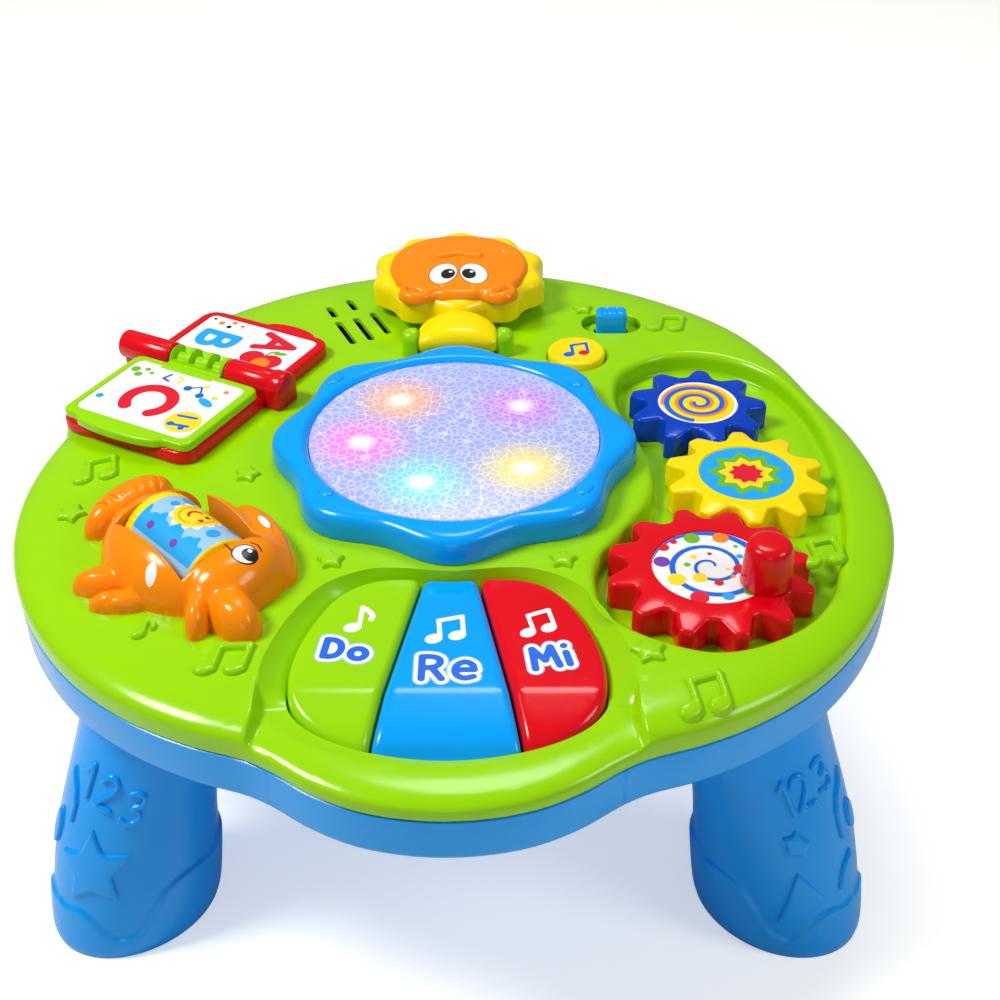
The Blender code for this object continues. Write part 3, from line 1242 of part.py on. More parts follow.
def lump(place, size, turn, steps):
    """A dome of the fish: an ellipsoid centred on the plateau."""
    body = bmesh.new()
    bmesh.ops.create_uvsphere(body, u_segments=steps, v_segments=steps // 2, radius=1.0)
    scale = Matrix.Diagonal((*size, 1.0))
    rotation = Matrix.Rotation(math.radians(FISH_DRUM_TURN + turn), 4, "Z")
    body.transform(Matrix.Translation((*place, PLATEAU_Z)) @ rotation @ scale)
    return body


def make_fish():
    fish = None
    for name, (offset, size, turn) in FISH_LUMPS.items():
        steps = 20 if name in ("body", "head") else 12
        body = lump(fish_place(*offset), size, turn, steps)
        if fish is None:
            fish = add("fish_body", body, "orange_plastic")
        else:
            join(fish, name, body)
    reach = 4 * FISH_DRUM_LENGTH
    floor = block(reach, reach, PLATEAU_Z - reach, PLATEAU_Z + SEAT_GAP, FISH_DRUM_CENTRE)
    cut(fish, "floor", floor)
    cut(fish, "drum_bore", fish_cylinder(FISH_DRUM_RADIUS + FISH_GAP, FISH_DRUM_LENGTH + 2 * FISH_GAP, ROUND_STEPS))
    window = turned_about(FISH_WINDOW, FISH_DRUM_TURN, FISH_DRUM_CENTRE)
    cut(fish, "window", prism(window, PLATEAU_Z + FISH_DRUM_RAISE + FISH_DRUM_RADIUS / 3, PLATEAU_Z + 2 * FISH_BODY_HEIGHT))
    cut(fish, "axle_bore", fish_cylinder(FISH_AXLE_RADIUS + RUN_GAP, FISH_AXLE_LENGTH + 2 * SEAT_GAP, SMALL_STEPS))
    centre = (*FISH_DRUM_CENTRE, PLATEAU_Z + FISH_DRUM_RAISE)
    drum = add("fish_roller", fish_cylinder(FISH_DRUM_RADIUS, FISH_DRUM_LENGTH, ROUND_STEPS), "yellow_plastic", centre)
    cut(drum, "bore", fish_cylinder(FISH_AXLE_RADIUS + RUN_GAP, 2 * FISH_DRUM_LENGTH, SMALL_STEPS))
    add("fish_axle", fish_cylinder(FISH_AXLE_RADIUS, FISH_AXLE_LENGTH, SMALL_STEPS), "steel")


def make_lion():
    hinge = (0, LION_HINGE_Y, lion_hinge_z())
    low = PLATEAU_Z + LION_RAISE + LION_TONGUE_THICKNESS
    top = low + LION_THICKNESS
    rings = [
        level(lion_outline(1, 1.2 * MM), low),
        level(lion_outline(), low + LION_THICKNESS * 0.2),
        level(lion_outline(), low + LION_THICKNESS * 0.75),
        level(lion_outline(1, 1.5 * MM), low + LION_THICKNESS * 0.93),
        level(lion_outline(1, 4 * MM), top),
    ]
    mane = add("lion_mane", loft(rings), "yellow_plastic", hinge)
    foot = [(LION_REST_RADIUS, PLATEAU_Z + SEAT_GAP), (LION_REST_RADIUS, low + WALL)]
    join(mane, "rest_foot", turned(foot, SMALL_STEPS, (0, LION_REST_Y)))
    face_rings = []
    for share, height in ((1, 0), (1, 0.35), (0.9, 0.72), (0.66, 0.94), (0.3, 1)):
        ring = []
        for i in range(ROUND_STEPS):
            t = 2 * math.pi * i / ROUND_STEPS
            x = LION_HALF_WIDTH * LION_FACE_SHARE * share * math.cos(t)
            y = LION_HALF_DEPTH * LION_FACE_SHARE * share * math.sin(t)
            ring.append((x, LION_FACE_Y + y))
        face_rings.append(level(ring, top + SEAT_GAP + LION_FACE_HEIGHT * height))
    add("lion_face", loft(face_rings), "orange_plastic", hinge)
    half = LION_YOKE_WIDTH / 2
    yoke = turned([(LION_YOKE_RADIUS * 0.86, -half), (LION_YOKE_RADIUS, -half * 0.8), (LION_YOKE_RADIUS, half * 0.8), (LION_YOKE_RADIUS * 0.86, half)], 20)
    yoke = add("lion_yoke", along_x(yoke, hinge), "yellow_plastic", hinge)
    tongue_top = low - SEAT_GAP
    tongue_low = tongue_top - LION_TONGUE_THICKNESS + SEAT_GAP
    middle = (0, LION_HINGE_Y + LION_TONGUE_REACH / 2)
    join(yoke, "tongue", block(LION_TONGUE_WIDTH, LION_TONGUE_REACH, tongue_low, tongue_top, middle))
    bore = LION_PIN_RADIUS + RUN_GAP
    cut(yoke, "pin_bore", along_x(turned([(bore, -half - OVERRUN), (bore, half + OVERRUN)], SMALL_STEPS), hinge))
    reach = half + LION_BOSS_WIDTH
    pin = along_x(turned([(LION_PIN_RADIUS, -reach), (LION_PIN_RADIUS, reach)], SMALL_STEPS), hinge)
    add("lion_hinge_pin", pin, "steel")


def make_button_and_switch():
    x, y = BUTTON_CENTRE
    flange_top = SHELL_INSIDE_Z - SEAT_GAP
    flange_low = flange_top - BUTTON_FLANGE_THICKNESS
    stem_low = flange_low - BUTTON_STEM_LENGTH
    top = PLATEAU_Z + BUTTON_PROUD
    profile = [
        (BUTTON_STEM_RADIUS, stem_low),
        (BUTTON_STEM_RADIUS, flange_low),
        (BUTTON_RADIUS + BUTTON_FLANGE, flange_low),
        (BUTTON_RADIUS + BUTTON_FLANGE, flange_top),
        (BUTTON_RADIUS, flange_top),
        (BUTTON_RADIUS, top - BUTTON_FLANGE / 2),
        (BUTTON_RADIUS - BUTTON_FLANGE, top),
    ]
    add("music_button", turned(profile, ROUND_STEPS, BUTTON_CENTRE), "yellow_plastic", (x, y, stem_low))
    board_top = switch_board_top()
    dome = [
        (BUTTON_DOME_RADIUS, board_top + SEAT_GAP),
        (BUTTON_DOME_RADIUS * 0.6, stem_low - SEAT_GAP),
    ]
    add("button_dome", turned(dome, SMALL_STEPS, BUTTON_CENTRE), "dome_rubber")
    board = block(SWITCH_BOARD_WIDTH, SWITCH_BOARD_DEPTH, board_top - BOARD_THICKNESS, board_top, SWITCH_BOARD_CENTRE)
    add("switch_board", board, "circuit_board")

    x, y = SLIDER_CENTRE
    stem_low = slider_floor_z() - SLIDER_STEM_LENGTH
    knob_low = slider_floor_z() + SEAT_GAP
    knob_top = PLATEAU_Z + SLIDER_KNOB_PROUD
    body = loft(
        [
            level(rectangle(SLIDER_KNOB_WIDTH, SLIDER_KNOB_DEPTH, SLIDER_CENTRE), knob_low),
            level(rectangle(SLIDER_KNOB_WIDTH, SLIDER_KNOB_DEPTH, SLIDER_CENTRE), knob_top - WALL / 2),
            level(rectangle(SLIDER_KNOB_WIDTH - WALL, SLIDER_KNOB_DEPTH - WALL, SLIDER_CENTRE), knob_top),
        ]
    )
    slider = add("power_slider", body, "sky_plastic", (x, y, knob_low))
    stem = block(SLIDER_STEM_WIDTH, SLIDER_STEM_DEPTH, stem_low, knob_low + WALL, SLIDER_CENTRE)
    join(slider, "stem", stem)
    body_top = slider_floor_z() - WALL / 2 - SEAT_GAP
    groove_low = stem_low - SEAT_GAP
    switch = block(SWITCH_BODY_WIDTH, SWITCH_BODY_DEPTH, board_top + SEAT_GAP, body_top, SLIDER_CENTRE)
    switch = add("slide_switch", switch, "black_plastic")
    groove = (SLIDER_STEM_WIDTH + 2 * SLIDER_TRAVEL + 2 * SLIDE_GAP, SLIDER_STEM_DEPTH + 2 * SLIDE_GAP)
    cut(switch, "groove", block(*groove, groove_low, body_top + OVERRUN, SLIDER_CENTRE))


def make_speaker_and_boards():
    top = SHELL_INSIDE_Z - SEAT_GAP
    profile = [
        (SPEAKER_RADIUS * 0.55, top - SPEAKER_DEPTH), (SPEAKER_RADIUS * 0.55, top - SPEAKER_DEPTH * 0.65),
        (SPEAKER_RADIUS * 0.7, top - SPEAKER_DEPTH * 0.6), (SPEAKER_RADIUS * 0.92, top - WALL),
        (SPEAKER_RADIUS, top - WALL), (SPEAKER_RADIUS, top),
        (SPEAKER_RADIUS * 0.88, top), (SPEAKER_RADIUS * 0.35, top - SPEAKER_DEPTH * 0.3),
    ]
    add("speaker", turned(profile, ROUND_STEPS, SPEAKER_CENTRE), "black_plastic")
    top = main_board_top()
    board = block(MAIN_BOARD_WIDTH, MAIN_BOARD_DEPTH, top - BOARD_THICKNESS, top, MAIN_BOARD_CENTRE)
    add("main_board", board, "circuit_board")


def make_batteries():
    low = TRAY_FLOOR_Z + DOOR_THICKNESS + 2 * SEAT_GAP
    middle_z = low + BATTERY_RADIUS
    for i in range(BATTERY_COUNT):
        y = (i - (BATTERY_COUNT - 1) / 2) * BATTERY_PITCH
        side = 1 if i % 2 else -1
        half = BATTERY_LENGTH / 2
        nub = half + BATTERY_NUB_LENGTH
        profile = [(BATTERY_RADIUS, -half), (BATTERY_RADIUS, half), (BATTERY_NUB_RADIUS, half), (BATTERY_NUB_RADIUS, nub)]
        cell = turned([(r, side * z) for r, z in profile], 16)
        add("battery_%d" % (i + 1), along_x(cell, (0, y, middle_z)), "battery_wrap")
    for name, side in (("battery_contact_left", -1), ("battery_contact_right", 1)):
        x = side * (BATTERY_BAY_WIDTH / 2 - SEAT_GAP - CONTACT_THICKNESS / 2)
        width = BATTERY_BAY_DEPTH - 2 * OVERRUN
        plate = block(CONTACT_THICKNESS, width, low, low + CONTACT_HEIGHT, (x, 0))
        contact = add(name, plate, "steel")
        cones = []
        for i in range(BATTERY_COUNT):
            y = (i - (BATTERY_COUNT - 1) / 2) * BATTERY_PITCH
            nub_side = 1 if i % 2 else -1
            end = BATTERY_LENGTH / 2 + (BATTERY_NUB_LENGTH if nub_side == side else 0) + SEAT_GAP
            profile = [(CONTACT_CONE_RADIUS, abs(x)), (CONTACT_CONE_RADIUS / 2, end)]
            cone = turned([(r, side * z) for r, z in profile], SMALL_STEPS)
            cones.append(along_x(cone, (0, y, middle_z - BATTERY_RADIUS / 5)))
        join(contact, "cones", gathered(cones))
    fit = 2 * (DOOR_MARGIN - SEAT_GAP)
    door = block(BATTERY_BAY_WIDTH + fit, BATTERY_BAY_DEPTH + fit, TRAY_FLOOR_Z, TRAY_FLOOR_Z + DOOR_THICKNESS)
    door = add("battery_door", door, "sky_plastic")
    ear = block(4 * SCREW_RADIUS, 6 * SCREW_RADIUS, TRAY_FLOOR_Z, TRAY_FLOOR_Z + DOOR_THICKNESS, door_screw_place())
    ear.free()
    cut(door, "screw_hole", turned([(SCREW_RADIUS + SEAT_GAP, TRAY_FLOOR_Z - OVERRUN), (SCREW_RADIUS + SEAT_GAP, TRAY_INSIDE_Z + OVERRUN)], SMALL_STEPS, door_screw_place()))


def make_screws():
    low = screw_head_z()
    seat = low + SCREW_HEAD_HEIGHT
    profile = [(SCREW_HEAD_RADIUS, low), (SCREW_HEAD_RADIUS, seat), (SCREW_RADIUS, seat), (SCREW_RADIUS, screw_tip_z())]
    for name, place in SCREW_PLACES.items():
        add(name, turned(profile, SMALL_STEPS, place), "steel")


def main():
    clear_scene()
    empty("table_frame", (0, PANEL_Y, 0))
    make_top_shell()
    make_bottom_tray()
    make_legs()
    make_panel()
    make_keys()
    make_gears()
    make_book()
    make_fish()
    make_lion()
    make_button_and_switch()
    make_speaker_and_boards()
    make_batteries()
    make_screws()


main()
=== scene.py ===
# %% [markdown]
# # A musical activity table, dressed
#
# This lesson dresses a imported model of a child's activity table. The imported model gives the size, the
# place and the joints of every piece. Here each piece gets the surface that a toy factory would give it:
# glossy moulded plastic with soft edges, raised stars and notes, and printed labels.

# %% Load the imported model
import json
import math

import bmesh
import bpy
import numpy as np
from mathutils import Matrix, Vector
from mathutils.geometry import delaunay_2d_cdt


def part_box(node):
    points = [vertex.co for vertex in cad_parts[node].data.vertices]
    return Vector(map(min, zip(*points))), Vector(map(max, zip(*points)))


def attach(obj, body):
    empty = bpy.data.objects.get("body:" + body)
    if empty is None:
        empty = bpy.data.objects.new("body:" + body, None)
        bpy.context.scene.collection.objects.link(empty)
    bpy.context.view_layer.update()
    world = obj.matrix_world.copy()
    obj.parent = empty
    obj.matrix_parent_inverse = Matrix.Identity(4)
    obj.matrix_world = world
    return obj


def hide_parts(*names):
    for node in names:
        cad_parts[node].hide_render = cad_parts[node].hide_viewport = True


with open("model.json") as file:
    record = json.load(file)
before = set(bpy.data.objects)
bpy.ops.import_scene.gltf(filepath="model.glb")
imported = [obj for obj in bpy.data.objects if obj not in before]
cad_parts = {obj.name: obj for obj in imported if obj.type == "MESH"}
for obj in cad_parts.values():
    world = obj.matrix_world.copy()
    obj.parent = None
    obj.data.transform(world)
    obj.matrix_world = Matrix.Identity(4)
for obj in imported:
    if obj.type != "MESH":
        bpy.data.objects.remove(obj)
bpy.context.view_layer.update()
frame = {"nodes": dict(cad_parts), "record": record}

# %% [markdown]
# ## Working in millimetres from the lit panel
#
# A toy designer places everything on the table top from the centre of the lit panel, in millimetres.
# So do we. One function turns such places into Blender's metres, and another reads a node's corners
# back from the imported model, so that the looks always sit on the real pieces.

# %% Units and heights
MM = 0.001
PANEL_LOW, PANEL_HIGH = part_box("light_diffuser")
PANEL_Y = (PANEL_LOW.y + PANEL_HIGH.y) / 2 / MM


def to_world(points):
    """Millimetres from the panel's centre to metres in the model's frame."""
    return (np.asarray(points, float) + (0, PANEL_Y, 0)) * MM


def span(node):
    """A node's lowest and highest corners in millimetres from the panel's centre."""
    return [np.array(corner) / MM - (0, PANEL_Y, 0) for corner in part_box(node)]


SEAT_GAP = 0.3
PLATEAU = span("panel_bezel")[0][2] - SEAT_GAP
SHELL_EDGE = PLATEAU - 13.5
LEG_HEIGHT = span("bottom_tray")[0][2] - SEAT_GAP
print("table top at", round(PLATEAU, 1), "mm, legs", round(LEG_HEIGHT, 1), "mm tall")

# %% [markdown]
# ## Plan shapes
#
# Every relief on the toy starts as a line drawing: a smooth loop through a few chosen points, or a
# polygon with rounded corners. A small set of drawing tools makes all of them.

# %% Drawing tools


def smooth_loop(points, steps=8):
    """A closed smooth curve through the points (Catmull-Rom)."""
    here = np.asarray(points, float)
    a, b, c, d = (np.roll(here, k, axis=0)[:, None] for k in (1, 0, -1, -2))
    t = (np.arange(steps) / steps)[None, :, None]
    curve = 2 * b + (c - a) * t + (2 * a - 5 * b + 4 * c - d) * t**2 + (3 * b - a - 3 * c + d) * t**3
    return (0.5 * curve).reshape(-1, here.shape[1])


def smooth_path(points, rounds=3):
    """An open line with its corners cut a few times, which keeps its ends."""
    path = np.asarray(points, float)
    for _ in range(rounds):
        near = path[:-1] * 0.75 + path[1:] * 0.25
        far = path[:-1] * 0.25 + path[1:] * 0.75
        middle = np.stack([near, far], axis=1).reshape(-1, path.shape[1])
        path = np.concatenate([path[:1], middle, path[-1:]])
    return path


def circle(radius, steps=64, centre=(0, 0)):
    """A ring of points round the centre."""
    turns = 2 * np.pi * np.arange(steps) / steps
    return np.stack([centre[0] + radius * np.cos(turns), centre[1] + radius * np.sin(turns)], axis=1)


def turned(points, degrees, centre=(0, 0)):
    """Points turned about the origin and then moved to the centre."""
    c, s = math.cos(math.radians(degrees)), math.sin(math.radians(degrees))
    points = np.asarray(points, float)
    return points @ np.array([[c, s], [-s, c]]) + centre


def oval(half_long, half_wide, turn, centre, steps=32):
    """An oval's outline, with its long axis turned from the first direction."""
    return turned(circle(1, steps) * (half_long, half_wide), turn, centre)


def mirrored(half):
    """A closed loop from its right half, which starts and ends on the middle line."""
    half = np.asarray(half, float)
    return np.concatenate([half, half[-2:0:-1] * (-1, 1)])


def grown(loop, distance):
    """The loop moved outwards along its normals."""
    along = np.roll(loop, -1, axis=0) - np.roll(loop, 1, axis=0)
    normal = np.stack([along[:, 1], -along[:, 0]], axis=1)
    normal /= np.linalg.norm(normal, axis=1)[:, None]
    after = np.roll(loop, -1, axis=0)
    side = np.sign((loop[:, 0] * after[:, 1] - after[:, 0] * loop[:, 1]).sum())
    return loop + normal * side * distance


def rounded(corners, radius, steps=6):
    """A polygon with its corners rounded."""
    corners = np.asarray(corners, float)
    points = []
    for before, here, after in zip(np.roll(corners, 1, axis=0), corners, np.roll(corners, -1, axis=0)):
        back, on = before - here, after - here
        reach = min(radius, 0.45 * np.linalg.norm(back), 0.45 * np.linalg.norm(on))
        start = here + back / np.linalg.norm(back) * reach
        end = here + on / np.linalg.norm(on) * reach
        for t in np.arange(steps + 1) / steps:
            points.append(start * (1 - t) ** 2 + 2 * here * t * (1 - t) + end * t**2)
    return np.array(points)


def stadium(length, width, steps=10):
    """A slot outline with half round ends."""
    turns = np.linspace(-np.pi / 2, np.pi / 2, steps + 1)
    end = np.stack([np.cos(turns), np.sin(turns)], axis=1) * width / 2
    return np.concatenate([end + ((length - width) / 2, 0), -end - ((length - width) / 2, 0)])


def star(radius, points=5, depth=0.48, turn=90):
    """A star's corners."""
    turns = np.radians(turn) + np.pi * np.arange(2 * points) / points
    reach = np.where(np.arange(2 * points) % 2, depth * radius, radius)
    return np.stack([reach * np.cos(turns), reach * np.sin(turns)], axis=1)


def resampled(loop, spacing):
    """The loop with its points at an even spacing."""
    closed = np.concatenate([loop, loop[:1]])
    run = np.concatenate([[0], np.cumsum(np.linalg.norm(np.diff(closed, axis=0), axis=1))])
    count = max(6, int(run[-1] / spacing))
    at = np.arange(count) * run[-1] / count
    return np.stack([np.interp(at, run, closed[:, k]) for k in (0, 1)], axis=1)


print("a five pointed star has", len(star(1)), "corners")

# %% [markdown]
# ## Distance fields
#
# A mould maker rounds an edge by rolling a ball along it. The same thing is easy here when every shape
# knows how far a place is from its edge: negative inside, positive outside. Strokes of a pen, filled
# areas and their unions all become such distance fields.

# %% Distance fields


def distance_to(points, path, closed=False):
    """How far each point is from a line, or from a closed loop's edge."""
    path = np.asarray(path, float)
    starts, ends = (path, np.roll(path, -1, axis=0)) if closed else (path[:-1], path[1:])
    along = ends - starts
    square = np.maximum((along**2).sum(1), 1e-9)
    found = np.empty(len(points))
    for first in range(0, len(points), 4000):
        offset = points[first : first + 4000, None] - starts[None]
        t = np.clip((offset * along).sum(2) / square, 0, 1)
        found[first : first + 4000] = np.sqrt(((offset - t[..., None] * along) ** 2).sum(2).min(1))
    return found


def inside(points, loop):
    """Whether each point lies in the loop, by counting crossings."""
    found = np.zeros(len(points), bool)
    for (x0, y0), (x1, y1) in zip(loop, np.roll(loop, -1, axis=0)):
        if y0 != y1:
            crosses = (y0 > points[:, 1]) != (y1 > points[:, 1])
            found ^= crosses & (points[:, 0] < (x1 - x0) * (points[:, 1] - y0) / (y1 - y0) + x0)
    return found


def area(loop):
    """The field of a filled loop."""
    return lambda points: distance_to(points, loop, True) * np.where(inside(points, loop), -1, 1)


def stroke(paths, width):
    """The field of lines drawn with a round pen of this width."""
    return lambda points: np.min([distance_to(points, path) for path in paths], axis=0) - width / 2


def either(*fields):
    """The field of several shapes taken together."""
    return lambda points: np.min([field(points) for field in fields], axis=0)


def widened(field, distance):
    """The field with its edge moved outwards."""
    return lambda points: field(points) - distance


# Which grid edges a contour joins in one cell, by which of its corners lie inside
CELL_STEPS = {
    1: ((0, 3),), 2: ((1, 0),), 3: ((1, 3),), 4: ((2, 1),), 5: ((0, 3), (2, 1)), 6: ((2, 0),),
    7: ((2, 3),), 8: ((3, 2),), 9: ((0, 2),), 10: ((1, 0), (3, 2)), 11: ((1, 2),), 12: ((3, 1),),
    13: ((0, 1),), 14: ((3, 0),),
}


def sampled(field, low, high, step):
    """The field's values on a grid, and the grid's lowest corner."""
    xs = np.arange(low[0], high[0] + step, step)
    ys = np.arange(low[1], high[1] + step, step)
    grid = np.stack(np.meshgrid(xs, ys, indexing="ij"), axis=2)
    return field(grid.reshape(-1, 2)).reshape(grid.shape[:2]), np.array([xs[0], ys[0]])


def contours(values, corner, step, level=0.0):
    """The closed loops round where the values are below the level, with the inside on the left."""
    values = values - level
    values[np.abs(values) < 1e-6] = 1e-6
    within = (values < 0).astype(int)
    cell = within[:-1, :-1] + 2 * within[1:, :-1] + 4 * within[1:, 1:] + 8 * within[:-1, 1:]
    following = {}
    for i, j in zip(*np.nonzero((cell > 0) & (cell < 15))):
        edges = ((i, j, 0), (i + 1, j, 1), (i, j + 1, 0), (i, j, 1))
        for here, there in CELL_STEPS[cell[i, j]]:
            following[edges[here]] = edges[there]
    loops = []
    while following:
        edge = next(iter(following))
        loop = []
        while edge in following:
            i, j, upward = edge
            a, b = values[i, j], values[i + 1 - upward, j + upward]
            share = a / (a - b)
            loop.append(corner + step * np.array([i + share * (1 - upward), j + share * upward]))
            edge = following.pop(edge)
        if len(loop) > 5:
            loops.append(np.array(loop))
    return loops


print("a contour cell has", len(CELL_STEPS), "cases")

# %% [markdown]
# ## From drawings to meshes
#
# A flat drawing becomes a mesh by triangulating it between its own lines, then lifting every vertex to
# its height. Raised stars, printed letters, keys and gears are all made that way, so their top edges
# follow the drawing exactly. Pieces that are turned or drawn out are lofted through rings instead.

# %% Triangles between lines
NO_AREA = 1e-7  # square millimetres under which a triangle is dropped


def triangulated(loops, extra, keep, chains=()):
    """Points and triangles between the loops and open chains, where keep is true."""
    points, edges = [], []
    for path, closed in [(loop, True) for loop in loops] + [(chain, False) for chain in chains]:
        first, count = len(points), len(path)
        points += [Vector(point) for point in path]
        edges += [(first + i, first + (i + 1) % count) for i in range(count if closed else count - 1)]
    points += [Vector(point) for point in extra]
    verts, _, faces, _, _, _ = delaunay_2d_cdt(points, edges, [], 0, 1e-4)
    flat = np.array([(v.x, v.y) for v in verts])
    faces = np.array(faces)
    faces = faces[keep(flat[faces].mean(1))]
    a, b, c = (flat[faces[:, k]] for k in range(3))
    area_of = (b[:, 0] - a[:, 0]) * (c[:, 1] - a[:, 1]) - (c[:, 0] - a[:, 0]) * (b[:, 1] - a[:, 1])
    kept = np.abs(area_of) > NO_AREA
    faces, area_of = faces[kept], area_of[kept]
    faces[area_of < 0] = faces[area_of < 0][:, ::-1]
    return flat, faces


def outer_edges(faces):
    """The directed edges that only one face has."""
    faces = np.asarray(faces)
    ends = np.concatenate([faces[:, [0, 1]], faces[:, [1, 2]], faces[:, [2, 0]]])
    known = set(map(tuple, ends))
    return [(a, b) for a, b in known if (b, a) not in known]


SQUARE = triangulated([circle(1, 4)], [], lambda middle: inside(middle, circle(1, 4)))
print("a square takes", len(SQUARE[1]), "triangles")

# %% Lofts


def strip(rings, closed=False):
    """Points and quads through rings of equal counts; closed joins the last ring to the first."""
    count = len(rings[0])
    faces = []
    last = len(rings) if closed else len(rings) - 1
    for k in range(last):
        for i in range(count):
            j = (i + 1) % count
            over = ((k + 1) % len(rings)) * count
            faces.append((k * count + i, k * count + j, over + j, over + i))
    return np.concatenate(rings), faces


def capped(rings, low=True, high=True):
    """A strip with its ends closed."""
    points, faces = strip(rings)
    count = len(rings[0])
    if low:
        faces.append(tuple(range(count - 1, -1, -1)))
    if high:
        faces.append(tuple(range(len(points) - count, len(points))))
    return points, faces


def level(loop, z):
    """A flat loop lifted to a height, or to one height for each of its points."""
    return np.column_stack([loop, np.broadcast_to(z, len(loop))])


print("a capped tube of 8 sides has", len(capped([level(circle(1, 8), z) for z in (0, 1)])[1]), "faces")

# %% [markdown]
# Every piece is made by one function. It joins the parts in one mesh, smooths what should look smooth,
# gives it its finish, sets it on the body that carries it, and hides the imported solids it stands for.

# %% Pieces
WELD_MM = 0.004


def piece(name, parts, look, body, stands_for=(), crease=38, bevel=0.0):
    """One object from (points, faces) parts in table millimetres, riding on its body."""
    whole = bmesh.new()
    for points, faces in parts:
        verts = [whole.verts.new(point) for point in to_world(points)]
        for face in faces:
            try:
                whole.faces.new([verts[i] for i in face])
            except ValueError:
                continue
    bmesh.ops.remove_doubles(whole, verts=whole.verts, dist=WELD_MM * MM)
    loose = [v for v in whole.verts if not v.link_faces]
    bmesh.ops.delete(whole, geom=loose, context="VERTS")
    mesh = bpy.data.meshes.new(name)
    whole.to_mesh(mesh)
    whole.free()
    mesh.materials.append(look)
    mesh.shade_smooth()
    mesh.set_sharp_from_angle(angle=math.radians(crease))
    item = bpy.data.objects.new(name, mesh)
    bpy.context.scene.collection.objects.link(item)
    if bevel:
        rounding = item.modifiers.new("rounding", "BEVEL")
        rounding.width = bevel * MM
        rounding.segments = 3
        rounding.angle_limit = math.radians(crease)
        rounding.harden_normals = True
    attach(item, body)
    if stands_for:
        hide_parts(*stands_for)
    return item


# %% [markdown]
# A relief is the workhorse of this lesson. Its outline is where a field is zero. Rings at chosen depths
# inside give the soft shoulder its points, a height rule lifts them, and a skirt closes the side. The
# place function then lays the flat drawing on a level, on the curved top or round a roller.

# %% Reliefs


def closed_line(loop):
    """A loop as a line that ends where it starts."""
    return np.concatenate([loop, loop[:1]])


def grid_points(low, high, steps):
    """Points on a grid between two corners, at one spacing or one for each direction."""
    rows = [np.arange(low[k], high[k], step) for k, step in enumerate(np.broadcast_to(steps, 2))]
    return np.stack(np.meshgrid(*rows), axis=2).reshape(-1, 2)


def relief(field, low, high, step, place, height=None, rings=(), spacing=None, skirt=0.3, lines=(), extra=()):
    """A raised or printed shape: (points, faces) on the surface that place(x, y, lift) gives."""
    values, corner = sampled(field, low, high, step)
    spacing = spacing or step
    loops = [resampled(loop, spacing) for loop in contours(values, corner, step)]
    within = []
    for depth in rings:
        within += [resampled(loop, spacing * 1.5) for loop in contours(values, corner, step, -depth)]
    flat, faces = triangulated(loops + within + list(lines), extra, lambda middle: inside_any(middle, loops))
    used = np.unique(faces)
    renumber = np.full(len(flat), -1)
    renumber[used] = np.arange(len(used))
    flat, faces = flat[used], renumber[faces]
    lift = height(flat, field(flat)) if height else np.zeros(len(flat))
    top = place(flat[:, 0], flat[:, 1], lift)
    foot = place(flat[:, 0], flat[:, 1], np.full(len(flat), -skirt))
    count = len(flat)
    quads = [(a, a + count, b + count, b) for a, b in outer_edges(faces)]
    return np.concatenate([top, foot]), [tuple(f) for f in faces] + quads


def inside_any(points, loops):
    """Inside an odd number of loops, so that a hole stays a hole."""
    found = np.zeros(len(points), bool)
    for loop in loops:
        found ^= inside(points, loop)
    return found


def quarter_round(share):
    """The rise of a quarter circle, from 0 at its foot to 1 at its top."""
    return np.sqrt(np.clip(1 - (1 - np.clip(share, 0, 1)) ** 2, 0, 1))


def domed(rise, width):
    """A height rule: a soft shoulder of this width up to a flat top."""
    return lambda flat, depth: rise * quarter_round(-depth / width)


def shouldered(rise, width):
    """A height rule: the same shoulder, but measured down from the flat top."""
    return lambda flat, depth: domed(rise, width)(flat, depth) - rise


print("half way in, a shoulder has risen to", round(float(quarter_round(0.5)), 2), "of its height")

# %% [markdown]
# ## Finishes
#
# The casing, keys and gears of such a toy are injection moulded ABS: a tough, glossy plastic, coloured
# all the way through. Its refractive index is about 1.53. Polished steel moulds leave it shiny, with a
# very faint waviness from shrinking and a haze of small handling marks, which is what keeps a computer
# image of it from looking like glass. So each plastic gets its colour, a slow small change of tone, a
# roughness that drifts a little, and a bump far too shallow to see except in reflections.

# %% Colour and node helpers


def linear(hex_colour):
    """Linear RGBA from an sRGB hex colour."""
    parts = [int(hex_colour[i : i + 2], 16) / 255 for i in (0, 2, 4)]
    return [c / 12.92 if c <= 0.04045 else ((c + 0.055) / 1.055) ** 2.4 for c in parts] + [1.0]


def feed(tree, item, values=(), links=()):
    """Sets some of a node's inputs and links others."""
    for key, value in dict(values).items():
        item.inputs[key].default_value = value
    for key, source in dict(links).items():
        tree.links.new(source, item.inputs[key])


def add_node(tree, kind, values=(), links=(), **settings):
    """One node with its settings, its input values and what feeds its inputs."""
    item = tree.nodes.new(kind)
    for key, value in settings.items():
        setattr(item, key, value)
    feed(tree, item, values, links)
    return item


def new_material(name):
    """A material, its node tree and its main shader."""
    material = bpy.data.materials.new(name)
    material.use_nodes = True
    tree = material.node_tree
    return material, tree, tree.nodes["Principled BSDF"]


LIME = "98D800"
print("ABS lime in linear light:", [round(c, 3) for c in linear(LIME)[:3]])

# %% Moulded plastics
WAVE_MM = 14.0  # shrink waves of a moulded wall, crest to crest
MARK_MM = 0.9  # size of the handling marks
GRAIN_MM = 0.35  # faint orange peel of the mould steel, drawn a little coarse so that it shows
PEEL_MM = 0.1  # how deep that orange peel would be at full strength


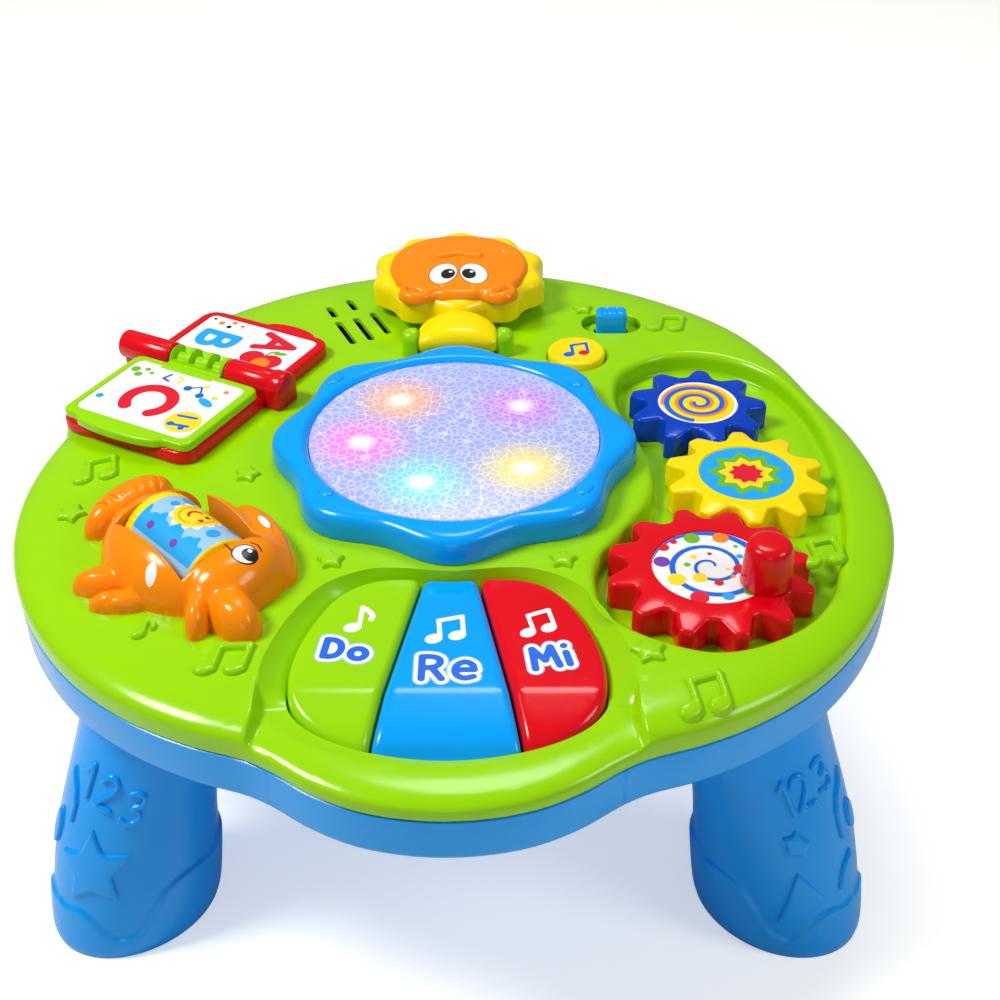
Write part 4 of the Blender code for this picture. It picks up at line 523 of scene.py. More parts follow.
def moulded(name, colour, roughness=0.17, ior=1.53, tone=0.05, peel=0.02, specular=0.3):
    """Glossy injection moulded plastic."""
    material, tree, shader = new_material(name)
    place = add_node(tree, "ShaderNodeTexCoord").outputs["Object"]
    waves, marks, grain = [
        add_node(
            tree, "ShaderNodeTexNoise", {"Scale": 1 / (size * MM), "Detail": detail}, {"Vector": place}
        ).outputs["Fac"]
        for size, detail in ((WAVE_MM, 1.5), (MARK_MM, 3), (GRAIN_MM, 2))
    ]
    shade = linear(colour)
    darker = [c * (1 - tone) for c in shade[:3]] + [1.0]
    mix = add_node(tree, "ShaderNodeMix", {6: darker, 7: shade}, {0: waves}, data_type="RGBA")
    rough = add_node(
        tree, "ShaderNodeMapRange",
        {"From Min": 0.3, "From Max": 0.7, "To Min": roughness * 0.8, "To Max": roughness * 1.25},
        {"Value": marks},
    )
    bump = add_node(tree, "ShaderNodeBump", {"Strength": peel, "Distance": PEEL_MM * MM}, {"Height": grain})
    feed(tree, shader, {"IOR": ior, "Specular IOR Level": specular}, {
        "Base Color": mix.outputs[2], "Roughness": rough.outputs["Result"], "Normal": bump.outputs["Normal"],
    })
    return material


LOOK = {
    "lime_plastic": moulded("lime_plastic", LIME),
    "sky_plastic": moulded("sky_plastic", "00A2FF"),
    "blue_plastic": moulded("blue_plastic", "0040BE"),
    "red_plastic": moulded("red_plastic", "E00518"),
    "yellow_plastic": moulded("yellow_plastic", "FFE200"),
    "orange_plastic": moulded("orange_plastic", "FF8E00"),
    "white_plastic": moulded("white_plastic", "EFEFEC", 0.35),
    "black_plastic": moulded("black_plastic", "1A1A1C", 0.42, peel=0.1),
    "dome_rubber": moulded("dome_rubber", "8C9094", 0.7, 1.45, peel=0.15),
    "battery_wrap": moulded("battery_wrap", "2A2A2E", 0.3, 1.5, peel=0.01),
}
print("moulded finishes:", ", ".join(LOOK))

# %% [markdown]
# Printed labels are ink on a thin glossy film, so they are a touch shinier than the plastic and show
# no shrink waves. Each ink is one material, shared by every print that uses it.

# %% Inks
INK_COLOURS = {
    "ink_white": "F7F7FA", "ink_blue": "0A68E4", "ink_sky": "1EAAF5", "ink_red": "E2142E",
    "ink_green": "6CBE1E", "ink_orange": "FF8A14", "ink_yellow": "FFE01E", "ink_purple": "7A3FB0",
    "ink_black": "17171A", "ink_pale_blue": "9CCBEA", "ink_brown": "B04A08",
}


SCREEN_MM = 0.45  # dots of the printing screen, drawn coarser than the real 0.2 so that they show
DOT_SHADE = 0.93  # how light the ink is between the dots


def ink(name, colour):
    """Ink on glossy film: an even colour with the fine dots of the printing screen."""
    material, tree, shader = new_material(name)
    place = add_node(tree, "ShaderNodeTexCoord").outputs["Object"]
    dots = add_node(tree, "ShaderNodeTexVoronoi", {"Scale": 1 / (SCREEN_MM * MM)}, {"Vector": place})
    shade = linear(colour)
    ramp = add_node(tree, "ShaderNodeValToRGB", links={"Fac": dots.outputs["Distance"]})
    ramp.color_ramp.elements[0].color = shade
    ramp.color_ramp.elements[1].color = [c * DOT_SHADE for c in shade[:3]] + [1.0]
    feed(tree, shader, {"Roughness": 0.3, "IOR": 1.46}, {"Base Color": ramp.outputs["Color"]})
    return material


for ink_name, ink_colour in INK_COLOURS.items():
    LOOK[ink_name] = ink(ink_name, ink_colour)
print("inks:", len(INK_COLOURS))

# %% [markdown]
# Inside are turned steel pins and screws, green fibreglass circuit boards under solder lacquer, and
# clear epoxy lamps. They show only through gaps, but a model that can be taken apart needs them right.

# %% Steel
LAY_MM = 0.6  # the lathe's fine rings, drawn coarse so that they show
LAY_STRETCH = 12  # how much closer the rings lie along the pin than round it
LOOK["steel"], tree, shader = new_material("steel")
place = add_node(tree, "ShaderNodeTexCoord").outputs["Object"]
lay = add_node(tree, "ShaderNodeMapping", {"Scale": (1, 1, LAY_STRETCH)}, {"Vector": place})
lathe_lines = add_node(
    tree, "ShaderNodeTexNoise", {"Scale": 1 / (LAY_MM * MM), "Detail": 2}, {"Vector": lay.outputs["Vector"]}
)
rough = add_node(
    tree, "ShaderNodeMapRange", {"To Min": 0.22, "To Max": 0.42}, {"Value": lathe_lines.outputs["Fac"]}
)
steel_values = {"Base Color": linear("C6C8CB"), "Metallic": 1.0}
feed(tree, shader, steel_values, {"Roughness": rough.outputs["Result"]})
print("steel rings every", LAY_MM, "mm")

# %% Circuit board and clear lamp
TRACK_MM = 6.0  # one repeat of the copper tracks
LOOK["circuit_board"], tree, shader = new_material("circuit_board")
place = add_node(tree, "ShaderNodeTexCoord").outputs["Object"]
tracks = add_node(tree, "ShaderNodeTexBrick", {
    "Scale": 1 / (TRACK_MM * MM), "Color1": linear("1C6A3A"), "Color2": linear("1A6336"),
    "Mortar": linear("2B8A50"), "Mortar Size": 0.05, "Brick Width": 0.9, "Row Height": 0.25,
}, {"Vector": place})
feed(tree, shader, {"Roughness": 0.35, "IOR": 1.55}, {"Base Color": tracks.outputs["Color"]})

HAZE_MM = 1.5  # cloudy spots in the cast epoxy
LOOK["clear_lens"], tree, shader = new_material("clear_lens")
place = add_node(tree, "ShaderNodeTexCoord").outputs["Object"]
haze = add_node(tree, "ShaderNodeTexNoise", {"Scale": 1 / (HAZE_MM * MM)}, {"Vector": place})
rough = add_node(
    tree, "ShaderNodeMapRange", {"To Min": 0.05, "To Max": 0.15}, {"Value": haze.outputs["Fac"]}
)
lens_values = {"Base Color": linear("F4F4F4"), "Transmission Weight": 0.9, "IOR": 1.54}
feed(tree, shader, lens_values, {"Roughness": rough.outputs["Result"]})
print("other finishes: circuit board, clear lamp")

# %% [markdown]
# ## The top shell
#
# The lime top of the table is one moulding. Seen from above its outline is a soft, slightly lobed loop.
# From the rim it climbs steeply, turns over a rounded shoulder and runs up to a flat plateau. At the
# front a lobe drops lower, to let small hands reach the keys. We write the height of that surface as a
# function of the place, and mesh it with rings of points that follow the rim, where it curves most.

# %% The height of the top
FRONT_REACH = 185.0
REACH_DEGREES_AND_SHARES = np.array([
    (0, 1.000), (8, 0.990), (14, 0.965), (19, 0.936), (23, 0.927), (29, 0.939), (38, 0.954),
    (48, 0.962), (60, 0.958), (72, 0.945), (84, 0.925), (96, 0.898), (108, 0.878), (120, 0.895),
    (132, 0.914), (146, 0.918), (160, 0.925), (180, 0.930),
])
RIM_RISE, RIM_WIDTH = 6.0, 17.0
OUTER_RISE, OUTER_WIDTH = 1.0, 25.0
LOBE_LIP, LOBE_RIM_RISE, LOBE_RIM_WIDTH = 3.8, 4.0, 13.0
LOBE_STEP = 3.4  # how wide the step from the plateau down to the lobe is
LOBE_BACK = -121


def reach_curve():
    """The table's reach from the panel's centre at each half degree from the front."""
    knots = REACH_DEGREES_AND_SHARES
    before, after = knots[1] * (-1, 1), (360 - knots[-2][0], knots[-2][1])
    a, r = np.concatenate([[before], knots, [after]]).T
    slope = (r[2:] - r[:-2]) / (a[2:] - a[:-2])
    degrees = np.arange(0, 180.25, 0.5)
    k = np.clip(np.searchsorted(a[1:-1], degrees, side="right") - 1, 0, len(slope) - 2)
    gap = a[k + 2] - a[k + 1]
    t = (degrees - a[k + 1]) / gap
    share = r[k + 1] * (2 * t**3 - 3 * t**2 + 1) + slope[k] * gap * (t**3 - 2 * t**2 + t)
    share += r[k + 2] * (3 * t**2 - 2 * t**3) + slope[k + 1] * gap * (t**3 - t**2)
    return degrees, share * FRONT_REACH


REACH_CURVE = reach_curve()


def reach(x, y):
    """The table's reach in the direction of each place."""
    return np.interp(np.abs(np.degrees(np.arctan2(x, -np.asarray(y)))), *REACH_CURVE)


def table_outline(inset, steps=240):
    """The table's edge seen from above, moved in by the inset."""
    turns = np.radians(360 * np.arange(steps) / steps - 90)
    away = reach(np.cos(turns), np.sin(turns)) - inset
    return np.stack([away * np.cos(turns), away * np.sin(turns)], axis=1)


def shoulder(share):
    """A rounded shoulder, steep at its foot and level at its top."""
    return (1 - (1 - np.clip(share, 0, 1)) ** 2.2) ** 0.46


def lobe_side(y):
    """Half the lobe's width at each distance towards the front."""
    return np.interp(-np.asarray(y), (120, 135, 148, 166, 200), (58, 62, 62, 66, 70))


def lobe_share(x, y):
    """1 on the low lobe in front of the keys, 0 elsewhere, with a short steep step between them."""
    across = np.clip((lobe_side(y) + LOBE_STEP / 2 - np.abs(x)) / LOBE_STEP, 0, 1)
    return across**2 * (3 - 2 * across) * (np.asarray(y) < LOBE_BACK)


def shell_height(x, y):
    """The height of the lime top at each place."""
    inset = np.maximum(reach(x, y) - np.hypot(x, y), 0)
    rim = PLATEAU - RIM_RISE - OUTER_RISE
    top = rim + RIM_RISE * shoulder(inset / RIM_WIDTH) + OUTER_RISE * np.clip(inset / OUTER_WIDTH, 0, 1)
    lip = SHELL_EDGE + LOBE_LIP + LOBE_RIM_RISE * shoulder(inset / LOBE_RIM_WIDTH)
    low = lobe_share(x, y)
    return top * (1 - low) + lip * low


def on_shell(x, y, lift):
    """Places that stand off the lime top."""
    return np.stack([x, y, shell_height(x, y) + lift], axis=1)


print("plateau", round(float(shell_height(0, 0)), 1), "lobe", round(float(shell_height(0, -171)), 1))

# %% Openings in the top
WELL_EDGE = smooth_loop(mirrored([
    (0, -77), (18, -75.5), (31, -78), (41, -86), (48, -99), (53, -115), (54.5, -130), (52, -143),
    (42, -153.5), (24, -161.5), (0, -165),
]), 12)
WELL_CREST = smooth_loop(mirrored([
    (0, -76), (18, -74), (31, -75), (45, -83), (54, -97), (60, -113), (63, -130), (59, -146),
    (47, -157), (26, -165), (0, -168.5),
]), 12)
POCKET = smooth_loop([
    (52.5, -82), (55, -67), (64, -52), (76, -31), (79, -10), (76.5, 8), (71, 26), (68.5, 48), (74, 67),
    (93, 80), (116, 79), (137, 64), (148, 38), (152, 8), (151.5, -22), (146, -58), (134, -92),
    (117, -110), (93, -119), (71, -112), (56, -99),
], 10)
POCKET_FLOOR = PLATEAU - 9.15
POCKET_ROUND = 3.4
WALL = 2.5
BUTTON_CENTRE, BUTTON_HOLE = (53, 80), 13.3
SLIDER_CENTRE = (70.5, 110)
FISH_CENTRE, FISH_TURN = (-95.5, -69.5), -47
DRUM_RADIUS, DRUM_LENGTH, DRUM_GAP = 15.8, 42.0, 0.8
GRILLE_TURN, GRILLE_WIDTH = -66, 3.2
GRILLE_SLOTS = ((-52, 103, 23), (-44, 106.5, 23), (-36.5, 112, 22), (-60, 123, 11), (-51, 130, 11))
BOOK_CENTRE, BOOK_TURN = (-109.5, 60), -28


def book_plan(points):
    """Places given along the hinge and towards the reader, as places on the table."""
    return turned(np.asarray(points, float) * (1, -1), BOOK_TURN, BOOK_CENTRE)


def box_outline(width, depth):
    """A rectangle's corners about the origin."""
    return np.array([(-1, -1), (1, -1), (1, 1), (-1, 1)]) * (width / 2, depth / 2)


print("well", len(WELL_EDGE), "points, pocket", len(POCKET), "points")

# %% [markdown]
# Each opening has its own edge: the gear pocket a wide rounded one, the key well a flared one with a
# crisp crest, the rest a small one. An edge is a strip of rings that starts on the surface and turns
# down into the wall. The surface itself is then triangulated between the strips' outermost rings.

# %% Build the shell
QUARTER = np.radians(np.linspace(0, 90, 7))
CLEAR_OF_HOLES = 0.9  # how far the surface's own lines of points stay from an opening
POCKET_FILLET = 2.0


def rolled_edge(loop, radius, floor):
    """Rings from the surface over a rounded edge and down to the floor."""
    rings = []
    for turn in QUARTER:
        ring = grown(loop, radius * (1 - math.sin(turn)))
        rings.append(level(ring, shell_height(*ring.T) - radius * (1 - math.cos(turn))))
    rings.append(level(loop, floor))
    return rings


def outside_runs(ring, holes):
    """The stretches of a ring that stay clear of the holes."""
    free = ~np.any([inside(ring, hole) for hole in holes], axis=0)
    if free.all():
        return [closed_line(ring)]
    first = int(np.argmin(free))
    ring, free = np.roll(ring, -first, axis=0), np.roll(free, -first)
    runs, run = [], []
    for point, kept in zip(ring, free):
        if kept:
            run.append(point)
        elif run:
            runs.append(np.array(run))
            run = []
    if run:
        runs.append(np.array(run))
    return [run for run in runs if len(run) > 1]


def flare_rings():
    """The key well's flared edge, from its crest down to its floor."""
    rings = []
    crest_z = shell_height(*WELL_CREST.T)
    edge_z = np.minimum(PLATEAU - 6.2, crest_z - 1.2)
    for t in (1, 0.97, 0.9, 0.8, 0.6, 0.35, 0.15, 0):
        rings.append(level(WELL_EDGE * (1 - t) + WELL_CREST * t, edge_z + (crest_z - edge_z) * t**1.25))
    rings.append(level(grown(WELL_EDGE, -0.35), edge_z - 0.5))
    rings.append(level(grown(WELL_EDGE, -0.4), PLATEAU - 15))
    return rings


def shell_parts():
    """The top's surface with its openings and rim, and the rings that floors are laid in."""
    pocket = rolled_edge(POCKET, POCKET_ROUND, POCKET_FLOOR + POCKET_FILLET)
    for turn in QUARTER[1:]:
        fillet = grown(POCKET, -0.8 * POCKET_FILLET * (1 - math.cos(turn)))
        pocket.append(level(fillet, POCKET_FLOOR + POCKET_FILLET * (1 - math.sin(turn))))
    button = rolled_edge(circle(BUTTON_HOLE, 72, BUTTON_CENTRE), 0.8, PLATEAU - WALL)
    slider = rolled_edge(stadium(27, 18, 18) + SLIDER_CENTRE, 0.9, PLATEAU - 4.45)
    panel = rolled_edge(circle(57, 96), 0.5, PLATEAU - WALL)
    drum = box_outline(DRUM_LENGTH + 4 * DRUM_GAP, 2 * DRUM_RADIUS + 2 * DRUM_GAP)
    drum = turned(drum, FISH_TURN, FISH_CENTRE)
    drum = [level(drum, shell_height(*drum.T)), level(drum, PLATEAU - WALL)]
    slots = []
    for x, y, length in GRILLE_SLOTS:
        slot = turned(stadium(length, GRILLE_WIDTH), GRILLE_TURN, (x, y))
        slots.append(rolled_edge(slot, 0.6, PLATEAU - WALL))
    edges = [flare_rings(), pocket, button, slider, panel, drum] + slots
    holes = [rings[0][:, :2] for rings in edges]
    clear = [grown(hole, CLEAR_OF_HOLES) for hole in holes]
    chains = []
    for inset in (0.1, 0.35, 0.9, 1.8, 3.2, 5.2, 8, 12, 17, 21, 25):
        chains += outside_runs(table_outline(inset), clear)
    ys = np.arange(LOBE_BACK - 0.5, -178, -1.4)
    for offset in (-2.2, -1.5, -0.9, -0.3, 0.3, 0.9, 1.5, 2.2):
        for sign in (-1, 1):
            line = np.stack([sign * (lobe_side(ys) + offset), ys], axis=1)
            line = line[reach(*line.T) - np.hypot(*line.T) > 0.6]
            chains += [run for run in outside_runs(line, clear) if np.abs(np.diff(run[:, 1])).max() < 3]
    grid = grid_points((-86, -186), (87, -118), 3.0)
    free = reach(*grid.T) - np.hypot(*grid.T) > 1.5
    free &= ~np.any([inside(grid, hole) for hole in clear], axis=0)
    rim = table_outline(0)
    flat, faces = triangulated(
        [rim] + holes, grid[free],
        lambda middle: inside(middle, rim) & ~np.any([inside(middle, hole) for hole in holes], axis=0),
        chains,
    )
    parts = [(level(flat, shell_height(*flat.T)), faces)]
    parts += [(points, [face[::-1] for face in quads]) for points, quads in map(strip, edges)]
    rim_rings = [level(rim, shell_height(*rim.T))]
    for inset, z in ((0, SHELL_EDGE + 1), (0.25, SHELL_EDGE + 0.3), (0.9, SHELL_EDGE), (WALL, SHELL_EDGE)):
        rim_rings.append(level(table_outline(inset), z))
    rim_rings.append(level(table_outline(WALL), SHELL_EDGE + 4))
    points, quads = strip(rim_rings)
    parts.append((points, [face[::-1] for face in quads]))
    return parts, pocket[-1], slider[-1]


def floor_part(ring, hole=None):
    """A flat floor inside a ring, with a hole left in it if one is given."""
    loops = [ring[:, :2]] + ([hole] if hole is not None else [])
    flat, faces = triangulated(loops, [], lambda middle: inside_any(middle, loops))
    return level(flat, ring[0, 2]), faces


SHELL_PARTS, POCKET_RING, SLIDER_RING = shell_parts()
SLOT_OUTLINE = box_outline(15.8, 4.8) + SLIDER_CENTRE
SLOT_Z = SLIDER_RING[0, 2]
SHELL_PARTS.append(floor_part(POCKET_RING))
SHELL_PARTS.append(floor_part(SLIDER_RING, SLOT_OUTLINE))
SHELL_PARTS.append(strip([level(SLOT_OUTLINE, SLOT_Z), level(SLOT_OUTLINE, SLOT_Z - 1.2)]))
BOOK_PLINTH = book_plan(rounded([(-32, -47), (32, -47), (32, 58), (-32, 58)], 9))
SHELL_PARTS.append(capped([
    level(grown(BOOK_PLINTH, out), PLATEAU - drop)
    for out, drop in ((2.4, 7), (0.9, 1.4), (0.3, 0.4), (-0.4, 0.02))
], low=False))
shell = piece("shell_top", SHELL_PARTS, LOOK["lime_plastic"], "table", ["top_shell"], crease=42)
print("shell faces:", len(shell.data.polygons))

# %% [markdown]
# ## Raised motifs on the top
#
# The plateau is decorated with raised notes and stars, moulded in one with the shell. They are simple
# drawings: a note is a round head and a stem, or two of them under a beam; a star has rounded corners.
# Each gets a soft shoulder a millimetre and a half wide.

# %% Notes and stars
NOTE_PEN = 3.3
NOTE_HEAD = (3.9, 3.0)
RAISE, RAISE_WIDTH = 2.0, 1.5
STAR_SCALE = 1.12


def note_field(size=1.0, turn=0.0, centre=(0, 0), single=False, pen=NOTE_PEN):
    """A quaver, or a pair of them under one beam."""
    def to(points):
        return turned(np.asarray(points, float) * size, turn, centre)

    heads = [(-4.6, -6.0)] if single else [(-5.6, -6.0), (4.4, -4.6)]
    shapes = [area(to(oval(*NOTE_HEAD, 20, head, 24))) for head in heads]
    if single:
        lines = [[(-1.9, -6), (-1.9, 7.4)], [(-1.9, 7.4), (1.2, 5.2), (3.2, 2.2), (2.6, -0.4)]]
    else:
        lines = [[(-2.9, -6), (-2.9, 5.6)], [(7.1, -4.6), (7.1, 7.6)], [(-2.9, 5.6), (7.1, 7.6)]]
    thick = stroke([to(line) for line in lines[:-1]], pen * 0.82 * size)
    beam = stroke([to(smooth_path(lines[-1], 2))], pen * size)
    return either(*shapes, thick, beam)


def motif_box(centre, size):
    """The low and high corners of a square round a drawing."""
    return np.subtract(centre, size), np.add(centre, size)


RAISED_NOTES = (
    (-143, -10, 1.0, 12, False), (-75, -124, 1.0, -8, False), (84, -141, 1.05, 10, False),
    (96, 109, 0.95, -12, False), (136, -66, 0.95, 8, False), (-104, -108, 0.62, 0, True),
)
RAISED_STARS = (
    (-82, -14, 5.5, 80), (-44, -70, 5.5, 95), (41, -70, 5.5, 85), (68, -121, 6.5, 100), (-146, -40, 6, 70),
    (58, 123, 5, 90), (22, 133, 5, 75),
)
motifs = []
for x, y, size, turn, single in RAISED_NOTES:
    motifs.append(relief(
        note_field(size, turn, (x, y), single), *motif_box((x, y), 14 * size), 0.6, on_shell,
        domed(RAISE, RAISE_WIDTH), (0.15, 0.45, 0.85, 1.3), skirt=0.5,
    ))
for x, y, size, turn in RAISED_STARS:
    soft_star = rounded(star(STAR_SCALE * size, 5, 0.54, turn) + (x, y), 1.5)
    motifs.append(relief(
        area(soft_star), *motif_box((x, y), STAR_SCALE * size + 1), 0.45, on_shell,
        domed(RAISE, RAISE_WIDTH), (0.15, 0.45, 0.85, 1.4), skirt=0.5,
    ))
piece("shell_motifs", motifs, LOOK["lime_plastic"], "table")
print("raised motifs:", len(motifs))

# %% [markdown]
# ## The tray under the top
#
# Below the shell lies the lower tray, and inside are boards, pins and batteries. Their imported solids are
# right already, so they keep their meshes. Welding their points and softening their edges is enough to
# catch the light. This helper does it, and is used once all the other pieces are made.

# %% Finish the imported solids
EDGE_ROUND_MM = 0.15
EDGE_ROUND = {"bottom_tray": 0.5, "light_diffuser": 0.4, "battery_door": 0.3, "speaker": 0.3}
SLOT_OF = {row["node"]: row["material_slot"] for row in frame["record"]["subparts"]}


def soften(name, radius=EDGE_ROUND_MM):
    """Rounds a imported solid's edges and gives it its finish, without touching its mesh."""
    item = frame["nodes"][name]
    slot = SLOT_OF[name]
    item.data.materials.clear()
    item.data.materials.append(LOOK[slot])
    weld = item.modifiers.new("weld", "WELD")
    weld.merge_threshold = 0.01 * MM
    rounding = item.modifiers.new("rounding", "BEVEL")
    rounding.width = radius * MM
    rounding.segments = 2
    rounding.limit_method = "ANGLE"
    rounding.angle_limit = math.radians(40)
    rounding.harden_normals = True
    for face in item.data.polygons:
        face.use_smooth = True


print("edges with their own rounding:", ", ".join(EDGE_ROUND))

# %% [markdown]
# ## The lit panel
#
# A wavy ring holds the round window in the middle. The ring rises almost straight from the table, rolls
# over into a flat top and drops to the window with a small inner step. Its eight lobes are a plain cosine,
# so the valleys are as soft as the lobes. Four low ovals decorate the lobes.

# %% The ring
PANEL_Z = PLATEAU + SEAT_GAP
RING_STEPS = 256
RING_REACH, RING_WAVE, RING_LOBES = 69.6, 3.3, 8
RING_TOP, RING_INNER = 11.1, 61.4


def lathe(profile, centre=(0, 0), steps=64, low=True, high=True):
    """A turned shape from (radius, height) pairs, from its foot to its top."""
    return capped([level(circle(radius, steps, centre), z) for radius, z in profile], low, high)


def even_turns(steps):
    """Angles all round, in even steps."""
    return 2 * np.pi * np.arange(steps) / steps


turns = even_turns(RING_STEPS)
wave = RING_REACH + RING_WAVE * np.cos(RING_LOBES * turns)
ways = np.stack([np.cos(turns), np.sin(turns)], axis=1)
rings = []
for grow, rise in ((0.4, 0), (0.5, 1), (0.4, 6), (0, 8.2), (-0.9, 9.6), (-2.4, 10.6), (-4.2, 11.05)):
    rings.append(level(ways * (wave + grow)[:, None], PANEL_Z + rise))
for share in (0.2, 0.5, 0.8, 1):
    between = (wave - 4.2) * (1 - share) + RING_INNER * share
    rings.append(level(ways * between[:, None], PANEL_Z + RING_TOP))
for radius, rise in ((60.6, 10.9), (59.6, 10.2), (58.9, 9.6), (58.5, 9), (58.4, 6), (58.4, 1)):
    rings.append(level(ways * radius, PANEL_Z + rise))
piece("panel_ring", [strip(rings)], LOOK["sky_plastic"], "table", ["panel_bezel"], crease=50)


def flat_at(z):
    """A level surface to print on or to build up from."""
    return lambda x, y, lift: np.stack([x, y, z + lift], axis=1)


bumps = []
for x, y, turn in ((-51, 41, 140), (50, 38, 38), (-48, -41, 220), (50, -41, -40)):
    bump = area(oval(4.6, 2.7, turn + 90, (x, y)))
    box = motif_box((x, y), 6)
    bumps.append(relief(bump, *box, 0.5, flat_at(PANEL_Z + RING_TOP - 0.1), domed(0.9, 2), (0.3, 0.8, 1.5)))
piece("panel_ring_ovals", bumps, LOOK["sky_plastic"], "table")
print("ring lobes reach", round(float(wave.max()), 1), "mm")

# %% [markdown]
# The window is a milky plate with a pebbled face, which hides the lamps and spreads their light. The light
# of five lamps in different colours is painted on it as a glow: each is a soft spot whose strength falls
# with the distance from its lamp, and the whole plate glows a faint lavender. The pebbles are small cells:
# their edges are painted highlights, paler lines that glow too, and they bend the reflections.

# %% The milky window
GLOWS = (
    ((-23, 27), "FFB478"), ((-37, -5), "FF7CE4"), ((27, 22), "D07CFF"), ((-12, -33), "6CE4FA"),
    ((28, -24), "FFEA50"),
)
WINDOW_TOP = PANEL_Z + 9.3
# A lamp's halo and its white core: where each starts to fade and is gone, in mm, and its strength
HALO, CORE = (3, 25, 0.92), (1, 8, 0.9)
PEBBLE_MM = 3.2  # the pebbles of the moulded face
LOOK["diffuser_plastic"], tree, shader = new_material("diffuser_plastic")
place = add_node(tree, "ShaderNodeTexCoord").outputs["Object"]
# Painted glow: the plate's lavender, then each lamp's halo and white core mixed in, all shown by emission
painted_glow = add_node(tree, "ShaderNodeRGB").outputs["Color"]
painted_glow.default_value = linear("A4AEEA")
for (x, y), colour in GLOWS:
    spot = add_node(
        tree, "ShaderNodeVectorMath", {1: to_world((x, y, WINDOW_TOP))}, {0: place}, operation="DISTANCE"
    )
    halo, core = [
        add_node(
            tree, "ShaderNodeMapRange",
            {"From Min": near * MM, "From Max": far * MM, "To Min": strength, "To Max": 0.0},
            {"Value": spot.outputs["Value"]}, interpolation_type="SMOOTHSTEP",
        ).outputs["Result"]
        for near, far, strength in (HALO, CORE)
    ]
    for share, tone in ((halo, colour), (core, "FFFFFF")):
        painted_glow = add_node(
            tree, "ShaderNodeMix", {7: linear(tone)}, {0: share, 6: painted_glow}, data_type="RGBA"
        ).outputs[2]
print("glows:", len(GLOWS))

# %% The window's pebbles
pebbles = add_node(
    tree, "ShaderNodeTexVoronoi", {"Scale": 1 / (PEBBLE_MM * MM)}, {"Vector": place},
    feature="DISTANCE_TO_EDGE",
).outputs["Distance"]
# Painted highlights: the pebbles' edges are mixed towards white, and glow with the rest of the plate
glint = add_node(
    tree, "ShaderNodeMapRange", {"From Max": 0.09, "To Min": 0.45, "To Max": 1.0}, {"Value": pebbles}
).outputs["Result"]
lit = add_node(
    tree, "ShaderNodeMix", {6: linear("FFFFFF")}, {0: glint, 7: painted_glow}, data_type="RGBA"
).outputs[2]
bump = add_node(tree, "ShaderNodeBump", {"Strength": 0.5, "Distance": 0.3 * MM}, {"Height": pebbles})
# The base colour is half the painted glow and half near-black, so that the emission carries the light
painted_glow_base = add_node(tree, "ShaderNodeMix", {0: 0.5, 7: linear("101018")}, {6: lit}, data_type="RGBA")
feed(tree, shader, {"Emission Strength": 0.6, "Roughness": 0.3, "IOR": 1.49}, {
    "Base Color": painted_glow_base.outputs[2], "Emission Color": lit, "Normal": bump.outputs["Normal"],
})
print("pebbles of", PEBBLE_MM, "mm")

# %% [markdown]
# ## Three piano keys
#
# The keys fill one well and share its outline, cut by two slanting lines. Each is flat on top and bends
# down at the front. A rounded corner between two straight edges comes from the two edge distances, so
# the key's top edge stays an even round all the way.

# %% Key shapes
KEY_TOP = PLATEAU - 2
KEY_FOOT = 121.0
KEY_ROUND = 3.0
KEY_CORNER = 3.5
KEY_TO_WELL, KEY_TO_KEY = 0.9, 0.45
WELL_FIELD = area(WELL_EDGE)
# The slanting line between two keys starts at SLANT_TOP, and goes SLANT_OUT out for SLANT_DOWN down
SLANT_TOP, SLANT_OUT, SLANT_DOWN = (10, -77), 16.4, 88


def corner_rounded(distances, radius=KEY_CORNER):
    """One field from the distances to several edges, with the corners between them rounded."""
    distances = np.array(distances)
    outside = np.linalg.norm(np.maximum(distances + radius, 0), axis=0)
    return np.minimum(distances.max(0), -radius) + outside


def split_distance(points, side):
    """Distance past the slanting line between the middle key and the key on this side."""
    out, down = side * points[:, 0] - SLANT_TOP[0], points[:, 1] - SLANT_TOP[1]
    return (out * SLANT_DOWN + down * SLANT_OUT) / math.hypot(SLANT_DOWN, SLANT_OUT)


def key_field(side):
    """One key's outline: the well's edge, cut by the slanting lines on its sides."""
    def field(points):
        edge = WELL_FIELD(points) + KEY_TO_WELL
        if side:
            return corner_rounded([edge, KEY_TO_KEY - split_distance(points, side)])
        return corner_rounded([edge] + [split_distance(points, s) + KEY_TO_KEY for s in (-1, 1)])

    return field


def on_keys(x, y, lift):
    """The shared top of the keys, which bends down at the front."""
    share = np.clip((-137 - y) / 23, 0, 1)
    z = KEY_TOP - 6.5 * share - 4.7 * share**6 + lift
    return np.stack([x, y, np.maximum(z, KEY_FOOT)], axis=1)


# Each key: its side of the table, its left and right limits, its plastic
KEYS = {
    "key_do": (-1, (-58, -9), "lime_plastic"),
    "key_re": (0, (-28, 28), "sky_plastic"),
    "key_mi": (1, (9, 58), "red_plastic"),
}
front = grid_points((-54, -162), (55, -133), (2.5, 1.8))
for name, (side, (left, right), look) in KEYS.items():
    field = key_field(side)
    parts = [relief(
        field, (left, -167), (right, -75), 0.8, on_keys, shouldered(KEY_ROUND, KEY_ROUND),
        (0.12, 0.4, 0.8, 1.4, 2.1, 2.9), skirt=30, extra=front[field(front) < -3.1],
    )]
    piece(name + "_cap", parts, LOOK[look], name, [name], crease=50)
print("keys:", ", ".join(KEYS))

# %% [markdown]
# ## Letters and numbers
#
# Nursery letters are drawn with one round pen, so each is a few strokes in a box one unit high. The same
# strokes serve for the printed words on the keys, the letters in the book and the raised numbers on the
# legs. A wider pen of white behind the blue one makes the outline that the eye reads as a sticker.

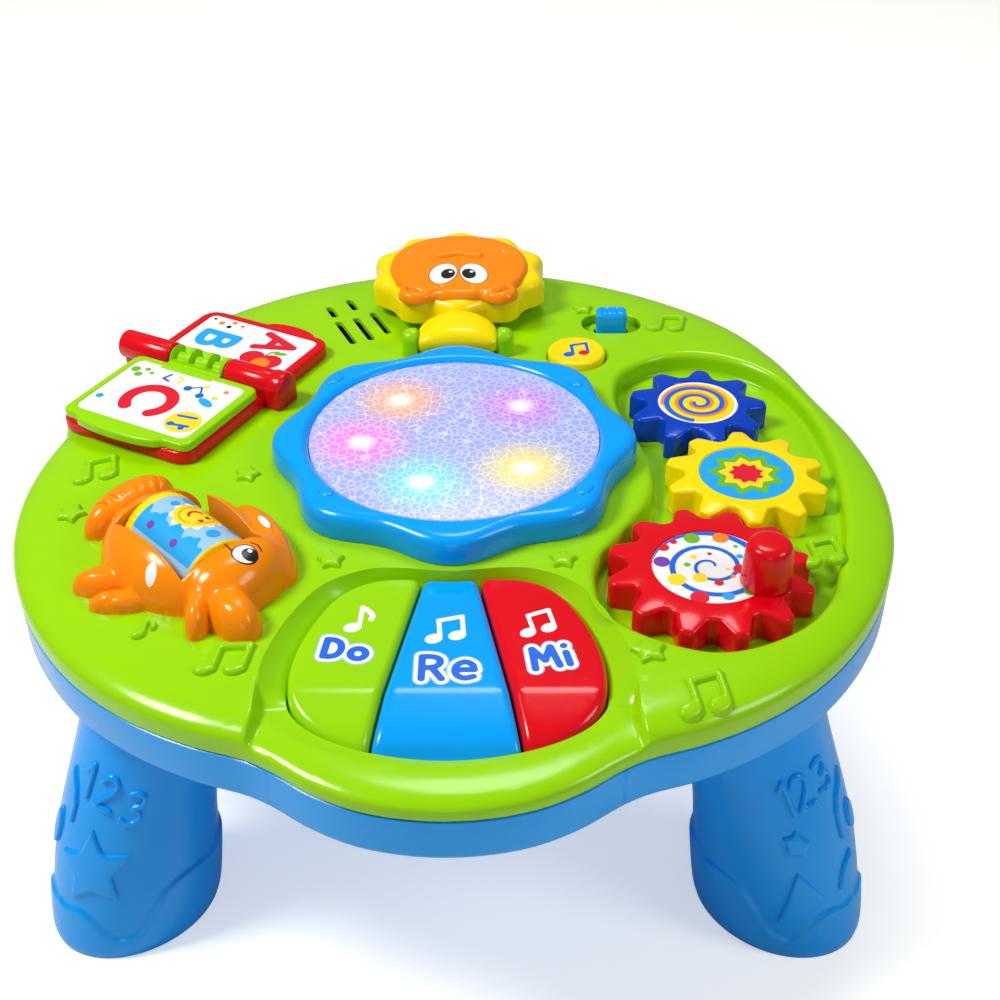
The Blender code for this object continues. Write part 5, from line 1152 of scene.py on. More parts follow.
# %% Strokes
ARC = np.radians(np.arange(0, 361, 20))
GLYPHS = {
    "D": [[(0, 0), (0, 1)], [(0, 1), (0.3, 1), (0.55, 0.85), (0.65, 0.5), (0.55, 0.15), (0.3, 0), (0, 0)]],
    "o": [np.stack([0.3 + 0.3 * np.cos(ARC), 0.3 + 0.3 * np.sin(ARC)], axis=1)],
    "R": [
        [(0, 0), (0, 1)],
        [(0, 1), (0.35, 1), (0.55, 0.88), (0.55, 0.65), (0.35, 0.5), (0, 0.5)],
        [(0.3, 0.5), (0.6, 0)],
    ],
    "e": [
        [(0.06, 0.4), (0.6, 0.4)],
        [
            (0.6, 0.4), (0.56, 0.64), (0.32, 0.78), (0.08, 0.64), (0, 0.38), (0.08, 0.12), (0.32, 0),
            (0.57, 0.1),
        ],
    ],
    "M": [[(0, 0), (0.1, 1)], [(0.1, 1), (0.42, 0.35)], [(0.42, 0.35), (0.74, 1)], [(0.74, 1), (0.84, 0)]],
    "i": [[(0, 0), (0, 0.6)], [(0, 0.95), (0.01, 0.96)]],
    "A": [[(0, 0), (0.38, 1)], [(0.38, 1), (0.76, 0)], [(0.15, 0.35), (0.61, 0.35)]],
    "B": [
        [(0, 0), (0, 1)],
        [(0, 1), (0.35, 1), (0.52, 0.9), (0.52, 0.66), (0.35, 0.53), (0, 0.53)],
        [(0.35, 0.53), (0.6, 0.42), (0.62, 0.15), (0.4, 0), (0, 0)],
    ],
    "1": [[(0, 0.75), (0.22, 1)], [(0.22, 1), (0.22, 0)]],
    "2": [[(0, 0.75), (0.1, 0.95), (0.35, 1), (0.55, 0.85), (0.52, 0.6), (0, 0)], [(0, 0), (0.6, 0)]],
    "3": [
        [(0, 0.9), (0.25, 1), (0.5, 0.9), (0.5, 0.65), (0.25, 0.52)],
        [(0.25, 0.52), (0.55, 0.42), (0.58, 0.15), (0.3, 0), (0, 0.1)],
    ],
}
ADVANCE = {"D": 1.03, "R": 0.98, "M": 1.2}
INK_STEP, LAYER_STEP = 0.02, 0.035  # how proud the lowest ink stands, and each ink over the last


def lettering(text, height, origin, turn=0.0):
    """The strokes of a word, from the foot of its first letter."""
    paths, along = [], 0.0
    for letter in text:
        for path in GLYPHS[letter]:
            path = np.asarray(path, float) + (along, 0)
            path = smooth_path(path, 2) if len(path) > 2 else path
            paths.append(turned(path * height, turn, origin))
        along += ADVANCE.get(letter, 0.9)
    return paths


def even(rise):
    """A height rule: the same height all over."""
    return lambda flat, depth: np.full(len(flat), rise)


def printed(name, body, layers, place, low, high, step=0.4, mesh=None):
    """Prints ink over ink: (field, ink name) pairs, lowest first. A mesh size follows a curved surface."""
    for number, (field, ink_name) in enumerate(layers):
        rise = INK_STEP + LAYER_STEP * number
        extra = []
        if mesh:
            extra = grid_points(low, high, mesh)
            extra = extra[field(extra) < -0.4 * mesh]
        shape = relief(field, low, high, step, place, even(rise), skirt=INK_STEP, extra=extra)
        piece(f"{name}_{number}", [shape], LOOK[ink_name], body)


# Each key's word: letters, height, origin, turn, pen, then its note: centre, size, turn, single
WORDS = {
    "key_do": ("Do", 8.8, (-42.6, -120.2), -7, 2.6, ((-29.5, -100.4), 0.83, -3, True)),
    "key_re": ("Re", 11.2, (-8.7, -131.8), 0, 2.5, ((-0.9, -106), 0.82, 4, False)),
    "key_mi": ("Mi", 10, (29.6, -127), 12, 2.6, ((30.7, -102.8), 0.77, 12, False)),
}
for name, (text, height, origin, turn, pen, (centre, size, lean, single)) in WORDS.items():
    word = stroke(lettering(text, height, origin, turn), pen)
    layers = [(widened(word, 1.75), "ink_pale_blue"), (widened(word, 1.3), "ink_white"), (word, "ink_blue")]
    printed(name + "_word", name, layers, on_keys, *motif_box(np.add(origin, (9, 4)), 16), 0.35)
    note = note_field(size, lean, centre, single, 2.5)
    printed(name + "_note", name, [(note, "ink_white")], on_keys, *motif_box(centre, 11), 0.35)
print("words:", ", ".join(row[0] for row in WORDS.values()))

# %% [markdown]
# ## The gears
#
# Toy gears have few, fat teeth with generous gaps, so that they mesh without care. Each tooth runs from
# the root circle over the pitch line to the tip. The red gear has twelve teeth, the yellow ten and the
# blue nine, so they turn at different speeds. Each carries a round label in a shallow recess.

# %% Gear shapes
MODULE, ADDENDUM, DEDENDUM, BACKLASH = 5.75, 3.2, 4.6, 1.0
TIP_SHARE, ROOT_SHARE = 0.24, 0.76
TOOTH_CORNER, TOOTH_EDGE, TOOTH_SLOPE = 1.1, 1.4, 1.2
GEAR_LOW, GEAR_TOP = PLATEAU - 8.9, PLATEAU + 2.9
LABEL_SINK = 0.5
# Each gear: teeth, centre, the turn that meshes it with its neighbour, plastic
GEARS = {
    "gear_red": (12, (93.887, -77.122), 430.5, "red_plastic"),
    "gear_yellow": (10, (115, -17.5), 268.5, "yellow_plastic"),
    "gear_blue": (9, (101.97, 35.548), 303.8 + ((103.8 - 268.5) % 36) * 10 / 9, "blue_plastic"),
}


def gear_outline(teeth, centre, phase):
    """A gear's toothed outline."""
    pitch = MODULE * teeth / 2
    half_tooth = math.pi / teeth
    flank = (
        (pitch - DEDENDUM, half_tooth * ROOT_SHARE),
        (pitch, half_tooth / 2 - BACKLASH / pitch / 2),
        (pitch + ADDENDUM, half_tooth * TIP_SHARE),
    )
    corners = []
    for tooth in range(teeth):
        middle = math.radians(phase) + 2 * math.pi * tooth / teeth
        for r, a in [(r, -a) for r, a in flank] + [(r, a) for r, a in reversed(flank)]:
            corners.append((centre[0] + r * math.cos(middle + a), centre[1] + r * math.sin(middle + a)))
    return rounded(corners, TOOTH_CORNER, 4)


def gear_height(teeth, centre, label):
    """A gear's height rule: soft edges, teeth that slope a little, and a recess for the label."""
    root = MODULE * teeth / 2 - DEDENDUM

    def height(flat, depth):
        away = np.hypot(*(flat - centre).T)
        slope = TOOTH_SLOPE * np.clip((away - root) / (DEDENDUM + ADDENDUM), 0, 1)
        edge = shouldered(TOOTH_EDGE, TOOTH_EDGE)(flat, depth)
        return edge - slope - LABEL_SINK * (away < label - 0.2)

    return height


LABEL_RADIUS = {}
for name, (teeth, centre, phase, look) in GEARS.items():
    outline = gear_outline(teeth, centre, phase)
    label = LABEL_RADIUS[name] = 21.5 * teeth / 12 + (0.9 if teeth < 12 else 0)
    edges = [closed_line(circle(r, 96, centre)) for r in (label, label - 0.35, label + 1.4)]
    parts = [relief(
        area(outline), *motif_box(centre, MODULE * teeth / 2 + 5), 0.7, flat_at(GEAR_TOP),
        gear_height(teeth, centre, label), (0.12, 0.4, 0.8, TOOTH_EDGE), skirt=GEAR_TOP - GEAR_LOW,
        lines=edges,
    )]
    piece(name + "_wheel", parts, LOOK[look], name, [name], crease=50)
print("teeth:", [row[0] for row in GEARS.values()])

# %% [markdown]
# The labels are spirals and bursts that blur into rings of colour when the gears spin. A spiral is a
# ribbon: a line whose distance from the centre grows with the turn, and whose width grows with it.

# %% Gear labels


def ribbon(path, widths):
    """A closed outline round a line, as wide at each point as given."""
    path = np.asarray(path, float)
    along = np.gradient(path, axis=0)
    normal = np.stack([-along[:, 1], along[:, 0]], axis=1) / np.linalg.norm(along, axis=1)[:, None]
    half = np.asarray(widths)[:, None] / 2
    return np.concatenate([path + normal * half, (path - normal * half)[::-1]])


def spiral(centre, low, high, first, rounds, thin, thick):
    """The field of a spiral ribbon that grows wider with its turns."""
    share = np.linspace(0, 1, int(60 * rounds))
    turns = np.radians(first) + 2 * np.pi * rounds * share
    away = low + (high - low) * share
    path = np.stack([centre[0] + away * np.cos(turns), centre[1] + away * np.sin(turns)], axis=1)
    return area(ribbon(path, thin + (thick - thin) * share))


def disc(x, y, radius):
    """The field of a round spot."""
    return lambda points: np.hypot(points[:, 0] - x, points[:, 1] - y) - radius


def within(field, x, y, radius):
    """The field cut to a disc."""
    return lambda points: np.maximum(field(points), disc(x, y, radius)(points))


LABEL_Z = flat_at(GEAR_TOP - LABEL_SINK)


def label_of(gear, layers):
    """Prints a gear's label over its recess."""
    low, high = motif_box(GEARS[gear][1], LABEL_RADIUS[gear] + 1)
    printed(gear[5:] + "_label", gear, layers, LABEL_Z, low, high, 0.45)


x, y = GEARS["gear_red"][1]
r = LABEL_RADIUS["gear_red"]
swirl = within(spiral((x, y), 1.4, r + 2, 10, 2.6, 1, 3), x, y, r - 0.45)
label_of("gear_red", [(disc(x, y, r - 0.4), "ink_white"), (swirl, "ink_blue")])
# The swirl's dots: places from the gear's centre and sizes, by ink
DOTS = {
    "ink_green": ((-5, 17, 3), (12.5, -13.8, 2.7), (-8.4, 1.2, 1.2), (10.5, 12, 0.9)),
    "ink_orange": ((5.6, 17.2, 3), (7.2, -5.6, 1)),
    "ink_red": (
        (-12, 15, 1.4), (-16, 11.6, 2.2), (-6, -17.6, 3.4), (1.8, -9.4, 1.7), (10.4, -1.6, 2.6),
        (0.4, 7.6, 0.9),
    ),
    "ink_purple": ((-17.4, 3, 3),),
    "ink_yellow": ((-13, -7.4, 3.4), (-4.6, -6.4, 2.7), (-5.6, 5.8, 1.3), (5.8, -1.4, 0.8)),
    "ink_sky": ((4.2, -17, 2.2), (11.2, 6, 1.3)),
}
dot_height = even(INK_STEP + 2 * LAYER_STEP)
for ink_name, spots in DOTS.items():
    field = within(either(*[disc(x + dx, y + dy, size) for dx, dy, size in spots]), x, y, r - 0.5)
    shape = relief(field, *motif_box((x, y), r), 0.4, LABEL_Z, dot_height, skirt=INK_STEP)
    piece("red_label_" + ink_name, [shape], LOOK[ink_name], "gear_red")
print("dots:", sum(map(len, DOTS.values())))

# %% Burst and ribbon labels
x, y = GEARS["gear_yellow"][1]
layers = [(disc(x, y, LABEL_RADIUS["gear_yellow"] - 0.4), "ink_sky")]
for size, ink_name in ((15.2, "ink_green"), (11.4, "ink_yellow"), (7.2, "ink_red")):
    layers.append((area(rounded(star(size, 9, 0.72, 94) + (x, y), 0.5)), ink_name))
label_of("gear_yellow", layers)
x, y = GEARS["gear_blue"][1]
r = LABEL_RADIUS["gear_blue"]
label_of("gear_blue", [
    (disc(x, y, r - 0.4), "ink_white"), (disc(x, y, r - 1.7), "ink_yellow"),
    (spiral((x, y), 2.4, r - 3, 150, 2.1, 1.6, 3.6), "ink_orange"),
    (spiral((x, y), 1, r - 2.6, 150, 2.3, 1.5, 2.4), "ink_blue"),
])
print("labels printed on", ", ".join(GEARS))

# %% [markdown]
# ## The crank knob
#
# A fat knob stands off centre on the red gear and turns on its own pin, so that a fist can wind the
# gears. Its sides lean in a little and its top edge is very round.

# %% Crank knob
CRANK_REACH, CRANK_TURN = 20.5, math.radians(332.5)
x, y = GEARS["gear_red"][1]
crank = (x + CRANK_REACH * math.cos(CRANK_TURN), y + CRANK_REACH * math.sin(CRANK_TURN))
foot_z = span("crank_knob")[0][2]
# The knob's outline from its foot up: radius, height
KNOB = (
    (8.9, 0), (9.2, 0.5), (8.95, 5), (8.6, 11), (8.35, 14), (8, 15.6), (7.3, 16.8), (6.1, 17.5), (4.3, 17.85),
    (2, 17.97), (0.01, 18),
)
knob = lathe([(r, foot_z + z) for r, z in KNOB], crank)
piece("crank_cap", [knob], LOOK["red_plastic"], "crank_knob", ["crank_knob"], crease=60)
print("crank knob", round(KNOB[-1][1] / (2 * KNOB[1][0]), 2), "times as tall as wide")

# %% [markdown]
# ## The book
#
# The book is a red base with one page on a hinge. All its shapes are drawn in the book's own plan: along
# the hinge, and away from the reader. The base and the page carry white cards with big letters.

# %% Book shapes
HINGE_Z = 148.0
BASE_TOP = HINGE_Z - 2
PAGE_TOP = HINGE_Z + 1.7
BARREL = 6.4


def on_book(z):
    """A level surface in the book's own plan."""
    return lambda u, w, lift: np.column_stack([book_at(u, w), z + lift])


def box_path(left, right, low, high, radius):
    """A rectangle with rounded corners."""
    return rounded([(left, low), (right, low), (right, high), (left, high)], radius)


def plate(outline, card, top, thick, edge, sink, name, body):
    """A moulded plate with a card lying in a shallow recess."""
    in_card = area(card)

    def height(flat, depth):
        return shouldered(edge, edge)(flat, depth) - sink * (in_card(flat) < -0.15)

    low, high = outline.min(0) - 1, outline.max(0) + 1
    shape = relief(
        area(outline), low, high, 0.8, on_book(top), height, (0.15 * edge, 0.45 * edge, edge), skirt=thick,
        lines=[closed_line(loop) for loop in (card, grown(card, -0.35))],
    )
    layers = [(widened(in_card, -0.5), "ink_white")]
    printed(name + "_card", body, layers, on_book(top - sink), low, high, 0.7)
    return shape


def book_at(u, w):
    """Places in the book's plan, as places on the table."""
    return turned(np.stack([u, w], axis=1), BOOK_TURN, BOOK_CENTRE)


def sole(loop, z):
    """The flat underside of a plate."""
    flat, faces = triangulated([loop], [], lambda middle: inside(middle, loop))
    return level(flat, z), faces[:, ::-1]


def hinge_ring(u, turns, radius):
    """A ring round the book's hinge line, at this place along it."""
    flat = book_at(np.full(len(turns), u), radius * np.cos(turns))
    return np.column_stack([flat, HINGE_Z + radius * np.sin(turns)])


def barrel(start, end, grooves=(30, 58, 86, 114)):
    """A round bar on the hinge line with chamfered ends and fine grooves."""
    turns = even_turns(72)
    gaps = np.min([np.abs(np.degrees(turns) - g) for g in grooves], axis=0)
    dip = 0.45 * np.clip(1 - gaps / 5, 0, 1)
    ends = ((start, 1), (start + 0.35, 0.35), (start + 1, 0), (end - 1, 0), (end - 0.35, 0.35), (end, 1))
    return capped([hinge_ring(u, turns, BARREL - inset - dip * (inset < 0.3)) for u, inset in ends])


def tower(start, end, half, foot, at=book_at, axis_z=HINGE_Z, soft=1.4):
    """A block with a round top that carries a hinge pin, softest at its outer end."""
    over = np.linspace(0, np.pi, 25)
    rings = []
    inner = [(start, 0.9), (start + 0.35, 0.3), (start + 1, 0)]
    outer = ((1.1, 0), (0.5, 0.2), (0.15, 0.55), (0, 1))
    outer = [(end - back * soft, inset * soft) for back, inset in outer]
    for u, inset in inner + outer:
        r = half - inset
        w = np.concatenate([[r], r * np.cos(over), [-r]])
        z = np.concatenate([[foot], axis_z + r * np.sin(over), [foot]])
        rings.append(np.column_stack([at(np.full(len(w), u), w), z]))
    return capped(rings)


print("hinge line", round(HINGE_Z - PLATEAU, 1), "mm over the table top")

# %% Base
BASE = box_path(-31.8, 35.4, -59.5, 47, 9)
BASE_THICK, BASE_EDGE, CARD_SINK = 5.4, 1.5, 0.45
BASE_CARD = box_path(-27.6, 31.2, 9.6, 43.4, 4)
parts = [plate(BASE, BASE_CARD, BASE_TOP, BASE_THICK, BASE_EDGE, CARD_SINK, "base", "table")]
TAB = smooth_path([(-2, 45), (3, 49.5), (13, 51), (23, 49.5), (28, 45)], 3)
parts.append(relief(
    area(np.concatenate([TAB, [(28, 43.9), (-2, 43.9)]])), (-4, 42), (30, 53), 0.6, on_book(BASE_TOP - 0.15),
    shouldered(1, 1), (0.15, 0.5, 1), skirt=5,
))
parts += [barrel(-43, -15.9), barrel(13.9, 37), tower(36, 43.6, 7, PANEL_Z), tower(-42, -32.5, 4, PANEL_Z)]
piece("book_base_cover", parts, LOOK["red_plastic"], "table", ["book_base"], crease=50)
print("book base covers", " x ".join(str(round(side, 1)) for side in np.ptp(BASE, axis=0)), "mm")

# %% [markdown]
# The page is a lime plate with a crescent lip for the fingertip. Its knuckle fills the gap between the
# base's two barrels and turns on the same steel pin. Three windows are cut in the knuckle's upper side.

# %% Page and knuckle
PAGE_THICK, PAGE_EDGE, PAGE_SINK = 3.4, 1.1, 0.35
PAGE_CARD = box_path(-26.8, 30.6, -54.6, -10.4, 4.5)
PAGE = rounded([
    (-30, -58), (-21.5, -58.3), (-19.5, -60.9), (-11, -62.6), (2, -63), (13, -62.2), (20, -60.4),
    (22.5, -58.2), (34.4, -58), (34.4, -7.3), (-30, -7.3),
], 5)
parts = [plate(PAGE, PAGE_CARD, PAGE_TOP, PAGE_THICK, PAGE_EDGE, PAGE_SINK, "page", "book_page")]
KNUCKLE = (-15, 13)
WINDOWS = (-10.4, -1.0, 8.4)
WINDOW_HALF, WINDOW_DEPTH, WINDOW_EDGE = 3.5, 2.9, 0.3
WINDOW_MIDDLE_TURN, WINDOW_HALF_TURN, WINDOW_TURN_EDGE = 98, 60.5, 2.5
# More rings and more points where the windows' edges turn down
cuts = (WINDOW_HALF, WINDOW_HALF - WINDOW_EDGE)
corners = [middle + side * cut for middle in WINDOWS for side in (-1, 1) for cut in cuts]
us = np.unique(np.concatenate([np.arange(-15, 13.1, 2), [12.6, -14.6], corners]))
degrees = np.unique(np.concatenate([np.arange(0, 360, 4), [37.5, 40, 156, 158.5]]))
rings = []
for u in us:
    end = max(0, 1 - min(u - KNUCKLE[0], KNUCKLE[1] - u)) * 0.6
    along = np.clip((WINDOW_HALF - min(abs(u - middle) for middle in WINDOWS)) / WINDOW_EDGE, 0, 1)
    over = np.clip((WINDOW_HALF_TURN - np.abs(degrees - WINDOW_MIDDLE_TURN)) / WINDOW_TURN_EDGE, 0, 1)
    rings.append(hinge_ring(u, np.radians(degrees), BARREL - SEAT_GAP - end - WINDOW_DEPTH * along * over))
parts.append(capped(rings))
points, faces = sole(PAGE, PAGE_TOP - PAGE_THICK)
parts.append((np.column_stack([book_at(*points[:, :2].T), points[:, 2]]), faces))
parts.append(relief(
    area(box_path(*KNUCKLE, -13, 0, 0.6)), (-16, -14), (14, 1), 0.7, on_book(PAGE_TOP - 0.25),
    shouldered(0.8, 0.8), (0.2, 0.8), skirt=2.8,
))
piece("book_page_cover", parts, LOOK["lime_plastic"], "book_page", ["book_page"], crease=42)
print("knuckle windows:", len(WINDOWS))

# %% [markdown]
# The pictures in the book are our own small set: an apple and a few shapes beside the letters. The
# letters stand with their feet to the left, as the book is read from the table's left side.

# %% Book prints


def book_letter(letter, height, centre, width=0.7):
    """A letter turned a quarter, about its middle in the book's plan."""
    return lettering(letter, height, (centre[0] - height / 2, centre[1] + width * height / 2), -90)


def discs(*spots):
    """The field of several round spots, each a place and a radius."""
    return either(*[disc(*spot) for spot in spots])


BASE_BOX, PAGE_BOX = ((-30, 8), (31, 45)), ((-30, -56), (30, -9))
APPLE = discs((11.5, 18.6, 5.6), (20.5, 18.6, 5.6), (13, 15.8, 4.6), (19, 15.8, 4.6))
LEAF = either(stroke([[(16, 22.5), (17, 26), (19.5, 27.6)]], 1), area(oval(3, 1.2, 20, (21.2, 26.4), 20)))
base_layers = [
    (stroke(book_letter("A", 16.4, (14.8, 33.2), 0.76), 4.0), "ink_red"),
    (stroke(book_letter("B", 16.5, (-12, 24.3), 0.62), 4.3), "ink_sky"),
    (APPLE, "ink_red"), (disc(17.6, 16, 4.2), "ink_orange"), (LEAF, "ink_green"),
    (discs((-19, 38, 1.5), (-13.5, 40.6, 1.3), (-8.5, 39.5, 1)), "ink_orange"),
    (discs((-14, 36.4, 1.2), (-24, 40, 0.8)), "ink_black"),
]
for number, layer in enumerate(base_layers):
    place = on_book(BASE_TOP - CARD_SINK + 0.08 + 0.03 * (number > 2))
    printed(f"base_print_{number}", "table", [layer], place, *BASE_BOX, 0.4)
print("prints on the base:", len(base_layers))

# %% Page prints
sweep = np.radians(np.arange(-52, 235, 7))
C_ARC = np.stack([-1.5 + 10 * np.cos(sweep), -36.4 + 10 * np.sin(sweep)], axis=1)
BARS = stroke([[(17, -40.2), (25, -38.8)], [(18.5, -46.8), (25.5, -45.4)]], 1.6)
HOOK = stroke([[(-6, -15), (-7.5, -19), (-4, -20)]], 1.2)
PAIR = stroke([[(7, -21), (12, -17.6), (15, -23)]], 0.9)
CURL = stroke([[(-1.5, -15), (1, -16), (0.5, -19.5)]], 1.1)
page_layers = [
    (stroke([C_ARC], 5.5), "ink_red"), (disc(21.6, -43.4, 7.8), "ink_yellow"),
    (either(BARS, discs((17.6, -46.6, 1.6), (23.6, -47.6, 1.4))), "ink_blue"),
    (discs((-23, -18, 2.1), (-18, -16, 1.3), (-19.5, -21, 1.8), (-14.6, -17.8, 1.1)), "ink_green"),
    (either(HOOK, PAIR, discs((7, -21, 1.9), (15, -23.6, 1.9))), "ink_blue"),
    (either(CURL, discs((13.6, -16.6, 1.3), (22, -22.5, 1.4))), "ink_yellow"),
    (either(area(oval(4.4, 2.1, -24, (20.6, -27), 24)), disc(-22.6, -42.5, 1.7)), "ink_sky"),
    (disc(23.6, -16.4, 1.2), "ink_orange"),
]
for number, layer in enumerate(page_layers):
    place = on_book(PAGE_TOP - PAGE_SINK + 0.08 + 0.03 * (number == 2))
    printed(f"page_print_{number}", "book_page", [layer], place, *PAGE_BOX, 0.4)
print("prints on the page:", len(page_layers))

# %% [markdown]
# ## The fish
#
# The fish is a heap of soft lumps: a body, a head, fins and lips. Each lump is a squashed ball with a
# full shoulder, and the surface is the highest lump at each place, blended only a little so that the
# creases between them stay. A window in its back shows the roller, which a finger can spin.

# %% Fish shape
# Each lump: offset along and across the roller, half sizes along, across and up, and turn
FISH_LUMPS = (
    ((-1, -1.5), (35, 28.5, 21), 0), ((24, 3.5), (16, 23, 17.5), 8), ((13, 22.5), (25, 10, 12.5), -14),
    ((-41, 0), (9, 21, 12.5), 8), ((-7, -29.5), (13.5, 6.6, 8.5), 52), ((5, -33), (11, 4.6, 6.5), 48),
    ((31, -17), (11, 5, 11), -43), ((39.5, -8.5), (13.5, 8.5, 12), -5),
)
FISH_WINDOW = rounded([(-23, 28), (-15, 18.4), (24.4, 17.6), (16, 4), (13, -16.5), (-21, -16.8)], 2.5)
ROLLER_Z = 143.5
FISH_BLEND = 0.55
FIN_LINES = [[(-36.8, 0.8 * y), (-40, 0.92 * y + 0.6), (-44.4, y)] for y in (-12, -6.5, -1, 4.5, 10, 15)]
FIN_LINES += [
    [(21, 25), (14, 27.4), (8, 28.4)], [(-9.6, -27), (-11.4, -30.6), (-12.2, -34)],
    [(6.6, -31), (6.4, -35), (5, -38.4)],
]
FIN_LINES = [smooth_path(line, 1) for line in FIN_LINES]
FIN_GROOVES = stroke(FIN_LINES, 0.5)
FIN_DEPTH, FIN_SLOPE = 0.7, 1.3


def fish_rise(points):
    """The fish's height over the table at places along and across the roller."""
    heights = []
    for centre, (along, across, up), turn in FISH_LUMPS:
        near = turned(points - centre, -turn) / (along, across)
        away = np.hypot(*near.T)
        full = up * np.sqrt(np.clip(1 - away**2.7, 0, 1))
        heights.append(np.where(away < 1, full, (1 - away) * min(along, across)))
    heights = np.array(heights) / FISH_BLEND
    top = heights.max(0)
    rise = FISH_BLEND * (top + np.log(np.exp(heights - top).sum(0)))
    return rise - FIN_DEPTH * np.clip(0.5 - FIN_GROOVES(points) / FIN_SLOPE, 0, 1) * np.clip(rise / 3, 0, 1)


def on_fish(x, y, lift):
    """Places that stand off the fish's skin."""
    points = np.stack([x, y], axis=1)
    return np.column_stack([turned(points, FISH_TURN, FISH_CENTRE), PLATEAU + fish_rise(points) + lift])


def at_fish(x, y, lift):
    """Places over the table in the fish's own plan."""
    return np.column_stack([turned(np.stack([x, y], axis=1), FISH_TURN, FISH_CENTRE), PLATEAU + lift])


ROLLER_ROOM = either(area(FISH_WINDOW), area(box_outline(DRUM_LENGTH + 1.6, 2 * DRUM_RADIUS + 1.6)))


def fish_field(points):
    """The fish's outline, less the room for its roller."""
    return np.maximum(0.5 - fish_rise(points), -ROLLER_ROOM(points))


def fish_height(flat, depth):
    """The fish's height rule, with a small lip round the roller's room."""
    lip = np.clip(1 - ROLLER_ROOM(flat) / 1.1, 0, 1)
    return fish_rise(flat) - 0.7 * lip**2


grid = grid_points((-50, -52), (52, 42), 1.6)
grid = grid[(fish_field(grid) < -1.2) & (FIN_GROOVES(grid) > 1)]
fish_shape = relief(
    fish_field, (-52, -54), (54, 42), 0.8, at_fish, fish_height, (0.4, 1.2, 2.5, 4.5, 7), skirt=3,
    spacing=0.9, extra=grid, lines=FIN_LINES,
)
piece("fish_cover", [fish_shape], LOOK["orange_plastic"], "table", ["fish_body"], crease=55)
print("fish lumps:", len(FISH_LUMPS))

# %% [markdown]
# The roller turns on a steel axle through the fish. Its print repeats three times round it, so a new
# sun always comes up. A ribbed yellow band at one end gives the finger a grip.

# %% Roller
PRINT_ROUND = 2 * np.pi * DRUM_RADIUS


def round_roller(along, turns, radius):
    """Places on a cylinder round the roller's axis, from the place along it and the angle from its top."""
    flat = turned(np.stack([along, radius * np.sin(turns)], axis=1), FISH_TURN, FISH_CENTRE)
    return np.column_stack([flat, ROLLER_Z + radius * np.cos(turns)])


def on_roller(x, y, lift):
    """Places on the roller's skin, unrolled."""
    return round_roller(x, y / DRUM_RADIUS, DRUM_RADIUS - 0.1 + lift)


turns = even_turns(144)
half = DRUM_LENGTH / 2
# The roller's outline: place along it, how far in from its skin, and how deep the ribs are
ROLLER_RINGS = (
    (-half, 1.2, 0), (-half + 0.3, 0.4, 0.2), (-half + 0.8, 0, 0.45), (-half + 3.4, 0, 0.45),
    (-half + 3.8, 0.2, 0), (-half + 4.1, 0.1, 0), (half - 0.9, 0.1, 0), (half - 0.3, 0.5, 0), (half, 1.3, 0),
)
RIBS = np.cos(36 * turns) > 0.6
rings = [
    round_roller(np.full(144, along), -turns, DRUM_RADIUS - inset - rib * RIBS)
    for along, inset, rib in ROLLER_RINGS
]
piece("roller_drum", [capped(rings)], LOOK["yellow_plastic"], "fish_roller", ["fish_roller"], crease=40)
wrap = [round_roller(np.full(144, along), -turns, DRUM_RADIUS - 0.07) for along in (-16.8, half - 1)]
piece("roller_print_sky", [strip(wrap)], LOOK["ink_pale_blue"], "fish_roller")
print("ribs in the grip:", 36)

# %% Roller print
PRINT_SHIFT = 2.4
SUN = (0, 3)


def repeated(field):
    """The field three times round the roller."""
    third = PRINT_ROUND / 3

    def wrapped(points):
        y = (points[:, 1] - PRINT_SHIFT + third / 2) % third - third / 2
        return field(np.stack([points[:, 0], y], axis=1))

    return wrapped


def water(points):
    """Waves, down to the foot of the print."""
    x, y = points.T
    crest = -6.5 + 1.6 * np.sin(0.62 * x) + 0.7 * np.sin(1.5 * x)
    return np.max([y - crest, -16 - y, np.abs(x - 1.2) - 17.8], axis=0)


def sun_rays(points):
    """A round sun with a frilled edge."""
    x, y = (points - SUN).T
    return np.hypot(x, y) - 9.4 - 0.9 * np.cos(11 * np.arctan2(y, x))


smile_sweep = np.radians(np.arange(120, 262, 12))
SMILE = np.stack([0.6 + 3.4 * np.cos(smile_sweep), 3 + 3.4 * np.sin(smile_sweep)], axis=1)
ROLLER_PRINTS = (
    (sun_rays, "ink_white"), (disc(*SUN, 8.6), "ink_yellow"), (water, "ink_sky"),
    (lambda points: np.abs(disc(*SUN, 6.4)(points)) - 0.3, "ink_orange"),
    (discs((-12, 8, 2.6), (13, 10.6, 2.4), (14, 0.5, 2.6), (-11, 1, 1.8)), "ink_sky"),
    (discs((-9, -11.8, 1.7), (6, -12, 1.7)), "ink_purple"),
    (stroke([SMILE], 0.9), "ink_red"), (disc(4.6, 1.6, 1), "ink_red"), (disc(3, 5.6, 0.9), "ink_black"),
)
for number, (field, ink_name) in enumerate(ROLLER_PRINTS):
    printed(
        f"roller_print_{number}", "fish_roller", [(repeated(field), ink_name)],
        lambda x, y, lift, up=LAYER_STEP * number: on_roller(x, y, lift + 0.04 + up),
        (-17, -49.4), (20, 49.4), 0.6, 1.1,
    )
print("roller prints:", len(ROLLER_PRINTS), "colours, three times round")

# %% [markdown]
# The fish's eye and three pale spots are printed on its skin. A print on a curved surface needs its own
# grid of points, so that it bends with the skin.

# %% Fish face
EYE = (29.2, 5.4)
LASHES = stroke([[(25.6, 10.6), (28, 12), (30.6, 11.6)], [(21.2, 3), (25.6, 2.6)]], 0.6)
FISH_PRINTS = (
    (either(disc(*EYE, 4.7), LASHES), "ink_black"), (disc(*EYE, 4.15), "ink_white"),
    (disc(30.5, 6.7, 2.9), "ink_black"), (disc(29.3, 7.6, 0.85), "ink_white"),
)
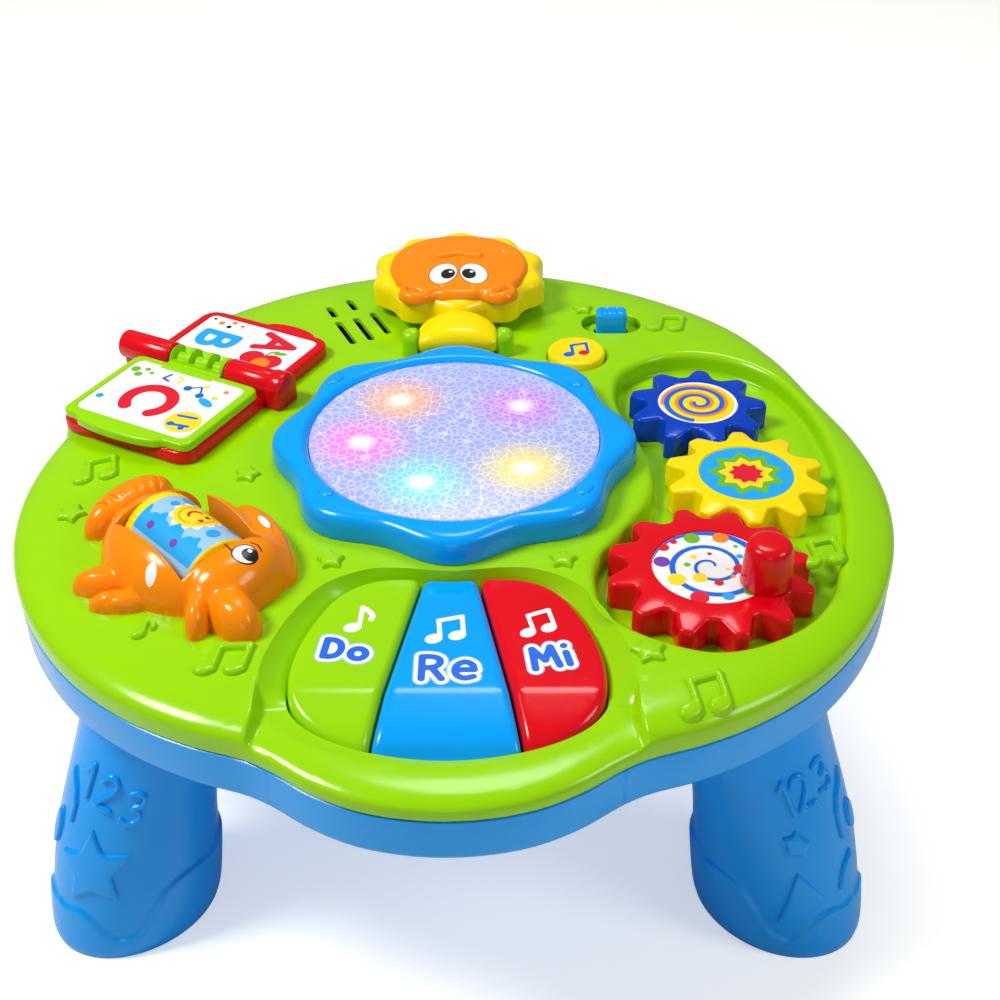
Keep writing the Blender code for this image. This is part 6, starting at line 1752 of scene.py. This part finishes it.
# The spots: place, half length, half width, turn
FISH_SPOTS = ((12, -22.6, 2.9, 2.1, -45), (13.2, 25, 4.4, 1.5, -12), (-27.6, 3, 4.6, 1.5, 98))
printed("fish_eye", "table", FISH_PRINTS, on_fish, (18, -2), (36, 14), 0.3, 0.8)
for number, (x, y, half_long, half_wide, turn) in enumerate(FISH_SPOTS):
    spot = area(oval(half_long, half_wide, turn, (x, y), 40))
    printed(
        f"fish_spot_{number}", "table", [(spot, "ink_white")], lambda a, b, lift: on_fish(a, b, lift + 0.08),
        *motif_box((x, y), 7), 0.35, 0.8,
    )
print("fish spots:", len(FISH_SPOTS))

# %% [markdown]
# ## The lion
#
# The lion is a flap that folds up on a hinge and makes a sound. Its mane is a fat scalloped ring, its
# face a softer plate on top with two ears towards the hinge. The muzzle is a raised crescent.

# %% Mane and face
MANE_LOW, MANE_TOP, FACE_LOW = 144.4, 158.9, 157.2
LION_AXIS = (84.0, 147.0)


def mane_height(flat, depth):
    """A fat round rim, a little higher at the back so that it frames the face."""
    return shouldered(6, 5.5)(flat, depth) + 1.7 * np.clip((flat[:, 1] - 128) / 36, -0.6, 1)


MANE_PETALS = 10
turns = even_turns(216)
petal = 0.955 + 0.045 * np.cos((turns - np.pi / 2) * MANE_PETALS)
MANE = np.stack([41.5 * petal * np.cos(turns), 132.5 + 36.5 * petal * np.sin(turns)], axis=1)
parts = [relief(
    area(MANE), (-43, 94), (43, 171), 1, flat_at(MANE_TOP), mane_height,
    (0.1, 0.35, 0.8, 1.5, 2.5, 3.8, 5.5), skirt=13.2,
)]
foot = ((-1.8, 0), (-0.8, 0.3), (-0.05, 1.3))
parts.append(capped([level(grown(MANE, grow), MANE_LOW + rise) for grow, rise in foot], high=False))
parts.append(lathe([(6, PLATEAU + SEAT_GAP), (6, MANE_LOW + 2)], (0, 148), 32))
piece("mane_cover", parts, LOOK["yellow_plastic"], "lion_flap", ["lion_mane"], crease=55)
FACE = smooth_loop(mirrored([
    (0, 100.6), (6.5, 101.2), (10.6, 102.4), (14, 99.8), (19.5, 98.3), (25, 100.6), (27.3, 105.6),
    (26.3, 110.8), (29.4, 117), (32.2, 126), (32.3, 136), (29.5, 145.6), (22.8, 154.4), (12.5, 160.6),
    (0, 162.6),
]), 8)
MUZZLE = smooth_loop([
    (-11, 136), (-8.4, 142.5), (-4.2, 147), (0, 148.4), (4.2, 147), (8.4, 142.5), (11, 136), (8, 134.4),
    (0, 136.8), (-8, 134.4),
], 8)
FACE_FIELD, MUZZLE_FIELD = area(FACE), area(MUZZLE)


def both_sides(path):
    """A line on the lion's right side, and its mirror image."""
    return [np.asarray(path, float) * (side, 1) for side in (-1, 1)]


EARS = [rounded(ear, 2) for ear in both_sides([(14.4, 101.4), (24.4, 102.6), (23, 108.4)])]
EAR_FIELD = either(*[area(ear) for ear in EARS])
GROOVE_FIELD = stroke(both_sides([(23, 107.4), (13.6, 102), (6.4, 107.2)]), 1.0)
DIMPLE_FIELD = stroke(both_sides([(20.5, 143), (24.6, 140.2)]), 1.2)
FACE_LINES = [closed_line(loop) for loop in [MUZZLE, grown(MUZZLE, -0.5), grown(MUZZLE, -1.5)] + EARS]


def face_rise(points):
    """The face's height over its foot: a soft plate, its muzzle and its grooves."""
    depth = -FACE_FIELD(points)
    rise = 3.4 * quarter_round(depth / 3) + 1.2 * quarter_round(depth / 26)
    rise += 1.75 * quarter_round(-MUZZLE_FIELD(points) / 1.7)
    for field, sink, width in ((EAR_FIELD, 1.3, 1.0), (GROOVE_FIELD, 1.2, 1.0), (DIMPLE_FIELD, 1.2, 1.2)):
        rise -= sink * np.clip(0.5 - field(points) / width, 0, 1)
    return rise


def on_face(x, y, lift):
    """Places that stand off the lion's face."""
    return np.stack([x, y, FACE_LOW + face_rise(np.stack([x, y], axis=1)) + lift], axis=1)


grid = grid_points((-33, 98), (34, 165), 0.9)
parts = [relief(
    FACE_FIELD, (-35, 96), (35, 166), 0.8, flat_at(FACE_LOW), lambda flat, depth: face_rise(flat),
    (0.12, 0.4, 0.9, 1.6), skirt=0.5, extra=grid[FACE_FIELD(grid) < -2], lines=FACE_LINES,
)]
piece("face_cover", parts, LOOK["orange_plastic"], "lion_flap", ["lion_face"], crease=60)
for side, name in ((-1, "left"), (1, "right")):
    white = area(oval(6.1, 9.8, side * 12, (side * 7, 119), 48))
    pupil = area(oval(3.2, 4.8, side * 8, (side * 4.8, 118.6), 40))
    layers = [
        (widened(white, 0.45), "ink_brown"), (white, "ink_white"), (pupil, "ink_black"),
        (disc(side * 4.8 + 1.2, 120.4, 0.95), "ink_white"),
    ]
    low, high = (side * 8 - 10, 106), (side * 8 + 10, 131)
    printed("lion_eye_" + name, "lion_flap", layers, on_face, low, high, 0.35, 1.2)
print("mane petals:", MANE_PETALS)

# %% [markdown]
# The yoke joins the mane to the hinge: a round bar that swells in the middle and reaches back to a soft
# edge. It turns between two round lugs on the lime top.

# %% Hinge of the lion
YOKE_END = [(8, 0), (13, 0), (16, 0.3), (17.2, 1.2), (17.6, 2.6)]
yoke_rings = [(-x, inset) for x, inset in YOKE_END[::-1]] + [(-3, 0), (0, 0), (4, 0)] + YOKE_END
over = np.linspace(-np.pi / 2, np.pi / 2, 15)
rings = []
for x, inset in yoke_rings:
    r = 6.2 - inset
    bow = 1 - 0.62 * (abs(x) / 18) ** 2.6
    back = 14.5 * math.sqrt(max(0, 1 - (x / 19) ** 2)) - inset * 0.5
    w = np.concatenate([-r * np.cos(over), [back * 0.5, back - 1.6, back - 0.4, back, back, back - 1.5]])
    tail = [(r + 0.9) * bow, (r + 0.9) * bow, r * bow, (r - 1.4) * bow, -1.5, -2.8]
    z = np.concatenate([r * np.where(over > 0, bow, 1) * np.sin(over), tail])
    rings.append(np.column_stack([np.full(len(w), x), LION_AXIS[0] + w, LION_AXIS[1] + z]))
tongue = rounded([(-11, 86), (11, 86), (11, 114), (-11, 114)], 2)
parts = [capped(rings), capped([level(tongue, MANE_LOW - 2.2), level(tongue, MANE_LOW - 0.3)])]
piece("yoke_cover", parts, LOOK["yellow_plastic"], "lion_flap", ["lion_yoke"], crease=50)


def beside_yoke(side):
    """Places on one side of the lion, from the middle outwards."""
    return lambda u, w: np.stack([side * u, LION_AXIS[0] + side * w], axis=1)


parts = [tower(17.9, 24.8, 5.0, PLATEAU - 0.5, beside_yoke(side), LION_AXIS[1], 3.2) for side in (-1, 1)]
piece("lion_lugs", parts, LOOK["lime_plastic"], "table", crease=50)
print("lugs:", len(parts))

# %% [markdown]
# ## Button and slide switch
#
# A round yellow button plays a tune and carries a printed note. The blue slide switch beside it turns
# the toy on. It sits in a sunken slot and has ribs for the fingertip.

# %% Button and slider
button_top = span("music_button")[1][2]
BUTTON = (
    (12.8, -6), (12.8, -1.5), (12.55, -0.8), (12, -0.3), (11.2, -0.05), (10.4, 0), (10, -0.12), (0.01, -0.12),
)
parts = [lathe([(r, button_top + z) for r, z in BUTTON], BUTTON_CENTRE, 96)]
piece("button_cap", parts, LOOK["yellow_plastic"], "music_button", ["music_button"], crease=60)
bx, by = BUTTON_CENTRE
layers = [
    (note_field(0.68, 4, (bx, by + 0.4), False, 2.6), "ink_blue"), (disc(bx + 3.2, by - 2.6, 2.1), "ink_red"),
]
printed("button_note", "music_button", layers, flat_at(button_top - 0.12), *motif_box(BUTTON_CENTRE, 9), 0.3)
slider_top = span("power_slider")[1][2]


def slider_height(flat, depth):
    """The slider's height rule, with ribs for the fingertip."""
    along = flat[:, 0] - SLIDER_CENTRE[0]
    ribs = 0.5 * (np.abs((along + 1.2) % 2.4 - 1.2) < 0.5) * (np.abs(along) < 4.4) * (depth < -1.3)
    return shouldered(2.2, 2.4)(flat, depth) - ribs


field = area(rounded(box_outline(14, 9) + SLIDER_CENTRE, 2.4))
grid = grid_points((63, 105), (78, 115), (0.35, 0.6))
parts = [relief(
    field, *motif_box(SLIDER_CENTRE, 8.5), 0.5, flat_at(slider_top), slider_height, (0.2, 0.6, 1.2, 2),
    skirt=slider_top - PLATEAU + 4, extra=grid[field(grid) < -1.4],
)]
piece("slider_cap", parts, LOOK["sky_plastic"], "power_slider", ["power_slider"], crease=35)
proud = [round(top - PLATEAU, 1) for top in (button_top, slider_top)]
print("button and slider stand", proud, "mm above the top")

# %% [markdown]
# ## The legs
#
# Four stout legs splay outwards and swell towards the floor, where each ends in a boot with a wavy top
# line. Big numbers, a star and a few simple shapes are moulded into the outer faces.

# %% Leg shape
LEG_SHARES = smooth_path([
    (0, 0.965, 1), (0.05, 1, 0.98), (0.28, 0.985, 0.84), (0.5, 0.915, 0.68), (0.87, 0.805, 0.18),
    (1.08, 0.75, 0),
], 2)
LEG_PLACES = {
    "leg_front_left": (-104.5, -88.8), "leg_front_right": (104.5, -88.8),
    "leg_back_left": (-104.5, 88.8), "leg_back_right": (104.5, 88.8),
}
TRAY_UNDER = np.array([(0.6, 8), (2.6, 5.44), (8, 2), (16, 0)])
# The boot's top line: degrees from the leg's outer face, height
BOOT_LINE = smooth_path([
    (0, 24), (8, 22.6), (22, 25), (33, 21.5), (46, 13), (56, 9.6), (67, 13), (74, 23), (84, 31.5), (100, 34),
    (125, 31), (180, 30),
], 3)
LEG_RADIUS, LEG_LEAN, LEG_OUT = 36, 0.182, 5.2
BOOT_PROUD, LEG_SUNK = 1.4, 1.1


def leg_surface(name, turns, z, lift):
    """Places on a leg from the angle round it, the height and how far they stand off."""
    x, y = LEG_PLACES[name]
    share = z / LEG_HEIGHT
    radius = LEG_RADIUS * np.interp(share, LEG_SHARES[:, 0], LEG_SHARES[:, 1])
    lean = 1 + LEG_LEAN * np.interp(share, LEG_SHARES[:, 0], LEG_SHARES[:, 2])
    facing = math.atan2(y, x)
    aside = np.degrees(np.abs((turns - facing + np.pi) % (2 * np.pi) - np.pi))
    boot, before, after = (np.interp(aside + step, BOOT_LINE[:, 0], BOOT_LINE[:, 1]) for step in (0, -1, 1))
    ramp = 1.3 * np.hypot(1, (after - before) / 1.2)
    proud = BOOT_PROUD * np.clip((boot - z) / ramp, 0, 1) - LEG_SUNK + lift
    out = (radius * 0.96 + proud) * np.cos(turns - facing) + LEG_OUT
    across = (radius * np.interp(share, (0, 1), (0.78, 0.96)) + proud) * np.sin(turns - facing)
    c, s = math.cos(facing), math.sin(facing)
    return np.column_stack([x * lean + out * c - across * s, y * lean + out * s + across * c, z])


def under_tray(points):
    """The same places, but never higher than the tray's underside."""
    x, y, z = points.T
    roof = LEG_HEIGHT + SEAT_GAP - 0.45 + np.interp(reach(x, y) - np.hypot(x, y), *TRAY_UNDER.T)
    return np.column_stack([x, y, np.minimum(z, roof)])


LEG_STEPS = 180
turns = even_turns(LEG_STEPS)
heights = np.concatenate([
    [0.25, 0.9], np.arange(2, 36, 0.7), np.arange(36, 100, 3), np.arange(100, 113, 1.2),
])
for name in LEG_PLACES:
    bottom = leg_surface(name, turns, np.full(LEG_STEPS, 0.0), -1.0)
    rings = [under_tray(leg_surface(name, turns, np.full(LEG_STEPS, z), 0)) for z in heights]
    piece(name + "_cover", [capped([bottom] + rings)], LOOK["sky_plastic"], "table", [name], crease=50)
print("legs:", len(LEG_PLACES))

# %% [markdown]
# The raised figures are drawn flat, in millimetres round the leg from its outer face and up from the
# floor, and then wrapped on. The two sides of the table carry different sets.

# %% Figures on the legs
LEG_WRAP = 31.5


def digit(text, x, y, turn, height=13.0):
    """A number's field, drawn with a fat round pen."""
    return stroke(lettering(text, height, (x, y), turn), 2.3)


def shape_of(loop, radius=1.5):
    """The field of a shape with rounded corners."""
    return area(rounded(loop, radius))


def note_line(*points):
    """The field of one soft line."""
    return stroke([smooth_path(points, 1)], 2.2)


LEFT_FIGURES = (
    (digit("1", 4.6, 72.6, -5), (2, 68), (13, 90)), (digit("2", 12, 71.2, -14), (8, 64), (24, 88)),
    (digit("3", 24.2, 65.4, -16), (20, 58), (38, 84)),
    (shape_of(star(17.5, 5, 0.5, 98) + (16.4, 44)), (-4, 22), (36, 66)),
    (note_line((-4.4, 78), (2.2, 69.5), (1.8, 60)), (-8, 55), (6, 82)),
    (area(oval(8, 3.4, 86, (-8.5, 52))), (-14, 42), (-3, 62)),
)
RIGHT_FIGURES = (
    (digit("1", -23.6, 67.6, 9), (-30, 63), (-14, 86)), (digit("2", -17.4, 69, 12), (-22, 64), (-2, 90)),
    (digit("3", -5.6, 72, 10), (-11, 67), (8, 91)),
    (shape_of(star(6.4, 5, 0.6, 80) + (-22.6, 55.5)), (-31, 46), (-14, 65)),
    (shape_of([(-24.4, 44), (-14.2, 30), (-34, 17.6)], 2.5), (-36, 15), (-12, 46)),
    (note_line((10, 73.5), (-0.3, 64.5), (-0.1, 51.5)), (-4, 47), (14, 78)),
    (note_line((3, 43), (-3, 39), (-5.6, 31.6)), (-10, 27), (8, 48)),
    (area(oval(6, 3.6, 90, (10.5, 55))), (4, 46), (17, 64)),
)
for name, (x, y) in LEG_PLACES.items():
    facing = math.atan2(y, x)
    parts = []
    for field, low, high in LEFT_FIGURES if "left" in name else RIGHT_FIGURES:
        grid = grid_points(low, high, 1.6)
        parts.append(relief(
            field, low, high, 0.6, lambda x, y, lift: leg_surface(name, facing + x / LEG_WRAP, y, lift),
            domed(1.5, 1.1), (0.12, 0.4, 0.75, 1.1), skirt=0.9, extra=grid[field(grid) < -1.4],
        ))
    piece(name + "_figures", parts, LOOK["sky_plastic"], "table", crease=50)
print("figures on each leg:", len(LEFT_FIGURES), "or", len(RIGHT_FIGURES))

# %% [markdown]
# A smooth blue skin follows the tray's side. Last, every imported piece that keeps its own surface, such as
# a screw, gets slightly rounded edges.

# %% Blue band of the tray
BAND = ((12, 0.5), (8, 1.6), (2.4, 4.9), (0.9, 5.6), (0.35, 6.2), (0.1, 7.4), (0.1, 22), (0.6, 22.3))
rings = [level(table_outline(inset), LEG_HEIGHT + SEAT_GAP + z) for inset, z in BAND]
piece("tray_band", [strip(rings)], LOOK["sky_plastic"], "table", crease=50)
print("band", round(rings[-1][0, 2] - rings[4][0, 2], 1), "mm high")

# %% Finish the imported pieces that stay
REPLACED = {
    "top_shell", "panel_bezel", "key_do", "key_re", "key_mi", "gear_red", "gear_yellow", "gear_blue",
    "crank_knob", "book_base", "book_page", "fish_body", "fish_roller", "lion_mane", "lion_face", "lion_yoke",
    "music_button", "power_slider",
} | set(LEG_PLACES)
for name in frame["nodes"]:
    if name not in REPLACED:
        soften(name, EDGE_ROUND.get(name, 0.15))
print("softened:", len(frame["nodes"]) - len(REPLACED))

# %% [markdown]
# ## Camera, floor and light
#
# The camera stands where a parent would, in front of the table and above it, with a slightly long lens.
# A pale floor and a white background keep the colours honest, and large soft lamps give the long clean
# highlights that show a glossy moulding's shape.

# %% Camera
CAMERA_PLACE = (15.673, -499.19, 470.524)
CAMERA_FORWARD = Vector((-0.01251, 0.80624, -0.59146))
CAMERA_UP = Vector((0.00422, 0.59154, 0.80626))
eye = bpy.data.objects.new("camera", bpy.data.cameras.new("camera"))
bpy.context.scene.collection.objects.link(eye)
right = CAMERA_FORWARD.cross(CAMERA_UP).normalized()
axes = Matrix((right, right.cross(CAMERA_FORWARD).normalized(), -CAMERA_FORWARD.normalized())).transposed()
eye.matrix_world = Matrix.Translation(Vector(to_world(CAMERA_PLACE))) @ axes.to_4x4()
eye.data.lens = 53.28
eye.data.sensor_width = 36
eye.data.shift_x = 0.0249
eye.data.shift_y = 0.0267
eye.data.clip_start = 0.01
bpy.context.scene.camera = eye
print("camera", [round(v, 3) for v in eye.location])

# %% Floor
FLOOR, tree, shader = new_material("studio_floor")
shader.inputs["Base Color"].default_value = linear("F5F1E6")
shader.inputs["Roughness"].default_value = 0.6
seen = add_node(tree, "ShaderNodeLightPath")
white = add_node(tree, "ShaderNodeEmission", {"Color": linear("FFFFFF"), "Strength": 0.5})
both = add_node(tree, "ShaderNodeAddShader")
tree.links.new(shader.outputs["BSDF"], both.inputs[0])
tree.links.new(white.outputs["Emission"], both.inputs[1])
mixed = add_node(tree, "ShaderNodeMixShader", links={0: seen.outputs["Is Camera Ray"]})
tree.links.new(shader.outputs["BSDF"], mixed.inputs[1])
tree.links.new(both.outputs["Shader"], mixed.inputs[2])
tree.links.new(mixed.outputs["Shader"], tree.nodes["Material Output"].inputs["Surface"])
floor_mesh = bpy.data.meshes.new("studio_floor")
FLOOR_SIDE = 12.0
corners = [(x, y, 0) for x, y in box_outline(FLOOR_SIDE, FLOOR_SIDE)]
floor_mesh.from_pydata(corners, [], [(0, 1, 2, 3)])
floor_mesh.materials.append(FLOOR)
studio_floor = bpy.data.objects.new("studio_floor", floor_mesh)
bpy.context.scene.collection.objects.link(studio_floor)
print("floor", FLOOR_SIDE, "m wide")

# %% World and lamps
world = bpy.data.worlds.new("studio")
bpy.context.scene.world = world
world.use_nodes = True
tree = world.node_tree
sky = tree.nodes["Background"]
sky.inputs["Color"].default_value = linear("F2F5FA")
path = add_node(tree, "ShaderNodeLightPath")
seen = add_node(
    tree, "ShaderNodeMath", operation="MAXIMUM",
    links={0: path.outputs["Is Camera Ray"], 1: path.outputs["Is Transmission Ray"]},
)
strength = add_node(
    tree, "ShaderNodeMapRange", {"To Min": 0.21, "To Max": 1.0}, {"Value": seen.outputs["Value"]}
)
tree.links.new(strength.outputs["Result"], sky.inputs["Strength"])
LAMPS = {
    "key_lamp": ((-760, -160, 1150), 400, 12.5, "FFFDF8"),
    "fill_lamp": ((900, -420, 820), 420, 3.2, "FFFFFF"),
    "back_lamp": ((60, 620, 1500), 560, 7.0, "FFFFFF"),
    "front_lamp": ((40, -1100, 420), 420, 0.6, "FFFFFF"),
}
for name, (spot, size, watts, colour) in LAMPS.items():
    data = bpy.data.lights.new(name, "AREA")
    data.shape = "DISK"
    data.size = size * MM
    data.energy = watts
    data.color = linear(colour)[:3]
    lamp = bpy.data.objects.new(name, data)
    bpy.context.scene.collection.objects.link(lamp)
    lamp.location = to_world(spot)
    lamp.rotation_euler = (Vector(to_world((0, 0, 120))) - lamp.location).to_track_quat("-Z", "Y").to_euler()
print("lamps:", len(LAMPS))

# %% Settings
bpy.context.scene.view_settings.view_transform = "Standard"
